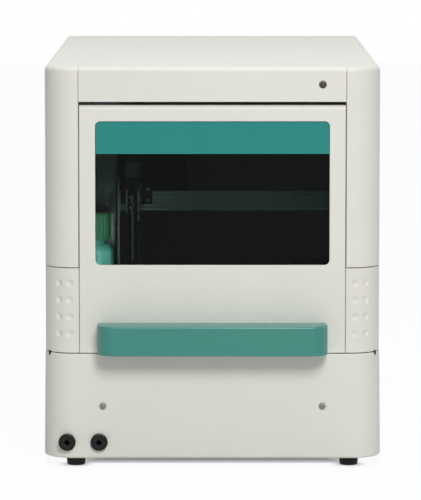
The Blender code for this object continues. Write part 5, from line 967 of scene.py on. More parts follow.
def lower_skirt():
    """Skirt round both corners; it grows evenly from 0.4 mm proud at the top to 1.5 mm at the foot."""
    path, inward = corner_path(0.0, FRONT + RETURN)
    path = np.concatenate([path[::-1] * (-1, 1), path[1:]])
    inward = np.concatenate([inward[::-1] * (-1, 1), inward[1:]])
    ease = 0.0012
    section = np.array(
        eased_start(BASE, FOOT_EASE, 8) + [(0.0, BASE + FOOT_EASE + HOLD), (0.0, LOWER_TOP - ease - HOLD)]
        + eased_end(LOWER_TOP, ease, 5)
        + [(LOWER_WALL - 0.0003, LOWER_TOP), (LOWER_WALL, LOWER_TOP - 0.0003)]
        + [(LOWER_WALL, BASE + 0.0003), (LOWER_WALL - 0.0003, BASE)]
    )
    points, faces = eased_wall(path, inward, section, LOWER_WALL, 0.0005)
    share = np.clip((points[:, 2] - BASE) / (LOWER_TOP - BASE), 0, 1)
    points[:, 0] *= (HALF + 0.00149 + (0.0004 - 0.00149) * share) / HALF
    skirt = piece("lower_skirt", [(points, faces)], "case_grey", ["lower_panel"])
    holes = []
    for _, side in SIDES:
        recess = mm([(0, -4), (4.6, -4), (4.3, 0), (3.1, 0.9), (3.1, 2.3), (1.7, 2.3), (1.7, 6), (0, 6)])
        holes.append(solid_lathe(recess, (side * SCREW_X, FRONT, SCREW_Z), "y"))
        place = (side * BUMPER_PLACE[0], BUMPER_PLACE[1], LOWER_TOP)
        holes.append(cylinder(0.0025, -0.0023, 0.004, place, "z"))
    for _, across in NOZZLES:
        holes.append(cylinder(0.0043, -0.004, 0.007, (across, FRONT, NOZZLE_Z), "y"))
    pierce(skirt, holes)


def block_cutter(low, high):
    """A square-edged block between two corners, to cut with."""
    plan = np.array([(low[0], low[1]), (high[0], low[1]), (high[0], high[1]), (low[0], high[1])])
    return skin([stand(plan, low[2], "z"), stand(plan, high[2], "z")])


def cut_crosses(obj, places, reach, width, depth):
    """Cuts a driver's cross at each place: first all the level bars, then all the upright ones."""
    half = width / 2
    for across, up in ((reach, half), (half, reach)):
        bars = [
            block_cutter((x - across, y - depth, z - up), (x + across, y + depth, z + up))
            for x, y, z in places
        ]
        pierce(obj, bars)


def skirt_screws():
    """Sunk cheese-head screws with a cross recess."""
    for name, side in SIDES:
        place = (side * SCREW_X, FRONT, SCREW_Z)
        profile = mm([
            (0, 0.9), (2.1, 0.9), (2.5, 1.05), (2.6, 1.3), (2.6, 1.9), (1.4, 1.9), (1.4, 9), (0, 9),
        ])
        screw = piece(
            "skirt_screw_" + name, [solid_lathe(profile, place, "y")], "bright_steel",
            ["panel_screw_" + name], look="burnished",
        )
        cut_crosses(screw, [(place[0], FRONT + 0.0009, SCREW_Z)], 0.0015, 0.0005, 0.0006)


def nozzle_fittings():
    """Black fittings: flange with a rounded rim, raised inner lip with a thread inside, and a tail."""
    thread = [(0.0024 + 0.00025 * (i % 2), -0.0053 + 0.0005 * i) for i in range(14)]
    profile = (
        mm([(3, -5.5), (4.9, -5.5), (5.2, -5.2), (5.2, -3.9)])
        + mm([(5.5, -3.6), (6.9, -3.6), (7.5, -3.3), (7.7, -2.7)])
        + mm([(7.7, -0.5), (7.5, -0.3), (4, -0.3), (4, 20)]) + [(0.0024, 0.02)] + thread[::-1]
    )
    for name, across in NOZZLES:
        fitting = lathe(profile, (across, FRONT, NOZZLE_Z), "y", 56)
        piece("drain_fitting_" + name, [fitting], "nozzle_black", ["drain_nozzle_" + name], crease=40)


def rubber_stops():
    """Door stops: short studs with a rounded crown."""
    for name, side in SIDES:
        angles = np.radians(np.linspace(0, 88, 8))
        crown = [(0.0013 + 0.0009 * math.cos(a), 0.0035 + 0.0009 * math.sin(a)) for a in angles]
        profile = mm([(0, 0), (2.2, 0), (2.2, 3.3)]) + crown + [(AXIS, 0.0044)]
        place = (side * BUMPER_PLACE[0], BUMPER_PLACE[1], LOWER_TOP - 0.0024)
        piece(
            "rubber_stop_" + name, [solid_lathe(profile, place, "z")], "rubber_black",
            ["door_bumper_" + name],
        )


def rubber_feet():
    """Feet turned with a slight taper, two grip grooves round the side and a dished sole."""
    profile = mm([
        (0, 8.3), (8.9, 8.3), (9.3, 7.9), (9.3, 6.9), (9, 6.6), (8.7, 5.5), (8.4, 5.3), (8.4, 4.9),
        (8.6, 4.7), (8.5, 3.7), (8.1, 3.5), (8.1, 3.1), (8.3, 2.9), (8.2, 1.5), (7.9, 0.6), (7.1, 0),
        (5.2, 0), (4.8, 0.6), (3, 0.8), (2.6, 3), (0, 3),
    ])
    for row, along in (("front", -0.2365), ("rear", 0.2565)):
        for name, side in SIDES:
            foot = solid_lathe(profile, (side * 0.123, along, 0.0), "z", 56)
            piece(f"rubber_foot_{row}_{name}", [foot], "rubber_black", [f"foot_{row}_{name}"])


lower_skirt()
skirt_screws()
nozzle_fittings()
rubber_stops()
rubber_feet()

# Sample drawer

CHAMBER_LEFT, CHAMBER_RIGHT = -0.0822, 0.0908
CHAMBER_FRONT, CHAMBER_REAR = -0.2445, -0.0066
CHAMBER_BOTTOM, CHAMBER_FLOOR, CHAMBER_TOP = 0.108, 0.112, 0.158
CHAMBER_WALL = 0.003
RUNNERS = (-0.0672, 0.0718)
TRAY_LEFT, TRAY_RIGHT = -0.0785, 0.0871
TRAY_FRONT, TRAY_REAR = -0.2393, -0.1096
TRAY_LOW = 0.1163
RACKS = (("left", -0.0785), ("right", 0.0058))
RACK_WIDTH = 0.0813
RACK_FRONT, RACK_REAR = -0.2374, -0.1096
RACK_BASE = 0.1191
RACK_HEIGHT = 0.03
VIAL_PITCH = 0.0271
VIAL_ROWS = (-0.2185, -0.1885, -0.1585, -0.1285)


def chamber_tub():
    """Tub: rings climb the outside, roll over the rim by two quarter circles, and round into the floor."""

    def ring(inset, height, corner=0.006):
        """The tub's outline at a height, drawn in by the inset."""
        points = outline(
            CHAMBER_LEFT + inset, CHAMBER_FRONT + inset, CHAMBER_RIGHT - inset, CHAMBER_REAR - inset,
            max(corner - inset, 0.0015), 6,
        )
        return stand(points, height, "z")

    edge = 0.001
    rim = CHAMBER_WALL / 2
    bowl = 0.004
    rings = [ring(edge + HOLD, CHAMBER_BOTTOM)]
    rings += [ring(*row) for row in eased_start(CHAMBER_BOTTOM, edge, 3) + eased_end(CHAMBER_TOP, rim, 5)]
    rings += [ring(CHAMBER_WALL - i, CHAMBER_TOP - rim + r) for i, r in inset_steps(rim, 5)[::-1]]
    rings += [ring(CHAMBER_WALL + i, CHAMBER_FLOOR + bowl - r, 0.01) for i, r in inset_steps(bowl, 6)]
    rings.append(ring(CHAMBER_WALL + bowl + HOLD, CHAMBER_FLOOR, 0.01))
    tub = piece("chamber_tub", [skin(rings)], "chamber_white", ["sample_chamber"])
    inside_left = CHAMBER_LEFT + CHAMBER_WALL
    inside_right = CHAMBER_RIGHT - CHAMBER_WALL
    mouth = rounded_box(
        (inside_left + 0.0002, CHAMBER_FRONT - 0.004, CHAMBER_FLOOR + 0.012),
        (inside_right - 0.0002, CHAMBER_FRONT + CHAMBER_WALL + 0.0045, CHAMBER_TOP + 0.02), 0.0005, 3, "y",
        0.006,
    )
    channels = [
        rounded_box(
            (across - 0.004, CHAMBER_FRONT + 0.014, CHAMBER_FLOOR - 0.0009),
            (across + 0.004, CHAMBER_REAR - 0.016, CHAMBER_FLOOR + 0.004), 0.0008, 3, "z", 0.0038,
        )
        for across in (-0.045, -0.0205, 0.004, 0.0285, 0.053)
    ]
    pierce(tub, [mouth] + channels)


def chamber_fittings():
    """Two steel runners for the tray, and the cooling plate on the chamber's rear wall."""
    rails = [
        rounded_box(
            (left, CHAMBER_FRONT + 0.0025, CHAMBER_FLOOR - 0.0015),
            (left + 0.004, CHAMBER_REAR - 0.0035, CHAMBER_FLOOR + 0.004), 0.0006, 4, "y", 0.0008,
        )
        for left in RUNNERS
    ]
    piece("tray_runners", rails, "bright_steel")
    plate = rounded_box(
        (-0.038, CHAMBER_REAR - 0.0065, 0.1185), (0.038, CHAMBER_REAR - 0.0028, 0.1515), 0.0005, 3, "y",
        0.003,
    )
    fins = [
        rounded_box(
            (across - 0.0006, CHAMBER_REAR - 0.0094, 0.121),
            (across + 0.0006, CHAMBER_REAR - 0.006, 0.149), 0.0004, 3, "z",
        )
        for across in np.linspace(-0.034, 0.034, 18)
    ]
    piece("cooling_plate", [plate] + fins, "aluminium")


def sliding_tray():
    """Folded sheet tray: plate, raised front with a finger notch, and the guides that clasp the runners."""
    plate = rounded_box(
        (TRAY_LEFT, TRAY_FRONT, TRAY_LOW), (TRAY_RIGHT, TRAY_REAR, TRAY_LOW + 0.0025), 0.0004, 3, "z",
        0.001,
    )
    lip = rounded_box(
        (TRAY_LEFT, TRAY_FRONT, TRAY_LOW + 0.0003), (TRAY_RIGHT, TRAY_FRONT + 0.0016, TRAY_LOW + 0.0125),
        0.0004, 4, "y", 0.003,
    )
    guides = [
        rounded_box(
            (edge, TRAY_FRONT + 0.0022, TRAY_LOW - 0.002),
            (edge + 0.0016, TRAY_REAR - 0.0022, TRAY_LOW + 0.0012), 0.0003, 3, "y",
        )
        for left in RUNNERS for edge in (left - 0.0019, left + 0.0043)
    ]
    tray = piece("sliding_tray", [plate, lip] + guides, "zinc_sheet", ["tray_carrier"], body="tray")
    middle = (TRAY_LEFT + TRAY_RIGHT) / 2
    notch = rounded_box(
        (middle - 0.022, TRAY_FRONT - 0.004, TRAY_LOW + 0.0075),
        (middle + 0.022, TRAY_FRONT + 0.0018, TRAY_LOW + 0.03), 0.0004, 3, "y", 0.005,
    )
    pierce(tray, [notch])


def rack_places(left):
    """Where a rack's vials stand: three columns a pitch apart, in four rows."""
    columns = left + VIAL_PITCH * (np.arange(3) + 0.5)
    return [(across, along, RACK_BASE) for across in columns for along in VIAL_ROWS]


def rack_block(name, left):
    """Milled block with chamfered bores for the vials, and a slot that shows the glass of each column."""
    block = rounded_box(
        (left, RACK_FRONT, RACK_BASE), (left + RACK_WIDTH, RACK_REAR, RACK_BASE + RACK_HEIGHT), 0.001, 4,
        "z", 0.0025,
    )
    rack = piece("rack_block_" + name, [block], "rack_blue_grey", ["sample_rack_" + name], body="tray")
    top = RACK_HEIGHT
    bore = [
        (AXIS, 0.0028), (0.0108, 0.0028), (0.0117, 0.0037), (0.0117, top - 0.0008), (0.0127, top + 0.0002),
        (0.0127, top + 0.003), (AXIS, top + 0.003),
    ]
    holes = set_down(solid_lathe(bore, (0, 0, 0), "z", 40), rack_places(left))
    slots = [
        rounded_box(
            (across - 0.005, RACK_FRONT - 0.002, RACK_BASE + 0.0075),
            (across + 0.005, RACK_FRONT + 0.0115, RACK_BASE + 0.0235), 0.0004, 3, "y", 0.0048,
        )
        for across in left + VIAL_PITCH * (np.arange(3) + 0.5)
    ]
    pierce(rack, holes + slots)


def vials(name, left):
    """Glass with a wall inside and out, its liquid with a meniscus, ribbed screw caps, and slit septa."""
    places = rack_places(left)
    glass = mm([
        (0, 3.6), (8, 3.4), (9.8, 3), (10.7, 3.2), (11.18, 4), (11.25, 5.2), (11.25, 27.5), (11, 28.7),
        (10.1, 29.9), (8.9, 30.6), (8.3, 31.4), (8.3, 38.6), (7, 38.6), (7, 31.6), (7.5, 30.4),
        (8.9, 29.4), (9.9, 28.4), (10.25, 27), (10.25, 6.2), (9.5, 4.9), (0, 4.7),
    ])
    shapes = set_down(solid_lathe(glass, (0, 0, 0), "z", 40), places)
    piece("vial_glass_" + name, shapes, "syringe_glass", body="tray", crease=40)
    liquids = []
    for number, place in enumerate(places):
        level = 0.0105 + 0.0012 * ((number * 5) % 7) if number % 4 != 3 else 0.0071
        profile = [
            (AXIS, 0.0049), (0.0094, 0.0051), (0.0101, 0.0064), (0.0101, level + 0.0006),
            (0.0097, level + 0.0002), (0.0086, level), (AXIS, level),
        ]
        liquids.append(solid_lathe(profile, place, "z", 32))
    piece("vial_samples_" + name, liquids, "clear_tube", body="tray", look="sample")
    cap = [
        (0.0086, 0.0336, 0.0), (0.0096, 0.0336, 0.4), (0.01, 0.034, 1.0), (0.01, 0.0388, 1.0),
        (0.0098, 0.0395, 0.6), (0.0092, 0.04, 0.0), (0.0066, 0.04, 0.0), (0.0061, 0.0397, 0.0),
        (0.006, 0.0388, 0.0), (0.00845, 0.0387, 0.0), (0.0086, 0.038, 0.0),
    ]
    caps = set_down(ribbed_lathe(cap, (0, 0, 0), "z", 24, 0.00045, 96, close=True), places)
    piece("vial_caps_" + name, caps, "rack_blue_grey", body="tray", look="vial_cap", crease=40)
    septum = mm([
        (1.3, 38.6), (8.2, 38.6), (8.2, 38.65), (5.9, 38.8), (5.9, 39.2), (5, 39.4), (1.5, 39.3),
        (1.3, 39.2),
    ])
    septa = set_down(lathe(septum, (0, 0, 0), "z", 32), places)
    piece("vial_septa_" + name, septa, "resin_white", body="tray", look="septum")


chamber_tub()
chamber_fittings()
sliding_tray()
for rack_name, rack_left in RACKS:
    rack_block(rack_name, rack_left)
    vials(rack_name, rack_left)

# Needle drive

NEEDLE_X, NEEDLE_Y = -0.06495, -0.1285
ARM_X = NEEDLE_X - 0.00525
ARM_FRONT = -0.1215
RAIL_FRONT, RAIL_BACK = -0.1087, -0.1007
RAIL_Z = 0.23
RAIL_LEFT, RAIL_RIGHT = -0.0822, 0.1097
SADDLE_LEFT, SADDLE_RIGHT = -0.0799, -0.0529
SLIDER_LOW = 0.2161


def carried(section, start, end, ease=0.0003, steps=3):
    """A closed section of (y, z) points carried along X, drawn in at its ends by a quarter circle."""
    section = np.asarray(section, float)
    middle = (section.max(0) + section.min(0)) / 2
    half = (section.max(0) - section.min(0)) / 2
    rows = eased_start(start, ease, steps) + eased_end(end, ease, steps)
    return skin([
        stand(middle + (section - middle) * (1 - inset / half), along, "x") for inset, along in rows
    ])


def socket_screw(place, axis, radius=0.0019, height=0.0014, sign=1, depth=0.003):
    """Low socket-head screw: a rim rounded by a quarter circle round a sunk hexagon."""
    edge = radius * 0.25
    hexagon = radius * 0.5
    profile = [(AXIS, -depth), (radius * 0.55, -depth), (radius * 0.55, 0.0), (radius, 0.0)]
    profile += [(radius - i, height - edge + r) for i, r in inset_steps(edge, 3)]
    profile += [(hexagon, height), (hexagon * 0.97, height * 0.35), (AXIS, height * 0.3)]
    profile = [(r, along * sign) for r, along in profile]
    return solid_lathe(profile, place, axis, 24)


def cross_beam():
    """Extruded beam: the running edge above, a stepped skirt with two shallow grooves, end screws."""
    step = RAIL_FRONT + 0.002
    low = RAIL_Z - 0.012
    section = [
        (RAIL_FRONT, RAIL_Z + 0.0004), (RAIL_FRONT, RAIL_Z + 0.0022),
        (RAIL_FRONT + 0.0007, RAIL_Z + 0.0029), (RAIL_FRONT + 0.0007, RAIL_Z + 0.0037),
        (RAIL_FRONT, RAIL_Z + 0.0044), (RAIL_FRONT, RAIL_Z + 0.0061),
        (RAIL_FRONT + 0.0004, RAIL_Z + 0.0065), (RAIL_BACK - 0.0004, RAIL_Z + 0.0065),
        (RAIL_BACK, RAIL_Z + 0.0061), (RAIL_BACK, low + 0.0004), (RAIL_BACK - 0.0004, low),
        (step + 0.0004, low), (step, low + 0.0004), (step, low + 0.0028), (step + 0.0006, low + 0.0034),
        (step + 0.0006, low + 0.0044), (step, low + 0.005), (step, low + 0.0072),
        (step + 0.0006, low + 0.0078), (step + 0.0006, low + 0.0088), (step, low + 0.0094),
        (step, RAIL_Z - 0.0003), (step - 0.0003, RAIL_Z), (RAIL_FRONT + 0.0004, RAIL_Z),
    ]
    piece("cross_beam", [carried(section, RAIL_LEFT, RAIL_RIGHT)], "aluminium", ["x_rail"], crease=28)
    heads = []
    middle = (RAIL_FRONT + RAIL_BACK) / 2 + 0.001
    for height in (RAIL_Z - 0.0085, RAIL_Z + 0.0005):
        heads.append(socket_screw((-0.0845, middle, height), "x", 0.0021, 0.0016, -1, 0.0))
    piece("beam_screws", heads, "bright_steel")


def stepper(name, low, high, axis, body, replaces):
    """Stepper motor: a laminated middle between two end caps with cut corners, four screws and a boss."""
    left, bottom, start = (low[i] for i in IN_PLANE[axis])
    right, top, end = (high[i] for i in IN_PLANE[axis])
    length, side = end - start, right - left
    cut, cap, edge = side * 0.11, length * 0.27, 0.0004

    def ring(inset, along, corner):
        """The motor's square with its corners cut off, drawn in by the inset."""
        a, b, c, d = left + inset, bottom + inset, right - inset, top - inset
        k = max(corner - inset * 0.6, 0.0003)
        points = [
            (c - k, b), (c, b + k), (c, d - k), (c - k, d), (a + k, d), (a, d - k), (a, b + k), (a + k, b),
        ]
        return stand(points, along, axis)

    caps = []
    for near, far in ((start, start + cap), (end - cap, end)):
        rows = ((edge, near), (0.0, near + edge), (0.0, far - edge), (edge, far))
        caps.append(skin([ring(inset, along, cut) for inset, along in rows]))
    plates = 14
    levels = np.linspace(start + cap - 0.0002, end - cap + 0.0002, plates * 2 + 1)
    stack = skin([ring(0.0006 + 0.00012 * (i % 2), along, cut * 1.5) for i, along in enumerate(levels)])
    piece(name + "_caps", caps, "motor_black", replaces, body=body, crease=20)
    piece(name + "_laminations", [stack], "motor_black", body=body, look="laminated", crease=20)
    screws = []
    out = side / 2 - cut * 1.15
    centre = ((left + right) / 2, (bottom + top) / 2)
    for across in (-1, 1):
        for up in (-1, 1):
            flat = (centre[0] + across * out, centre[1] + up * out)
            place = (end, *flat) if axis == "x" else (*flat, end)
            screws.append(socket_screw(place, axis, side * 0.045, side * 0.012, 1, 0.001))
    middle = (end, *centre) if axis == "x" else (*centre, end)
    rim = side * 0.012
    boss = [
        (AXIS, -0.001), (side * 0.2, -0.001), (side * 0.2, rim * 0.6), (side * 0.19, rim),
        (side * 0.06, rim), (side * 0.055, rim * 0.5), (AXIS, rim * 0.5),
    ]
    screws.append(solid_lathe(boss, middle, axis, 40))
    piece(name + "_screws", screws, "bright_steel", body=body)


def rail_saddle():
    """Saddle that wraps the beam's upper edge, with the upright arm, its rack of teeth and its screws."""
    front = RAIL_FRONT - 0.0058
    top = 0.2418
    low = RAIL_Z - 0.0053
    back = RAIL_BACK + 0.0033
    hook = RAIL_Z + 0.00325
    section = [
        (front, low + 0.0006), (front, top - 0.0012), (front + 0.0004, top - 0.0004),
        (front + 0.0012, top), (back - 0.0008, top), (back - 0.0002, top - 0.0002), (back, top - 0.0008),
        (back, hook), (RAIL_BACK + 0.0003, hook), (RAIL_BACK + 0.0003, RAIL_Z + 0.0068),
        (RAIL_FRONT - 0.0003, RAIL_Z + 0.0068), (RAIL_FRONT - 0.0003, RAIL_Z - 0.0003),
        (RAIL_FRONT + 0.0017, RAIL_Z - 0.0003), (RAIL_FRONT + 0.0017, low), (front + 0.0006, low),
    ]
    saddle = carried(section, SADDLE_LEFT, SADDLE_RIGHT, 0.0005)
    arm = rounded_box(
        (ARM_X - 0.00375, ARM_FRONT, 0.1681), (ARM_X + 0.00375, ARM_FRONT + 0.01, top - 0.0004), 0.0006, 3,
        "z", 0.0008,
    )
    groove = rounded_box(
        (ARM_X - 0.0012, ARM_FRONT - 0.002, 0.172), (ARM_X + 0.0012, ARM_FRONT + 0.0012, 0.236), 0.0004, 2,
        "y", 0.0008,
    )
    carriage = piece("rail_saddle", [saddle, arm], "motor_black", ["x_carriage"], body="carriage")
    pierce(carriage, [groove])
    pitch = 0.0016
    teeth = [
        rounded_box(
            (ARM_X - 0.00105, ARM_FRONT + 0.00045, height),
            (ARM_X + 0.00105, ARM_FRONT + 0.0013, height + 0.0009), 0.00015, 1, "y",
        )
        for height in np.arange(0.1735, 0.234, pitch)
    ]
    piece("arm_rack", teeth, "bright_steel", body="carriage")
    heads = [
        socket_screw((across, front, height), "y", 0.0017, 0.0012, -1)
        for across in (SADDLE_RIGHT - 0.0038, SADDLE_RIGHT - 0.0108)
        for height in (low + 0.0036, top - 0.0036)
    ]
    piece("saddle_screws", heads, "bright_steel", body="carriage")
    cover = rounded_box(
        (ARM_X - 0.006, -0.12, 0.2419), (ARM_X + 0.006, -0.108, 0.2424), 0.0002, 2, "z", 0.002,
    )
    piece("motor_seat", [cover], "aluminium", body="carriage")


def needle_slider():
    """Slider block with chamfered edges, its cheeks round the arm, and two clamp screws."""
    top = SLIDER_LOW + 0.024
    left = ARM_X - 0.00375 - 0.0027
    right = NEEDLE_X + 0.004
    front = NEEDLE_Y - 0.008
    back = ARM_FRONT - 0.0003
    block = rounded_box((left, front, SLIDER_LOW), (right, back, top), 0.0008, 3, "z", 0.0016)
    cheeks = [
        rounded_box(
            (low, back - 0.003, SLIDER_LOW + 0.001), (low + 0.0024, ARM_FRONT + 0.006, top - 0.001),
            0.0005, 3, "z", 0.0008,
        )
        for low in (left, ARM_X + 0.00375 + 0.0003)
    ]
    slider = piece("needle_slider", [block] + cheeks, "aluminium", ["z_slider"], body="needle_slide")
    slot = rounded_box(
        (right - 0.0048, front - 0.002, SLIDER_LOW + 0.0114),
        (right + 0.002, front + 0.011, SLIDER_LOW + 0.0121), 0.0002, 1, "y",
    )
    pocket = rounded_box(
        (left + 0.0016, front - 0.002, SLIDER_LOW + 0.004),
        (left + 0.0068, front + 0.0008, SLIDER_LOW + 0.02), 0.0003, 2, "y", 0.0014,
    )
    pierce(slider, [slot, pocket])
    heads = [
        socket_screw((NEEDLE_X + 0.0012, front, height), "y", 0.0013, 0.001, -1)
        for height in (SLIDER_LOW + 0.0062, SLIDER_LOW + 0.0178)
    ]
    heads += [
        socket_screw((left + 0.0042, front + 0.0008, height), "y", 0.0012, 0.0007, -1)
        for height in (SLIDER_LOW + 0.007, SLIDER_LOW + 0.017)
    ]
    piece("slider_screws", heads, "bright_steel", body="needle_slide")
    nut = ribbed_lathe(
        [
            (AXIS, top - 0.001, 0), (0.0028, top - 0.001, 0.3), (0.0031, top + 0.0004, 1),
            (0.0031, top + 0.004, 1), (0.0026, top + 0.0048, 0.3), (0.0013, top + 0.0052, 0),
            (0.0011, top + 0.006, 0), (AXIS, top + 0.006, 0),
        ],
        (NEEDLE_X, NEEDLE_Y, 0), "z", 12, 0.0004, 60,
    )
    piece("needle_nut", [nut], "cap_green", body="needle_slide")


def sampling_needle():
    """Needle ground to a point, in a hub that steps down to it, with one groove round the hub."""
    top = SLIDER_LOW - 0.0003
    hub = top - 0.0097
    profile = [
        (AXIS, top), (0.00245, top), (0.0025, top - 0.0003), (0.0025, top - 0.0026), (0.002, top - 0.003),
        (0.002, top - 0.0036), (0.0025, top - 0.004), (0.0025, hub + 0.004), (0.0023, hub + 0.0034),
        (0.0016, hub + 0.0024), (0.0012, hub + 0.001), (0.0008, hub), (0.0008, 0.176), (0.00074, 0.1748),
        (0.0005, 0.1733), (0.0002, 0.1722), (AXIS, 0.1721),
    ]
    needle = solid_lathe(profile, (NEEDLE_X, NEEDLE_Y, 0), "z", 32)
    piece("sampling_needle", [needle], "bright_steel", ["needle"], body="needle_slide")


def wash_port():
    """White block with a countersunk well, and the nut and tube that drain it."""
    low, high = (0.0911, -0.1395, 0.112), (0.1097, -0.1175, 0.1528)
    block = piece(
        "wash_port", [rounded_box(low, high, 0.0012, 4, "z", 0.002)], "resin_white", ["needle_port_block"],
    )
    top = high[2]
    well = [
        (AXIS, 0.117), (0.0037, 0.117), (0.004, 0.118), (0.004, top - 0.0022), (0.0062, top + 0.0002),
        (0.0062, top + 0.004), (AXIS, top + 0.004),
    ]
    ring = [(0.0068, top - 0.0005), (0.0073, top - 0.0005), (0.0073, top + 0.002), (0.0068, top + 0.002)]
    place = (0.097, NEEDLE_Y, 0.0)
    pierce(block, [solid_lathe(well, place, "z", 48), lathe(ring, place, "z", 48)])
    heads = [
        socket_screw((0.1035, NEEDLE_Y + side * 0.0078, top), "z", 0.0016, 0.0011, 1) for side in (-1, 1)
    ]
    piece("port_screws", heads, "bright_steel")


def plates():
    """Side sheets with rounded corners; the right one is pierced for the motor's shaft."""
    for name, left in (("left", -0.0845), ("right", 0.11)):
        sheet = rounded_box((left, -0.2225, 0.0112), (left + 0.002, 0.0415, 0.26), 0.0003, 2, "x", 0.006)
        plate = piece("side_sheet_" + name, [sheet], "zinc_sheet", ["side_plate_" + name])
        holes = [
            cylinder(radius, -0.004, 0.006, (left, *spot), "x", 32)
            for radius, spot in (
                (0.016, (-0.035, 0.205)), (0.016, (0.01, 0.205)), (0.0022, (-0.213, 0.245)),
                (0.0022, (0.032, 0.245)),
            )
        ]
        if name == "right":
            holes.append(cylinder(0.0028, -0.004, 0.006, (left, -0.1047, 0.224), "x", 32))
        pierce(plate, holes)


cross_beam()
stepper("x_stepper", (0.1123, -0.1217, 0.207), (0.1448, -0.0877, 0.241), "x", "case", ["x_motor"])
stepper("z_stepper", (-0.0792, -0.1235, 0.2424), (-0.0612, -0.1055, 0.2718), "z", "carriage", ["z_motor"])
rail_saddle()
needle_slider()
sampling_needle()
wash_port()
plates()

# Fluidics in the left bay

PANEL_LEFT, PANEL_RIGHT = -0.1477, -0.0848
PANEL_FRONT = -0.1665
SHELF_TOP = 0.1372
BOTTLE_PLACE = (-0.1115, -0.1985, 0.1375)
SYRINGE_PLACE = (-0.127, -0.2165, 0.312)


def bottle_shelf():
    """Upright sheet with its folded shelf: a section of sheet carried across the bay, with a lip."""
    upright = rounded_box(
        (PANEL_LEFT, PANEL_FRONT, 0.034), (PANEL_RIGHT, PANEL_FRONT + 0.002, 0.338), 0.0003, 2, "y", 0.003,
    )
    foot = rounded_box(
        (PANEL_LEFT + 0.0028, PANEL_FRONT, 0.0112), (PANEL_RIGHT, PANEL_FRONT + 0.002, 0.0345), 0.0003, 2,
        "y",
    )
    front = -0.228
    low = SHELF_TOP - 0.0025
    fold = 0.003
    outer = bend((front + fold, low + fold), fold, 180, 270, 6)
    inner = bend((front + fold, low + fold), fold - 0.0022, 270, 180, 6)
    section = np.concatenate([
        [(front, SHELF_TOP + 0.0078)], outer, [(PANEL_FRONT + 0.001, low)],
        [(PANEL_FRONT + 0.001, low + 0.0022)], inner, [(front + 0.0022, SHELF_TOP + 0.0078)],
        bend((front + 0.0011, SHELF_TOP + 0.0078), 0.0011, 0, 180, 5)[1:-1],
    ])
    middle = (PANEL_LEFT + PANEL_RIGHT) / 2
    shelf = skin([
        stand(section, along, "x") for along in (PANEL_LEFT + 0.0002, middle, PANEL_RIGHT - 0.0002)
    ])
    ring = [
        (0.0262, SHELF_TOP - 0.0006), (0.0284, SHELF_TOP - 0.0006), (0.0284, SHELF_TOP + 0.0012),
        (0.028, SHELF_TOP + 0.0016), (0.0266, SHELF_TOP + 0.0016), (0.0262, SHELF_TOP + 0.0012),
    ]
    piece("bottle_shelf", [upright, foot, shelf], "zinc_sheet", ["fluidics_panel"])
    seat = lathe(ring, (BOTTLE_PLACE[0], BOTTLE_PLACE[1], 0.0), "z", 64)
    piece("bottle_seat", [seat], "rubber_black")
    heads = [
        socket_screw((across, PANEL_FRONT, height), "y", 0.0024, 0.0014, -1)
        for across in (PANEL_LEFT + 0.009, PANEL_RIGHT - 0.008) for height in (0.046, 0.118, 0.23, 0.33)
        if not (across < -0.11 and height > 0.228)
    ]
    piece("panel_bolts", heads, "bright_steel")


def wash_bottle():
    """Blown bottle: dished foot, upright wall, quarter-circle shoulder, neck, and the same inside."""
    radius, wall = 0.0256, 0.0014
    shoulder, neck, mouth = 0.0595, 0.0166, 0.0755
    fall = radius - 0.017
    outside = mm([(0, 1.6), (15, 1.4), (19.6, 0.4), (21.6, 0)])
    outside += [tuple(p) for p in bend((radius - 0.004, 0.004), 0.004, -80, 0, 6)]
    outside += [(radius, 0.008), (radius - 0.0003, 0.0084), (radius - 0.0003, 0.0092), (radius, 0.0096)]
    outside += [(radius, shoulder - fall - 0.003)]
    outside += [tuple(p) for p in bend((0.017, shoulder - fall), fall, 0, 90, 12)]
    outside += [(0.0168, shoulder + 0.0004), (neck, shoulder + 0.001), (neck, mouth - 0.0005)]
    outside += [(neck - 0.0005, mouth), (0.0136, mouth), (0.0131, mouth - 0.0005)]
    inside = [(0.0131, shoulder + 0.0004), (0.014, shoulder - 0.0016)]
    inside += [tuple(p) for p in bend((0.017, shoulder - fall), fall - wall, 90, 0, 10)]
    inside += [(radius - wall, 0.008)]
    inside += [tuple(p) for p in bend((radius - 0.004, 0.0048), 0.004 - wall, 0, -80, 6)]
    inside += mm([(19, 3), (0, 3.4)])
    bottle = solid_lathe(outside + inside, BOTTLE_PLACE, "z", 72)
    piece("wash_bottle_blown", [bottle], "bottle_teal", ["wash_bottle"], crease=40)


def ribbed_cap():
    """Screw cap with upright ribs that fade into its rounded top, and a raised ring round the tube."""
    foot, top = 0.0638, 0.0882
    profile = [
        (0.017, 0.0759, 0.0), (0.0175, 0.0755, 0.0), (0.0175, foot, 0.0), (0.0212, foot, 0.0),
        (0.0216, foot + 0.0004, 0.0), (0.0216, foot + 0.0024, 0.0), (0.0214, foot + 0.0027, 0.3),
        (0.0214, foot + 0.0036, 1.0), (0.0214, top - 0.0034, 1.0), (0.0211, top - 0.0018, 0.7),
        (0.0203, top - 0.0006, 0.2), (0.0192, top, 0.0), (0.015, top, 0.0), (0.0146, top - 0.0005, 0.0),
        (AXIS, top - 0.0005, 0.0),
    ]
    shape = ribbed_lathe(profile, BOTTLE_PLACE, "z", 36, 0.0009, 180)
    cap = piece("ribbed_cap", [shape], "cap_green", ["bottle_cap"], crease=34)
    place = (BOTTLE_PLACE[0] + 0.008, BOTTLE_PLACE[1], BOTTLE_PLACE[2])
    pierce(cap, [cylinder(0.002, 0.07, 0.095, place, "z", 32)])
    collar = mm([(1.9, 87.5), (4, 87.5), (4, 89), (3.6, 89.6), (1.9, 89.6)])
    piece("tube_gland", [lathe(collar, place, "z", 40)], "rubber_black")


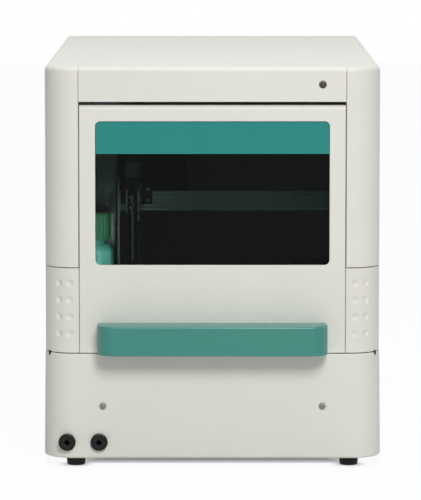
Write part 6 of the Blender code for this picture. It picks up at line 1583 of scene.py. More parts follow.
def wash_tubing():
    """Tube from the bottle's foot up through the cap, and over to the syringe's head in one bend."""
    across = BOTTLE_PLACE[0] + 0.008
    along = BOTTLE_PLACE[1]
    cap_top = BOTTLE_PLACE[2] + 0.0882
    high = SYRINGE_PLACE[2] + 0.01
    port = SYRINGE_PLACE[0] + 0.0103
    rise = high - cap_top
    guides = [
        (across, along, BOTTLE_PLACE[2] + 0.006), (across, along, cap_top),
        (across, along, cap_top + rise / 2),
        (across - 0.0016, (along + SYRINGE_PLACE[1]) / 2, high - 0.012),
        (port + 0.006, SYRINGE_PLACE[1], high), (port - 0.0002, SYRINGE_PLACE[1], high),
    ]
    path = curve_through(guides, 14)
    tube = pipe(path, 0.0015, 20, (0.0, 1.0, 0.05))
    piece("wash_tubing", [tube], "clear_tube", ["wash_tube"], crease=50)


def syringe_housing():
    """Drive housing with a slot and two sunk panels in front, a valve head, its upper nut, and screws."""
    left, front, low = -0.142, -0.2065, 0.241
    right, back, high = -0.112, -0.1668, 0.335
    body = rounded_box((left, front, low), (right, back, high), 0.001, 4, "z", 0.0022)
    head = rounded_box((-0.137, -0.2265, 0.3123), (-0.117, front + 0.003, 0.332), 0.0012, 4, "z", 0.002)
    housing = piece("syringe_housing", [body, head], "resin_white", ["syringe_drive"])
    slot = rounded_box(
        (-0.1297, front - 0.006, 0.2315), (-0.1243, front + 0.012, 0.2655), 0.0004, 2, "y", 0.0012,
    )
    panels = [
        rounded_box((start, front - 0.004, 0.2445), (end, front + 0.001, 0.306), 0.0004, 2, "y", 0.0018)
        for start, end in ((left + 0.003, left + 0.0105), (right - 0.0105, right - 0.003))
    ]
    pierce(housing, [slot, *panels])
    nut = mm([(0, -0.08), (4.2, -0.08), (4.2, 0.16), (3.6, 0.4), (3, 2.48), (2.7, 2.72), (0, 2.72)])
    shape = solid_lathe(nut, (-0.127, -0.2165, 0.332), "z", 12)
    piece("port_nuts", [shape], "cap_green", crease=20)
    heads = [
        socket_screw((across, front, height), "y", 0.0014, 0.0009, -1)
        for across in (left + 0.003, right - 0.003) for height in (low + 0.0022, high - 0.003)
        if height < 0.31 or across > -0.12
    ]
    piece("housing_screws", heads, "bright_steel")


def glass_barrel():
    """Syringe barrel: glass tube with a bore, steel ends, and graduations as thin raised rings."""
    x, y, top = SYRINGE_PLACE
    tube = mm([(3, -40.5), (5, -40.5), (5, -4.2), (3, -4.2)])
    shape = lathe(tube, SYRINGE_PLACE, "z", 48)
    piece("glass_barrel", [shape], "syringe_glass", ["syringe_barrel"], crease=40)
    lower = mm([
        (2.7, -43.8), (5.3, -43.8), (5.5, -43.6), (5.5, -39.8), (5.2, -39.4), (5.02, -39.4), (5.02, -40.8),
        (2.7, -40.8),
    ])
    upper = mm([
        (0, -3.6), (5.02, -3.6), (5.02, -5), (5.4, -5), (5.5, -4.6), (5.5, -0.8), (5, -0.3), (0, -0.3),
    ])
    ends = [lathe(lower, SYRINGE_PLACE, "z", 48), solid_lathe(upper, SYRINGE_PLACE, "z", 48)]
    piece("barrel_ends", ends, "bright_steel")
    marks = []
    low, high = 0.00498, 0.00507
    for number in range(21):
        level = top - 0.0075 - number * 0.0015
        sweep = 70 if number % 5 == 0 else 36
        angles = np.radians(np.linspace(-90 - sweep / 2, -90 + sweep / 2, 14))
        section = [(low, -0.00009), (high, -0.00009), (high, 0.00009), (low, 0.00009)]
        rings = [
            [(x + r * math.cos(a), y + r * math.sin(a), level + up) for r, up in section] for a in angles
        ]
        marks.append(skin(rings))
    piece("barrel_marks", marks, "connector_black", crease=60)


def plunger_rod():
    """Rod with a white tip of three lips, its foot with a clamp screw, and the tongue in the slot."""
    x, y, top = SYRINGE_PLACE
    low = 0.258
    rod = cylinder(0.0016, low + 0.003 - top, -0.0095, SYRINGE_PLACE, "z", 32)
    foot = rounded_box(
        (x - 0.005, y - 0.005, low), (x + 0.005, -0.2071, low + 0.0057), 0.0008, 3, "z", 0.0015,
    )
    tongue = rounded_box((x - 0.002, y, low + 0.0015), (x + 0.002, -0.1965, low + 0.0045), 0.0004, 2, "y")
    piece("plunger_rod", [rod, foot, tongue], "bright_steel", ["plunger"], body="syringe_plunger")
    tip = [(AXIS, -0.0112)]
    for lip in range(3):
        base = -0.0112 + 0.0022 * lip
        tip += [(0.0024, base), (0.0027, base + 0.0004), (0.0027, base + 0.0011), (0.0023, base + 0.0016)]
    tip += mm([(2.2, -4.8), (0.6, -4.4), (0, -4.4)])
    shape = solid_lathe(tip, SYRINGE_PLACE, "z", 40)
    piece("plunger_tip", [shape], "resin_white", body="syringe_plunger")
    screw = socket_screw((x, y - 0.005, low + 0.0028), "y", 0.0016, 0.0008, -1, 0.001)
    piece("plunger_clamp", [screw], "bright_steel", body="syringe_plunger")


def valve_knob():
    """Valve plug with a bevelled disc and a tapered grip bar."""
    place = (-0.127, -0.2268, 0.322)
    disc = mm([(0, 0), (6.2, 0), (6.5, -0.3), (6.5, -2.2), (5.9, -2.9), (0, -3)])
    bar = rounded_box((-0.1282, -0.2328, 0.317), (-0.1258, -0.229, 0.327), 0.0005, 3, "y", 0.001)
    piece(
        "valve_knob", [solid_lathe(disc, place, "y", 48), bar], "resin_white", ["syringe_valve_rotor"],
        body="syringe_valve",
    )


bottle_shelf()
wash_bottle()
ribbed_cap()
wash_tubing()
syringe_housing()
glass_barrel()
plunger_rod()
valve_knob()

# Injection valve, its loop, and the heat sink

VALVE_PLACE = (0.1278, -0.1925, 0.166)
VALVE_ANGLES = np.radians(30 + 60 * np.arange(6))


def upright_box(centre, half, start, end, edge, steps=3, corner=None):
    """A box that runs back along Y, with half a width and height about a centre at (x, z)."""
    low = (centre[0] - half[0], start, centre[1] - half[1])
    high = (centre[0] + half[0], end, centre[1] + half[1])
    return rounded_box(low, high, edge, steps, "y", corner)


def valve_drive():
    """Drive in three stepped lengths with rounded corners, four screws before it and a spindle."""
    x, y, z = VALVE_PLACE
    front = y + 0.0174
    body = [
        upright_box((x, z), (0.0155, 0.0155), front, front + 0.012, 0.0006, 3, 0.003),
        upright_box((x, z), (0.0148, 0.0148), front + 0.0118, front + 0.054, 0.0004, 2, 0.004),
        upright_box((x, z), (0.0155, 0.0155), front + 0.0538, front + 0.0658, 0.0008, 3, 0.003),
    ]
    piece("valve_drive", body, "motor_black", ["injection_valve"])
    heads = [
        socket_screw((x + i * 0.0122, front, z + k * 0.0122), "y", 0.0019, 0.0014, -1, 0.002)
        for i in (-1, 1) for k in (-1, 1)
    ]
    spindle = cylinder(0.0024, y + 0.0119, front + 0.002, (x, 0, z), "y", 24)
    piece("valve_drive_screws", heads + [spindle], "bright_steel")


def valve_head():
    """Port head turned with a groove and a chamfered face, and a finger nut with ribs at each port."""
    x, y, z = VALVE_PLACE
    profile = mm([
        (0, 0.1), (11.8, 0.1), (12.8, 0.6), (14, 1.8), (14, 5.2), (13.4, 5.7), (13.4, 6.5), (14, 7),
        (14, 11.4), (13.6, 11.9), (0, 11.9),
    ])
    piece("valve_port_head", [solid_lathe(profile, VALVE_PLACE, "y", 72)], "bright_steel")
    nut = [
        (AXIS, 0.0007, 0), (0.0021, 0.0007, 0), (0.0021, -0.0006, 0), (0.0024, -0.0009, 1),
        (0.0024, -0.0048, 1), (0.0021, -0.0052, 0), (0.0015, -0.0056, 0), (0.0013, -0.007, 0),
        (0.0009, -0.007, 0), (AXIS, -0.0069, 0),
    ]
    shape = ribbed_lathe(nut, (0, 0, 0), "y", 9, 0.00026, 36, 1)
    places = [(x + 0.009 * math.cos(a), y, z + 0.009 * math.sin(a)) for a in VALVE_ANGLES]
    piece("valve_port_nuts", set_down(shape, places), "connector_black")


def valve_ring():
    """Ring that turns between head and drive, knurled round its rim, with eight holes round it."""
    x, y, z = VALVE_PLACE
    profile = [
        (0.0027, 0.0123, 0), (0.0142, 0.0123, 0), (0.0146, 0.0126, 0), (0.0148, 0.013, 1),
        (0.0148, 0.0164, 1), (0.0146, 0.0168, 0), (0.0142, 0.0171, 0), (0.0027, 0.0171, 0),
    ]
    shape = ribbed_lathe(profile, VALVE_PLACE, "y", 60, 0.00022, 180, 1, close=True)
    ring = piece("valve_ring", [shape], "bright_steel", ["injection_valve_rotor"], body="injection_rotor")
    hole = cylinder(0.0011, 0.0125, 0.0168, (0, 0, 0), "x", 12)
    centre = (x, y + 0.0147, z)
    pierce(ring, [spun(hole, 45 * number + 22.5, centre) for number in range(8)])


def steel_loop():
    """Bent capillary between two ports, with a ferrule at each end."""
    x, y, z = VALVE_PLACE
    start = y - 0.0073
    reach = start - 0.022
    first, last = [
        (x + 0.009 * math.cos(a), z + 0.009 * math.sin(a)) for a in (VALVE_ANGLES[0], VALVE_ANGLES[5])
    ]
    guides = [
        (first[0], start, first[1]), (first[0], start - 0.0055, first[1]),
        (first[0], reach + 0.0055, first[1]), (x - 0.009, reach + 0.0004, (first[1] + last[1]) / 2),
        (last[0], reach + 0.0055, last[1]), (last[0], start - 0.0055, last[1]), (last[0], start, last[1]),
    ]
    shapes = [pipe(curve_through(guides, 14), 0.00078, 12, (1.0, 0.0, 0.0))]
    ferrule = mm([(0, 0.2), (1.2, 0.2), (1.3, -1), (0.9, -2.6), (0, -2.6)])
    shapes += [solid_lathe(ferrule, (px, start, pz), "y", 20) for px, pz in (first, last)]
    piece("steel_loop", shapes, "bright_steel", ["sample_loop"])


def cooling_fins():
    """Extruded comb: each fin narrows to a rounded tip, and the comb's ends are cut square."""
    low, high = 0.1, 0.156
    front = -0.0063
    foot, tip = front + 0.006, front + 0.034
    pitch = (0.08 - 0.002) / 8
    points = [(0.04, front), (-0.04, front)]
    for number in range(9):
        left = -0.04 + number * pitch
        right = left + 0.002
        crown = [
            (left + 0.001 - 0.0007 * math.cos(a), tip - 0.0007 + 0.0007 * math.sin(a))
            for a in np.radians(np.linspace(0, 180, 7))
        ]
        before = [] if number == 0 else [
            (left - 0.0009, foot + 0.0001), (left - 0.0003, foot + 0.0007), (left, foot + 0.0016),
        ]
        after = [] if number == 8 else [
            (right, foot + 0.0016), (right + 0.0003, foot + 0.0007), (right + 0.0009, foot + 0.0001),
        ]
        points += before + crown + after
    comb = np.array(points)
    rings = [stand(comb, along, "z") for along in (low, high)]
    piece("cooling_fins", [skin(rings)], "aluminium", ["heat_sink"])


valve_drive()
valve_head()
valve_ring()
steel_loop()
cooling_fins()

# Rear and base of the case

REAR_FACE = REAR - 0.004
REAR_INNER = REAR_FACE - 0.0015
SHEET_HALF = HALF - COVER_WALL - GAP
FAN_X = -0.06
FAN_Z = 0.225
FAN_BORE = 0.0375
INLET_X = 0.098
INLET_Z = 0.12
NETWORK_X = -0.1
NETWORK_Z = 0.06


def sheet_hole(x, z, wide, tall, radius, steps):
    """A rounded opening right through the rear sheet, with half a width and height about its centre."""
    points = outline(x - wide, z - tall, x + wide, z + tall, radius, steps)
    return skin([stand(points, REAR_INNER - 0.002, "y"), stand(points, REAR_FACE + 0.002, "y")])


def loft_y(rows, crossing):
    """Rounded rectangles (half width, half height, corner, y) about a centre, joined one after another."""
    x, z = crossing
    return [
        stand(outline(x - wide, z - tall, x + wide, z + tall, corner, 6), along, "y")
        for wide, tall, corner, along in rows
    ]


def rear_sheet():
    """Sheet with eased edges: a grille of slots over the fan, two openings, and upright vents low down."""
    corner = TOP_ROUND - COVER_WALL
    radii = np.array((0.0006, corner, corner, 0.0006))
    rings = []
    for inset, along in (
        (0.0004, REAR_INNER), (0.0, REAR_INNER + 0.0003),
        (0.0, REAR_FACE - 0.0004), (0.0001, REAR_FACE - 0.0001), (0.0004, REAR_FACE),
    ):
        left, right = inset - SHEET_HALF, SHEET_HALF - inset
        top = TOP - COVER_WALL - GAP - inset
        rings.append(stand(outline(left, BASE + GAP + inset, right, top, radii - inset, 6), along, "y"))
    sheet = piece("rear_sheet", [skin(rings)], "case_grey", ["rear_panel"], look="paint")
    holes = []
    for row in range(-4, 5):
        up = row * 0.0085
        reach = math.sqrt(FAN_BORE**2 - up**2) - 0.0036
        holes.append(sheet_hole(FAN_X, FAN_Z + up, reach, 0.0018, 0.0018 - HOLD, 8))
    holes.append(sheet_hole(INLET_X, INLET_Z, 0.0303, 0.0158, 0.0008, 4))
    holes.append(sheet_hole(NETWORK_X, NETWORK_Z, 0.0083, 0.00705, 0.0008, 4))
    holes += [sheet_hole(0.052 + number * 0.009, 0.043, 0.0015, 0.013, 0.0014, 6) for number in range(9)]
    pierce(sheet, holes)


def rear_screws():
    """Pan-head screws with a cross recess: the head is a flat quarter ellipse turned about Y."""
    angles = np.radians(np.linspace(0, 88, 7))
    dome = [(0.0027 * math.cos(a), REAR_FACE + 0.0002 + 0.0013 * math.sin(a)) for a in angles]
    profile = [
        (AXIS, REAR_INNER - 0.003), (0.0014, REAR_INNER - 0.003), (0.0014, REAR_FACE), (0.0027, REAR_FACE),
    ]
    head = solid_lathe(profile + dome + [(AXIS, dome[-1][1])], (0, 0, 0), "y", 28)
    places = [(side * 0.1405, z) for side in (-1, 1) for z in (0.0255, 0.135, 0.245, 0.3465)]
    places += [(x, z) for x in (-0.05, 0.05) for z in (0.0175, 0.3505)]
    places += [(FAN_X + x, FAN_Z + z) for x in (-0.03575, 0.03575) for z in (-0.03575, 0.03575)]
    screws = piece("rear_screws", set_down(head, [(x, 0.0, z) for x, z in places]), "bright_steel")
    cut_crosses(screws, [(x, REAR_FACE + 0.0015, z) for x, z in places], 0.0016, 0.0005, 0.0008)


def fan_housing():
    """Square fan housing: a waisted bore flared at both ends, corner holes, and four arms to the hub."""
    front = REAR_INNER - GAP - 0.025
    back = REAR_INNER - GAP
    shape = upright_box((FAN_X, FAN_Z), (0.04, 0.04), front, back, 0.0006, 3, 0.005)
    frame = piece("fan_housing", [shape], "connector_black", ["fan_frame"])
    bore = [
        (AXIS, front - 0.002), (0.0384, front - 0.002), (0.0384, front), (0.0377, front + 0.002),
        (FAN_BORE, front + 0.005), (FAN_BORE, back - 0.005), (0.0377, back - 0.002), (0.0384, back),
        (0.0384, back + 0.002), (AXIS, back + 0.002),
    ]
    holes = [solid_lathe(bore, (FAN_X, 0, FAN_Z), "y", 96)]
    for x in (-0.03575, 0.03575):
        for z in (-0.03575, 0.03575):
            place = (FAN_X + x, 0, FAN_Z + z)
            holes.append(cylinder(0.0021, front - 0.002, back + 0.002, place, "y", 24))
    pierce(frame, holes)
    hub = [
        (AXIS, front + 0.0002), (0.0148, front + 0.0002), (0.0155, front + 0.0009),
        (0.0155, front + 0.0029), (AXIS, front + 0.0029),
    ]
    arm = rounded_box((0.014, front + 0.0003, -0.0019), (0.0386, front + 0.0028, 0.0019), 0.0007, 3, "x")
    shapes = [solid_lathe(hub, (FAN_X, 0, FAN_Z), "y", 64)]
    shapes += [spun(arm, 45 + 90 * number, (FAN_X, 0, FAN_Z)) for number in range(4)]
    piece("fan_hub_arms", shapes, "connector_black")


def blade(turn):
    """One blade: a thin lens section, cambered, pitched from 46 degrees at the root to 30 at the tip."""
    middle = REAR_INNER - GAP - 0.022 + 0.01025
    radius = np.linspace(0.0149, 0.0358, 14)[:, None]
    share = (radius - radius[0]) / (radius[-1] - radius[0])
    chord = 0.0175 + 0.0095 * share
    pitch = np.radians(46 - 16 * share)
    along = np.concatenate([np.linspace(-1, 1, 15), np.linspace(1, -1, 15)[1:-1]])[None]
    upper = np.concatenate([np.ones(15), -np.ones(13)])[None]
    across = along * chord / 2
    height = 0.1 * chord * (1 - along**2) + upper * 0.00068 * np.sqrt(np.clip(1.03 - along**2, 0, None))
    sweep = 0.2 * share**1.6
    angle = turn + sweep + (across * np.cos(pitch) - height * np.sin(pitch)) / radius
    y = middle + across * np.sin(pitch) + height * np.cos(pitch)
    return skin(np.stack([FAN_X + radius * np.cos(angle), y, FAN_Z + radius * np.sin(angle)], axis=-1))


def fan_blades():
    """Hub with a rounded front edge, and seven blades round it."""
    start = REAR_INNER - GAP - 0.022
    edge = [(0.0155 - i, start + 0.0205 - 0.0012 + r) for i, r in inset_steps(0.0012, 5)]
    hub = [(AXIS, start + 0.0002), (0.0155, start + 0.0002)] + edge
    hub += [(0.0105, start + 0.0205), (0.01, start + 0.0199), (AXIS, start + 0.0199)]
    shapes = [solid_lathe(hub, (FAN_X, 0, FAN_Z), "y", 72)]
    shapes += [blade(2 * math.pi * number / 7) for number in range(7)]
    piece("fan_blades", shapes, "connector_black", ["fan_rotor"], body="fan")


def fan_filter():
    """Foam filter in a thin frame, clipped to the inner side of the fan."""
    front = REAR_INNER - GAP - 0.025
    pad = upright_box((FAN_X, FAN_Z), (0.0378, 0.0378), front - 0.0052, front, 0.0018, 5, 0.004)
    rows = [
        (0.0372, 0.0372, 0.004, front - 0.0036), (0.0372, 0.0372, 0.004, front),
        (0.04, 0.04, 0.005, front), (0.04, 0.04, 0.005, front - 0.0032),
        (0.0396, 0.0396, 0.0046, front - 0.0036),
    ]
    piece("fan_filter_foam", [pad], "rubber_black")
    frame = skin(loft_y(rows, (FAN_X, FAN_Z)), close_rows=True)
    piece("fan_filter_frame", [frame], "connector_black")


def inlet_module():
    """Inlet with a stepped flange, a keyed socket and the rocker's pocket, and its three blades."""
    back = REAR_FACE + 0.0015
    depth = REAR_FACE - 0.024
    rows = [
        (0.0292, 0.0147, 0.0012, depth), (0.03, 0.0155, 0.0016, depth + 0.0008),
        (0.03, 0.0155, 0.0016, REAR_FACE + GAP), (0.033, 0.0185, 0.0025, REAR_FACE + GAP + HOLD),
        (0.033, 0.0185, 0.0025, back - 0.0005), (0.0328, 0.0183, 0.0023, back - 0.0002),
        (0.0323, 0.0178, 0.002, back),
    ]
    body = piece(
        "inlet_module", [skin(loft_y(rows, (INLET_X, INLET_Z)))], "connector_black", ["mains_inlet"],
    )
    middle = INLET_X - 0.0125
    wide, tall, cut = 0.0125, 0.0085, 0.004
    keyed = np.array([
        (middle - wide, INLET_Z - tall), (middle + wide, INLET_Z - tall),
        (middle + wide, INLET_Z + tall - cut), (middle + wide - cut, INLET_Z + tall),
        (middle - wide + cut, INLET_Z + tall), (middle - wide, INLET_Z + tall - cut),
    ])
    keyed_centre = keyed.mean(0)
    mouth = keyed_centre + (keyed - keyed_centre) * 1.05
    socket = skin([
        stand(keyed, back - 0.016, "y"), stand(keyed, back - 0.0006, "y"), stand(mouth, back + 0.001, "y"),
    ])
    place = INLET_X + 0.0185
    pocket = upright_box((place, INLET_Z), (0.0068, 0.0112), back - 0.01, back + 0.002, 0.0003, 2, 0.0008)
    pierce(body, [socket, pocket])
    blades = []
    for number in (-1, 0, 1):
        across = middle + number * 0.007
        up = INLET_Z + (0.00275 if number == 0 else -0.001375)
        blades.append(upright_box((across, up), (0.0011, 0.00275), back - 0.0162, back - 0.005, 0.0005, 4))
    piece("inlet_blades", blades, "bright_steel")


def rocker_turned(points):
    """The rocker's own frame tilted 8 degrees about its pivot, which lies 4 mm inside the flange."""
    turn = math.radians(-8)
    y = points[:, 1] * math.cos(turn) - points[:, 2] * math.sin(turn)
    z = points[:, 1] * math.sin(turn) + points[:, 2] * math.cos(turn)
    pivot = (INLET_X + 0.0185, REAR_FACE - 0.0025, INLET_Z)
    return np.stack([points[:, 0], y, z], axis=1) + np.array(pivot)


def rocker_face(height):
    """Depth of the dished face: 4.2 mm less 1.4 mm (1 - (z / 10 mm)^2)."""
    return 0.0042 - 0.0014 * (1 - (np.asarray(height) / 0.01) ** 2)


def power_rocker():
    """Rocker with a dished face carried across its width, marked with a bar and a ring."""
    heights = np.linspace(0.0096, -0.0096, 17)
    face = np.stack([rocker_face(heights), heights], axis=1)
    section = np.concatenate([
        face, mm([(3.2, -10), (1.6, -9.8), (-3, -5.2), (-3, 5.2), (1.6, 9.8), (3.2, 10)]),
    ])
    points, faces = carried(section, -0.0065, 0.0065, 0.0006, 4)
    piece(
        "power_rocker", [(rocker_turned(points), faces)], "connector_black", ["power_switch"],
        body="switch_rocker",
    )
    bar = outline(-0.00045, 0.0036, 0.00045, 0.0072, 0.0003, 4)
    angles = around(40)
    circle = np.stack([np.cos(angles), np.sin(angles)], axis=1)
    shapes = []
    for loops in ([bar], [circle * 0.0019 + (0, -0.0054), circle * 0.0012 + (0, -0.0054)]):
        rings = []
        for loop in loops:
            for lift in (-0.0002, 0.00008) if loop is loops[0] else (0.00008, -0.0002):
                rings.append(np.stack([loop[:, 0], rocker_face(loop[:, 1]) + lift, loop[:, 1]], axis=1))
        points, faces = skin(np.array(rings), close_rows=len(loops) > 1)
        shapes.append((rocker_turned(points), faces))
    piece("rocker_marks", shapes, "resin_white", body="switch_rocker")


def network_jack():
    """Folded shell round a black insert with a stepped opening, and eight sprung contacts."""
    back = REAR_FACE + 0.0015
    front = back - 0.02
    wide, tall = 0.008, 0.00675
    rows = [
        (wide - 0.0016, tall - 0.0016, 0.0004, back), (wide - 0.0004, tall - 0.0004, 0.0004, back),
        (wide, tall, 0.0006, back - 0.0003), (wide, tall, 0.0006, front),
        (wide - 0.0016, tall - 0.0016, 0.0004, front + HOLD),
    ]
    shell = skin(loft_y(rows, (NETWORK_X, NETWORK_Z)), close_rows=True)
    piece("network_shell", [shell], "bright_steel", ["network_port"])
    insert = piece(
        "network_insert",
        [upright_box((NETWORK_X, NETWORK_Z), (0.0064, 0.00515), front + 0.0002, back - 0.0005, 0.0003, 2)],
        "connector_black",
    )
    steps = np.array(
        mm([
            (-5.7, 4.2), (-5.7, -2.6), (-3.2, -2.6), (-3.2, -3.8), (-1.8, -3.8), (-1.8, -4.6), (1.8, -4.6),
            (1.8, -3.8), (3.2, -3.8), (3.2, -2.6), (5.7, -2.6), (5.7, 4.2),
        ])
    ) + (NETWORK_X, NETWORK_Z)
    pierce(insert, [skin([stand(steps, front + 0.004, "y"), stand(steps, back + 0.002, "y")])])
    contacts = []
    bends = mm([(15, 0.5), (12, 1.2), (6, 3.2), (3.6, 4), (3, 4.6)])
    for number in range(8):
        across = NETWORK_X + (number - 3.5) * 0.00102
        route = [(across, back - inward, NETWORK_Z + up) for inward, up in bends]
        contacts.append(pipe(curve_through(route, 4), 0.00022, 8, (1.0, 0.0, 0.0)))
    piece("network_contacts", contacts, "bright_steel")


def base_tray():
    """Bottom sheet that follows the skirt's inside, with turned-up sides and a pressed stiffening rib."""
    low = BASE + GAP
    wall = 0.002
    inner = CORNER - 0.003 - GAP
    centre = (HALF - CORNER, FRONT + CORNER)
    turn = bend(centre, inner, -90, 0, 12)
    right = np.concatenate([
        turn,
        [
            (centre[0] + inner, FRONT + RETURN + GAP), (SHEET_HALF - 0.001, FRONT + RETURN + GAP),
            (SHEET_HALF - 0.001, REAR_INNER - GAP),
        ],
    ])
    plan = np.concatenate([right, (right * (-1, 1))[::-1]])
    rings = [stand(plan, low, "z"), stand(plan, low + wall, "z")]
    flange = rounded_box(
        (SHEET_HALF - wall, FRONT + RETURN + 0.0015, low + 0.001),
        (SHEET_HALF, REAR_INNER - 0.0015, low + 0.022), 0.0004, 3,
    )
    fold = [(SHEET_HALF - wall - 0.0019, low + wall - 0.0004)]
    fold += [
        (SHEET_HALF - wall - 0.0016 + 0.0016 * math.sin(a), low + wall + 0.0016 - 0.0016 * math.cos(a))
        for a in np.radians(np.linspace(0, 90, 7))
    ]
    fold += [(SHEET_HALF - 0.001, low + wall + 0.0016), (SHEET_HALF - 0.001, low + wall - 0.0004)]
    along = [stand(np.array(fold), y, "y") for y in (FRONT + RETURN + 0.002, REAR_INNER - 0.002)]
    shapes = [skin(rings)]
    for _, side in SIDES:
        shapes += [sided(flange, side), sided(skin(along), side)]
    for y in (-0.205, 0.255):
        ridge = rounded_box(
            (-0.11, y - 0.004, low + 0.001), (0.11, y + 0.004, low + wall + 0.0012), 0.0011, 4, "z", 0.0035,
        )
        shapes.append(ridge)
    piece("base_tray", shapes, "zinc_sheet", ["base_pan"])


def electronics():
    """Laminate on turned posts, with chips on bent leads, electrolytic cans and pin headers."""
    low = BASE + GAP + 0.002
    top = low + 0.012 + 0.0016
    left, right, front, rear = -0.14, -0.02, 0.071, 0.241
    board = rounded_box((left, front, low + 0.012), (right, rear, top), 0.0003, 2, "z", 0.003)
    piece("board_laminate", [board], "board_green", ["control_board"])
    post = [
        (AXIS, GAP), (0.003, GAP), (0.003, 0.0121), (0.0015, 0.0121), (0.0015, 0.0137), (0.0028, 0.0137),
        (0.0027, 0.015), (AXIS, 0.0152),
    ]
    places = [(x, y, low) for x in (left + 0.006, right - 0.006) for y in (front + 0.006, rear - 0.006)]
    piece("board_posts", set_down(solid_lathe(post, (0, 0, 0), "z", 16), places), "bright_steel")
    chips, leads = [], []
    lead, faces = rounded_box((-0.0004, 0.0, 0.0), (0.0004, 0.0018, 0.0006), 0.0002, 1)
    for across, along in ((0.3, 0.3), (0.62, 0.34), (0.36, 0.66), (0.7, 0.72)):
        x, y = left + 0.12 * across, front + 0.17 * along
        chips.append(
            rounded_box(
                (x - 0.008, y - 0.008, top + 0.0004), (x + 0.008, y + 0.008, top + 0.004), 0.0006, 3, "z",
                0.0008,
            )
        )
        for side in (-1, 1):
            for number in range(10):
                place = (x + (number - 4.5) * 0.0015, y + side * 0.0078, top)
                leads.append((
                    lead * (1, side, 1) + place, faces if side > 0 else [f[::-1] for f in faces],
                ))
    headers = [
        ((-0.133, 0.115), (-0.128, 0.15)), ((-0.033, 0.19), (-0.0275, 0.222)),
        ((-0.09, 0.079), (-0.056, 0.0845)),
    ]
    for (x0, y0), (x1, y1) in headers:
        chips.append(rounded_box((x0, y0, top - 0.0002), (x1, y1, top + 0.0085), 0.0004, 2))
    piece("board_chips", chips, "connector_black")
    piece("board_leads", leads, "bright_steel")
    can = mm([
        (0, -0.2), (4.8, -0.2), (5, 0.4), (5, 1.6), (4.7, 2.2), (5, 2.8), (5, 11.8), (4.6, 12.5),
        (3, 12.5), (2.8, 12.2), (0, 12.2),
    ])
    places = [(-0.127, 0.205, top), (-0.115, 0.205, top), (-0.127, 0.218, top), (-0.047, 0.11, top)]
    piece("board_cans", set_down(solid_lathe(can, (0, 0, 0), "z", 28), places), "aluminium")


def supply_box():
    """Sheet box of the power supply: a folded lid with rows of vent slots, and its terminal strip."""
    low = BASE + GAP + 0.002 + GAP
    box = piece(
        "supply_box", [rounded_box((0.04, 0.076, low), (0.14, 0.236, low + 0.044), 0.0012, 4, "z", 0.002)],
        "zinc_sheet", ["power_supply"],
    )
    holes = []
    for column in range(3):
        for row in range(9):
            x = 0.06 + column * 0.03
            y = 0.098 + row * 0.0145
            slot = outline(x - 0.011, y - 0.0018, x + 0.011, y + 0.0018, 0.0017, 5)
            holes.append(skin([stand(slot, low + 0.0415, "z"), stand(slot, low + 0.046, "z")]))
    seam = block_cutter((0.0385, 0.2255, low + 0.0385), (0.1415, 0.2259, low + 0.046))
    pierce(box, holes + [seam])
    strip = [rounded_box((0.048, 0.07, low + 0.004), (0.112, 0.0762, low + 0.014), 0.0005, 2)]
    for number in range(8):
        x = 0.0515 + number * 0.0081
        strip.append(
            rounded_box((x - 0.0036, 0.07, low + 0.0139), (x - 0.0029, 0.0762, low + 0.0175), 0.0002, 1)
        )
    piece("supply_terminals", strip, "connector_black")
    heads = [
        socket_screw((0.0555 + number * 0.0081 - 0.0003, 0.07, low + 0.009), "y", 0.0024, 0.001, -1)
        for number in range(7)
    ]
    piece("supply_screws", heads, "bright_steel")


rear_sheet()
rear_screws()
fan_housing()
fan_blades()
fan_filter()
inlet_module()
power_rocker()
network_jack()
base_tray()
electronics()
supply_box()

# Studio


def area_lamp(name, place, aim, size, power):
    """A soft lamp of a given width, height and power in watts, turned to its aim and not seen itself."""
    data = bpy.data.lights.new(name, "AREA")
    data.shape = "RECTANGLE"
    data.size, data.size_y = size
    data.energy = power
    lamp = bpy.data.objects.new(name, data)
    lamp.location = place
    direction = Vector(aim) - Vector(place)
    lamp.rotation_euler = direction.to_track_quat("-Z", "Y").to_euler()
    lamp.visible_camera = False
    lamp.visible_transmission = False
    bpy.context.scene.collection.objects.link(lamp)


def white_where_seen(tree, lit, bright, seen_share=1.0):
    """Mixes the lit surface with a bright one for the rays that a camera, a mirror or a glass sends."""
    path = tree.nodes.new("ShaderNodeLightPath")
    seen = path.outputs["Is Camera Ray"]
    for ray in ("Is Glossy Ray", "Is Transmission Ray"):
        either = tree.nodes.new("ShaderNodeMath")
        either.operation = "MAXIMUM"
        tree.links.new(seen, either.inputs[0])
        tree.links.new(path.outputs[ray], either.inputs[1])
        seen = either.outputs["Value"]
    share = tree.nodes.new("ShaderNodeMath")
    share.operation = "MULTIPLY"
    share.inputs[1].default_value = seen_share
    tree.links.new(seen, share.inputs[0])
    mix = tree.nodes.new("ShaderNodeMixShader")
    tree.links.new(share.outputs["Value"], mix.inputs[0])
    tree.links.new(lit, mix.inputs[1])
    tree.links.new(bright, mix.inputs[2])
    return mix.outputs["Shader"]


def white_surroundings():
    """A plain world: white where it is seen, a grey of the ambient level where it lights."""
    world = bpy.data.worlds.new("surroundings")
    world.use_nodes = True
    bpy.context.scene.world = world
    tree = world.node_tree
    ambient = tree.nodes["Background"]
    ambient.inputs["Color"].default_value = (1.0, 1.0, 1.0, 1.0)
    ambient.inputs["Strength"].default_value = AMBIENT
    bright = tree.nodes.new("ShaderNodeBackground")
    bright.inputs["Color"].default_value = (1.0, 1.0, 1.0, 1.0)
    bright.inputs["Strength"].default_value = 1.0
    mixed = white_where_seen(tree, ambient.outputs["Background"], bright.outputs["Background"])
    tree.links.new(mixed, tree.nodes["World Output"].inputs["Surface"])


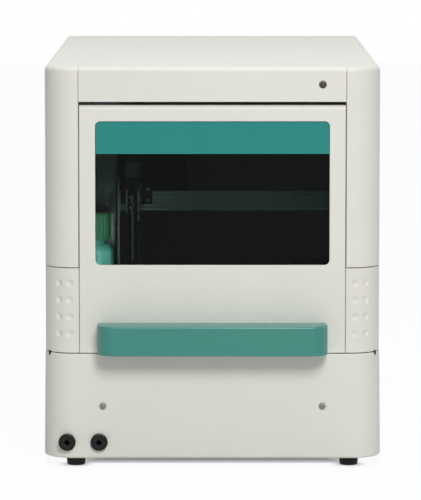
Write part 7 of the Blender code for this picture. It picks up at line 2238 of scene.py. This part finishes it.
def sky_share(floor):
    """How much of the sky the floor sees: (1 - d / sqrt(d^2 + h^2)) / 2.

    d is the way in from the case's edge, and h the height of the case's underside.
    """
    x, y, _ = floor.node("SeparateXYZ", Vector=floor.place).outputs
    beyond = []
    for value, middle, half in ((x, 0.0, HALF), (y, (FRONT + REAR) / 2, (REAR - FRONT) / 2)):
        away = floor.sum(floor.sum(value, middle, "SUBTRACT"), 0.0, "ABSOLUTE")
        beyond.append(floor.sum(away, half - CORNER, "SUBTRACT"))
    outer = [floor.sum(floor.sum(value, 0.0, "MAXIMUM"), 2.0, "POWER") for value in beyond]
    outer = floor.sum(floor.sum(*outer), 0.5, "POWER")
    inner = floor.sum(floor.sum(*beyond, "MAXIMUM"), 0.0, "MINIMUM")
    depth = floor.sum(CORNER, floor.sum(outer, inner), "SUBTRACT")
    reach = floor.sum(floor.sum(floor.sum(depth, depth, "MULTIPLY"), BASE**2), 0.5, "POWER")
    slope = floor.sum(depth, reach, "DIVIDE")
    return floor.sum(floor.sum(1.0, slope, "SUBTRACT"), 0.5, "MULTIPLY")


def white_floor():
    """A floor that stays white where it is seen, with a painted shadow in its glow under the case and close
    to its feet.
    """
    mesh = bpy.data.meshes.new("floor")
    reach = FLOOR_REACH
    corners = [(-reach, -reach, 0), (reach, -reach, 0), (reach, reach, 0), (-reach, reach, 0)]
    mesh.from_pydata(corners, [], [(0, 1, 2, 3)])
    stage = bpy.data.objects.new("floor", mesh)
    bpy.context.scene.collection.objects.link(stage)
    floor = Finish("white floor", (0.86, 0.86, 0.86), 0.6, Specular_IOR_Level=0.0)
    near = floor.nodes.new("ShaderNodeAmbientOcclusion")
    near.inputs["Distance"].default_value = CONTACT_REACH
    # Painted shadow: the camera's view of the glow is scaled by the sky share under the case and by the
    # occlusion near the feet
    painted_floor_shadow = floor.sum(floor.sum(sky_share(floor), SKY_GAIN, "MULTIPLY"), 1.0, "MINIMUM")
    glow = floor.nodes.new("ShaderNodeEmission")
    floor.link(floor.sum(painted_floor_shadow, near.outputs["AO"], "MULTIPLY"), glow.inputs["Strength"])
    tree = floor.material.node_tree
    mixed = white_where_seen(tree, floor.shader.outputs["BSDF"], glow.outputs["Emission"], FLOOR_GLOW)
    floor.link(mixed, tree.nodes["Material Output"].inputs["Surface"])
    mesh.materials.append(floor.material)


AMBIENT = 0.21
FLOOR_REACH = 6.0
FLOOR_GLOW = 0.96
# How far round its feet the painted contact shadow darkens the floor's glow
CONTACT_REACH = 0.009
# The share of the sky is raised by this, so that the painted shadow is dark only deep under the case
SKY_GAIN = 34.0

white_surroundings()
white_floor()
area_lamp("front lamp", (0.38, -2.31, 1.58), (0, 0, 0.2), (0.8, 0.8), 36.2)
area_lamp("top lamp", (0.0, -0.1, 2.2), (0, 0, 0.3), (1.4, 1.4), 19.0)
# The last two stand in, inside the case, for light that the dark pane would let through
area_lamp("chamber lamp", (0.02, -0.236, 0.322), (0.0, -0.12, 0.2), (0.02, 0.02), 0.014)
area_lamp("bottle lamp", (-0.074, -0.2435, 0.192), (-0.1115, -0.212, 0.192), (0.008, 0.09), 0.006)
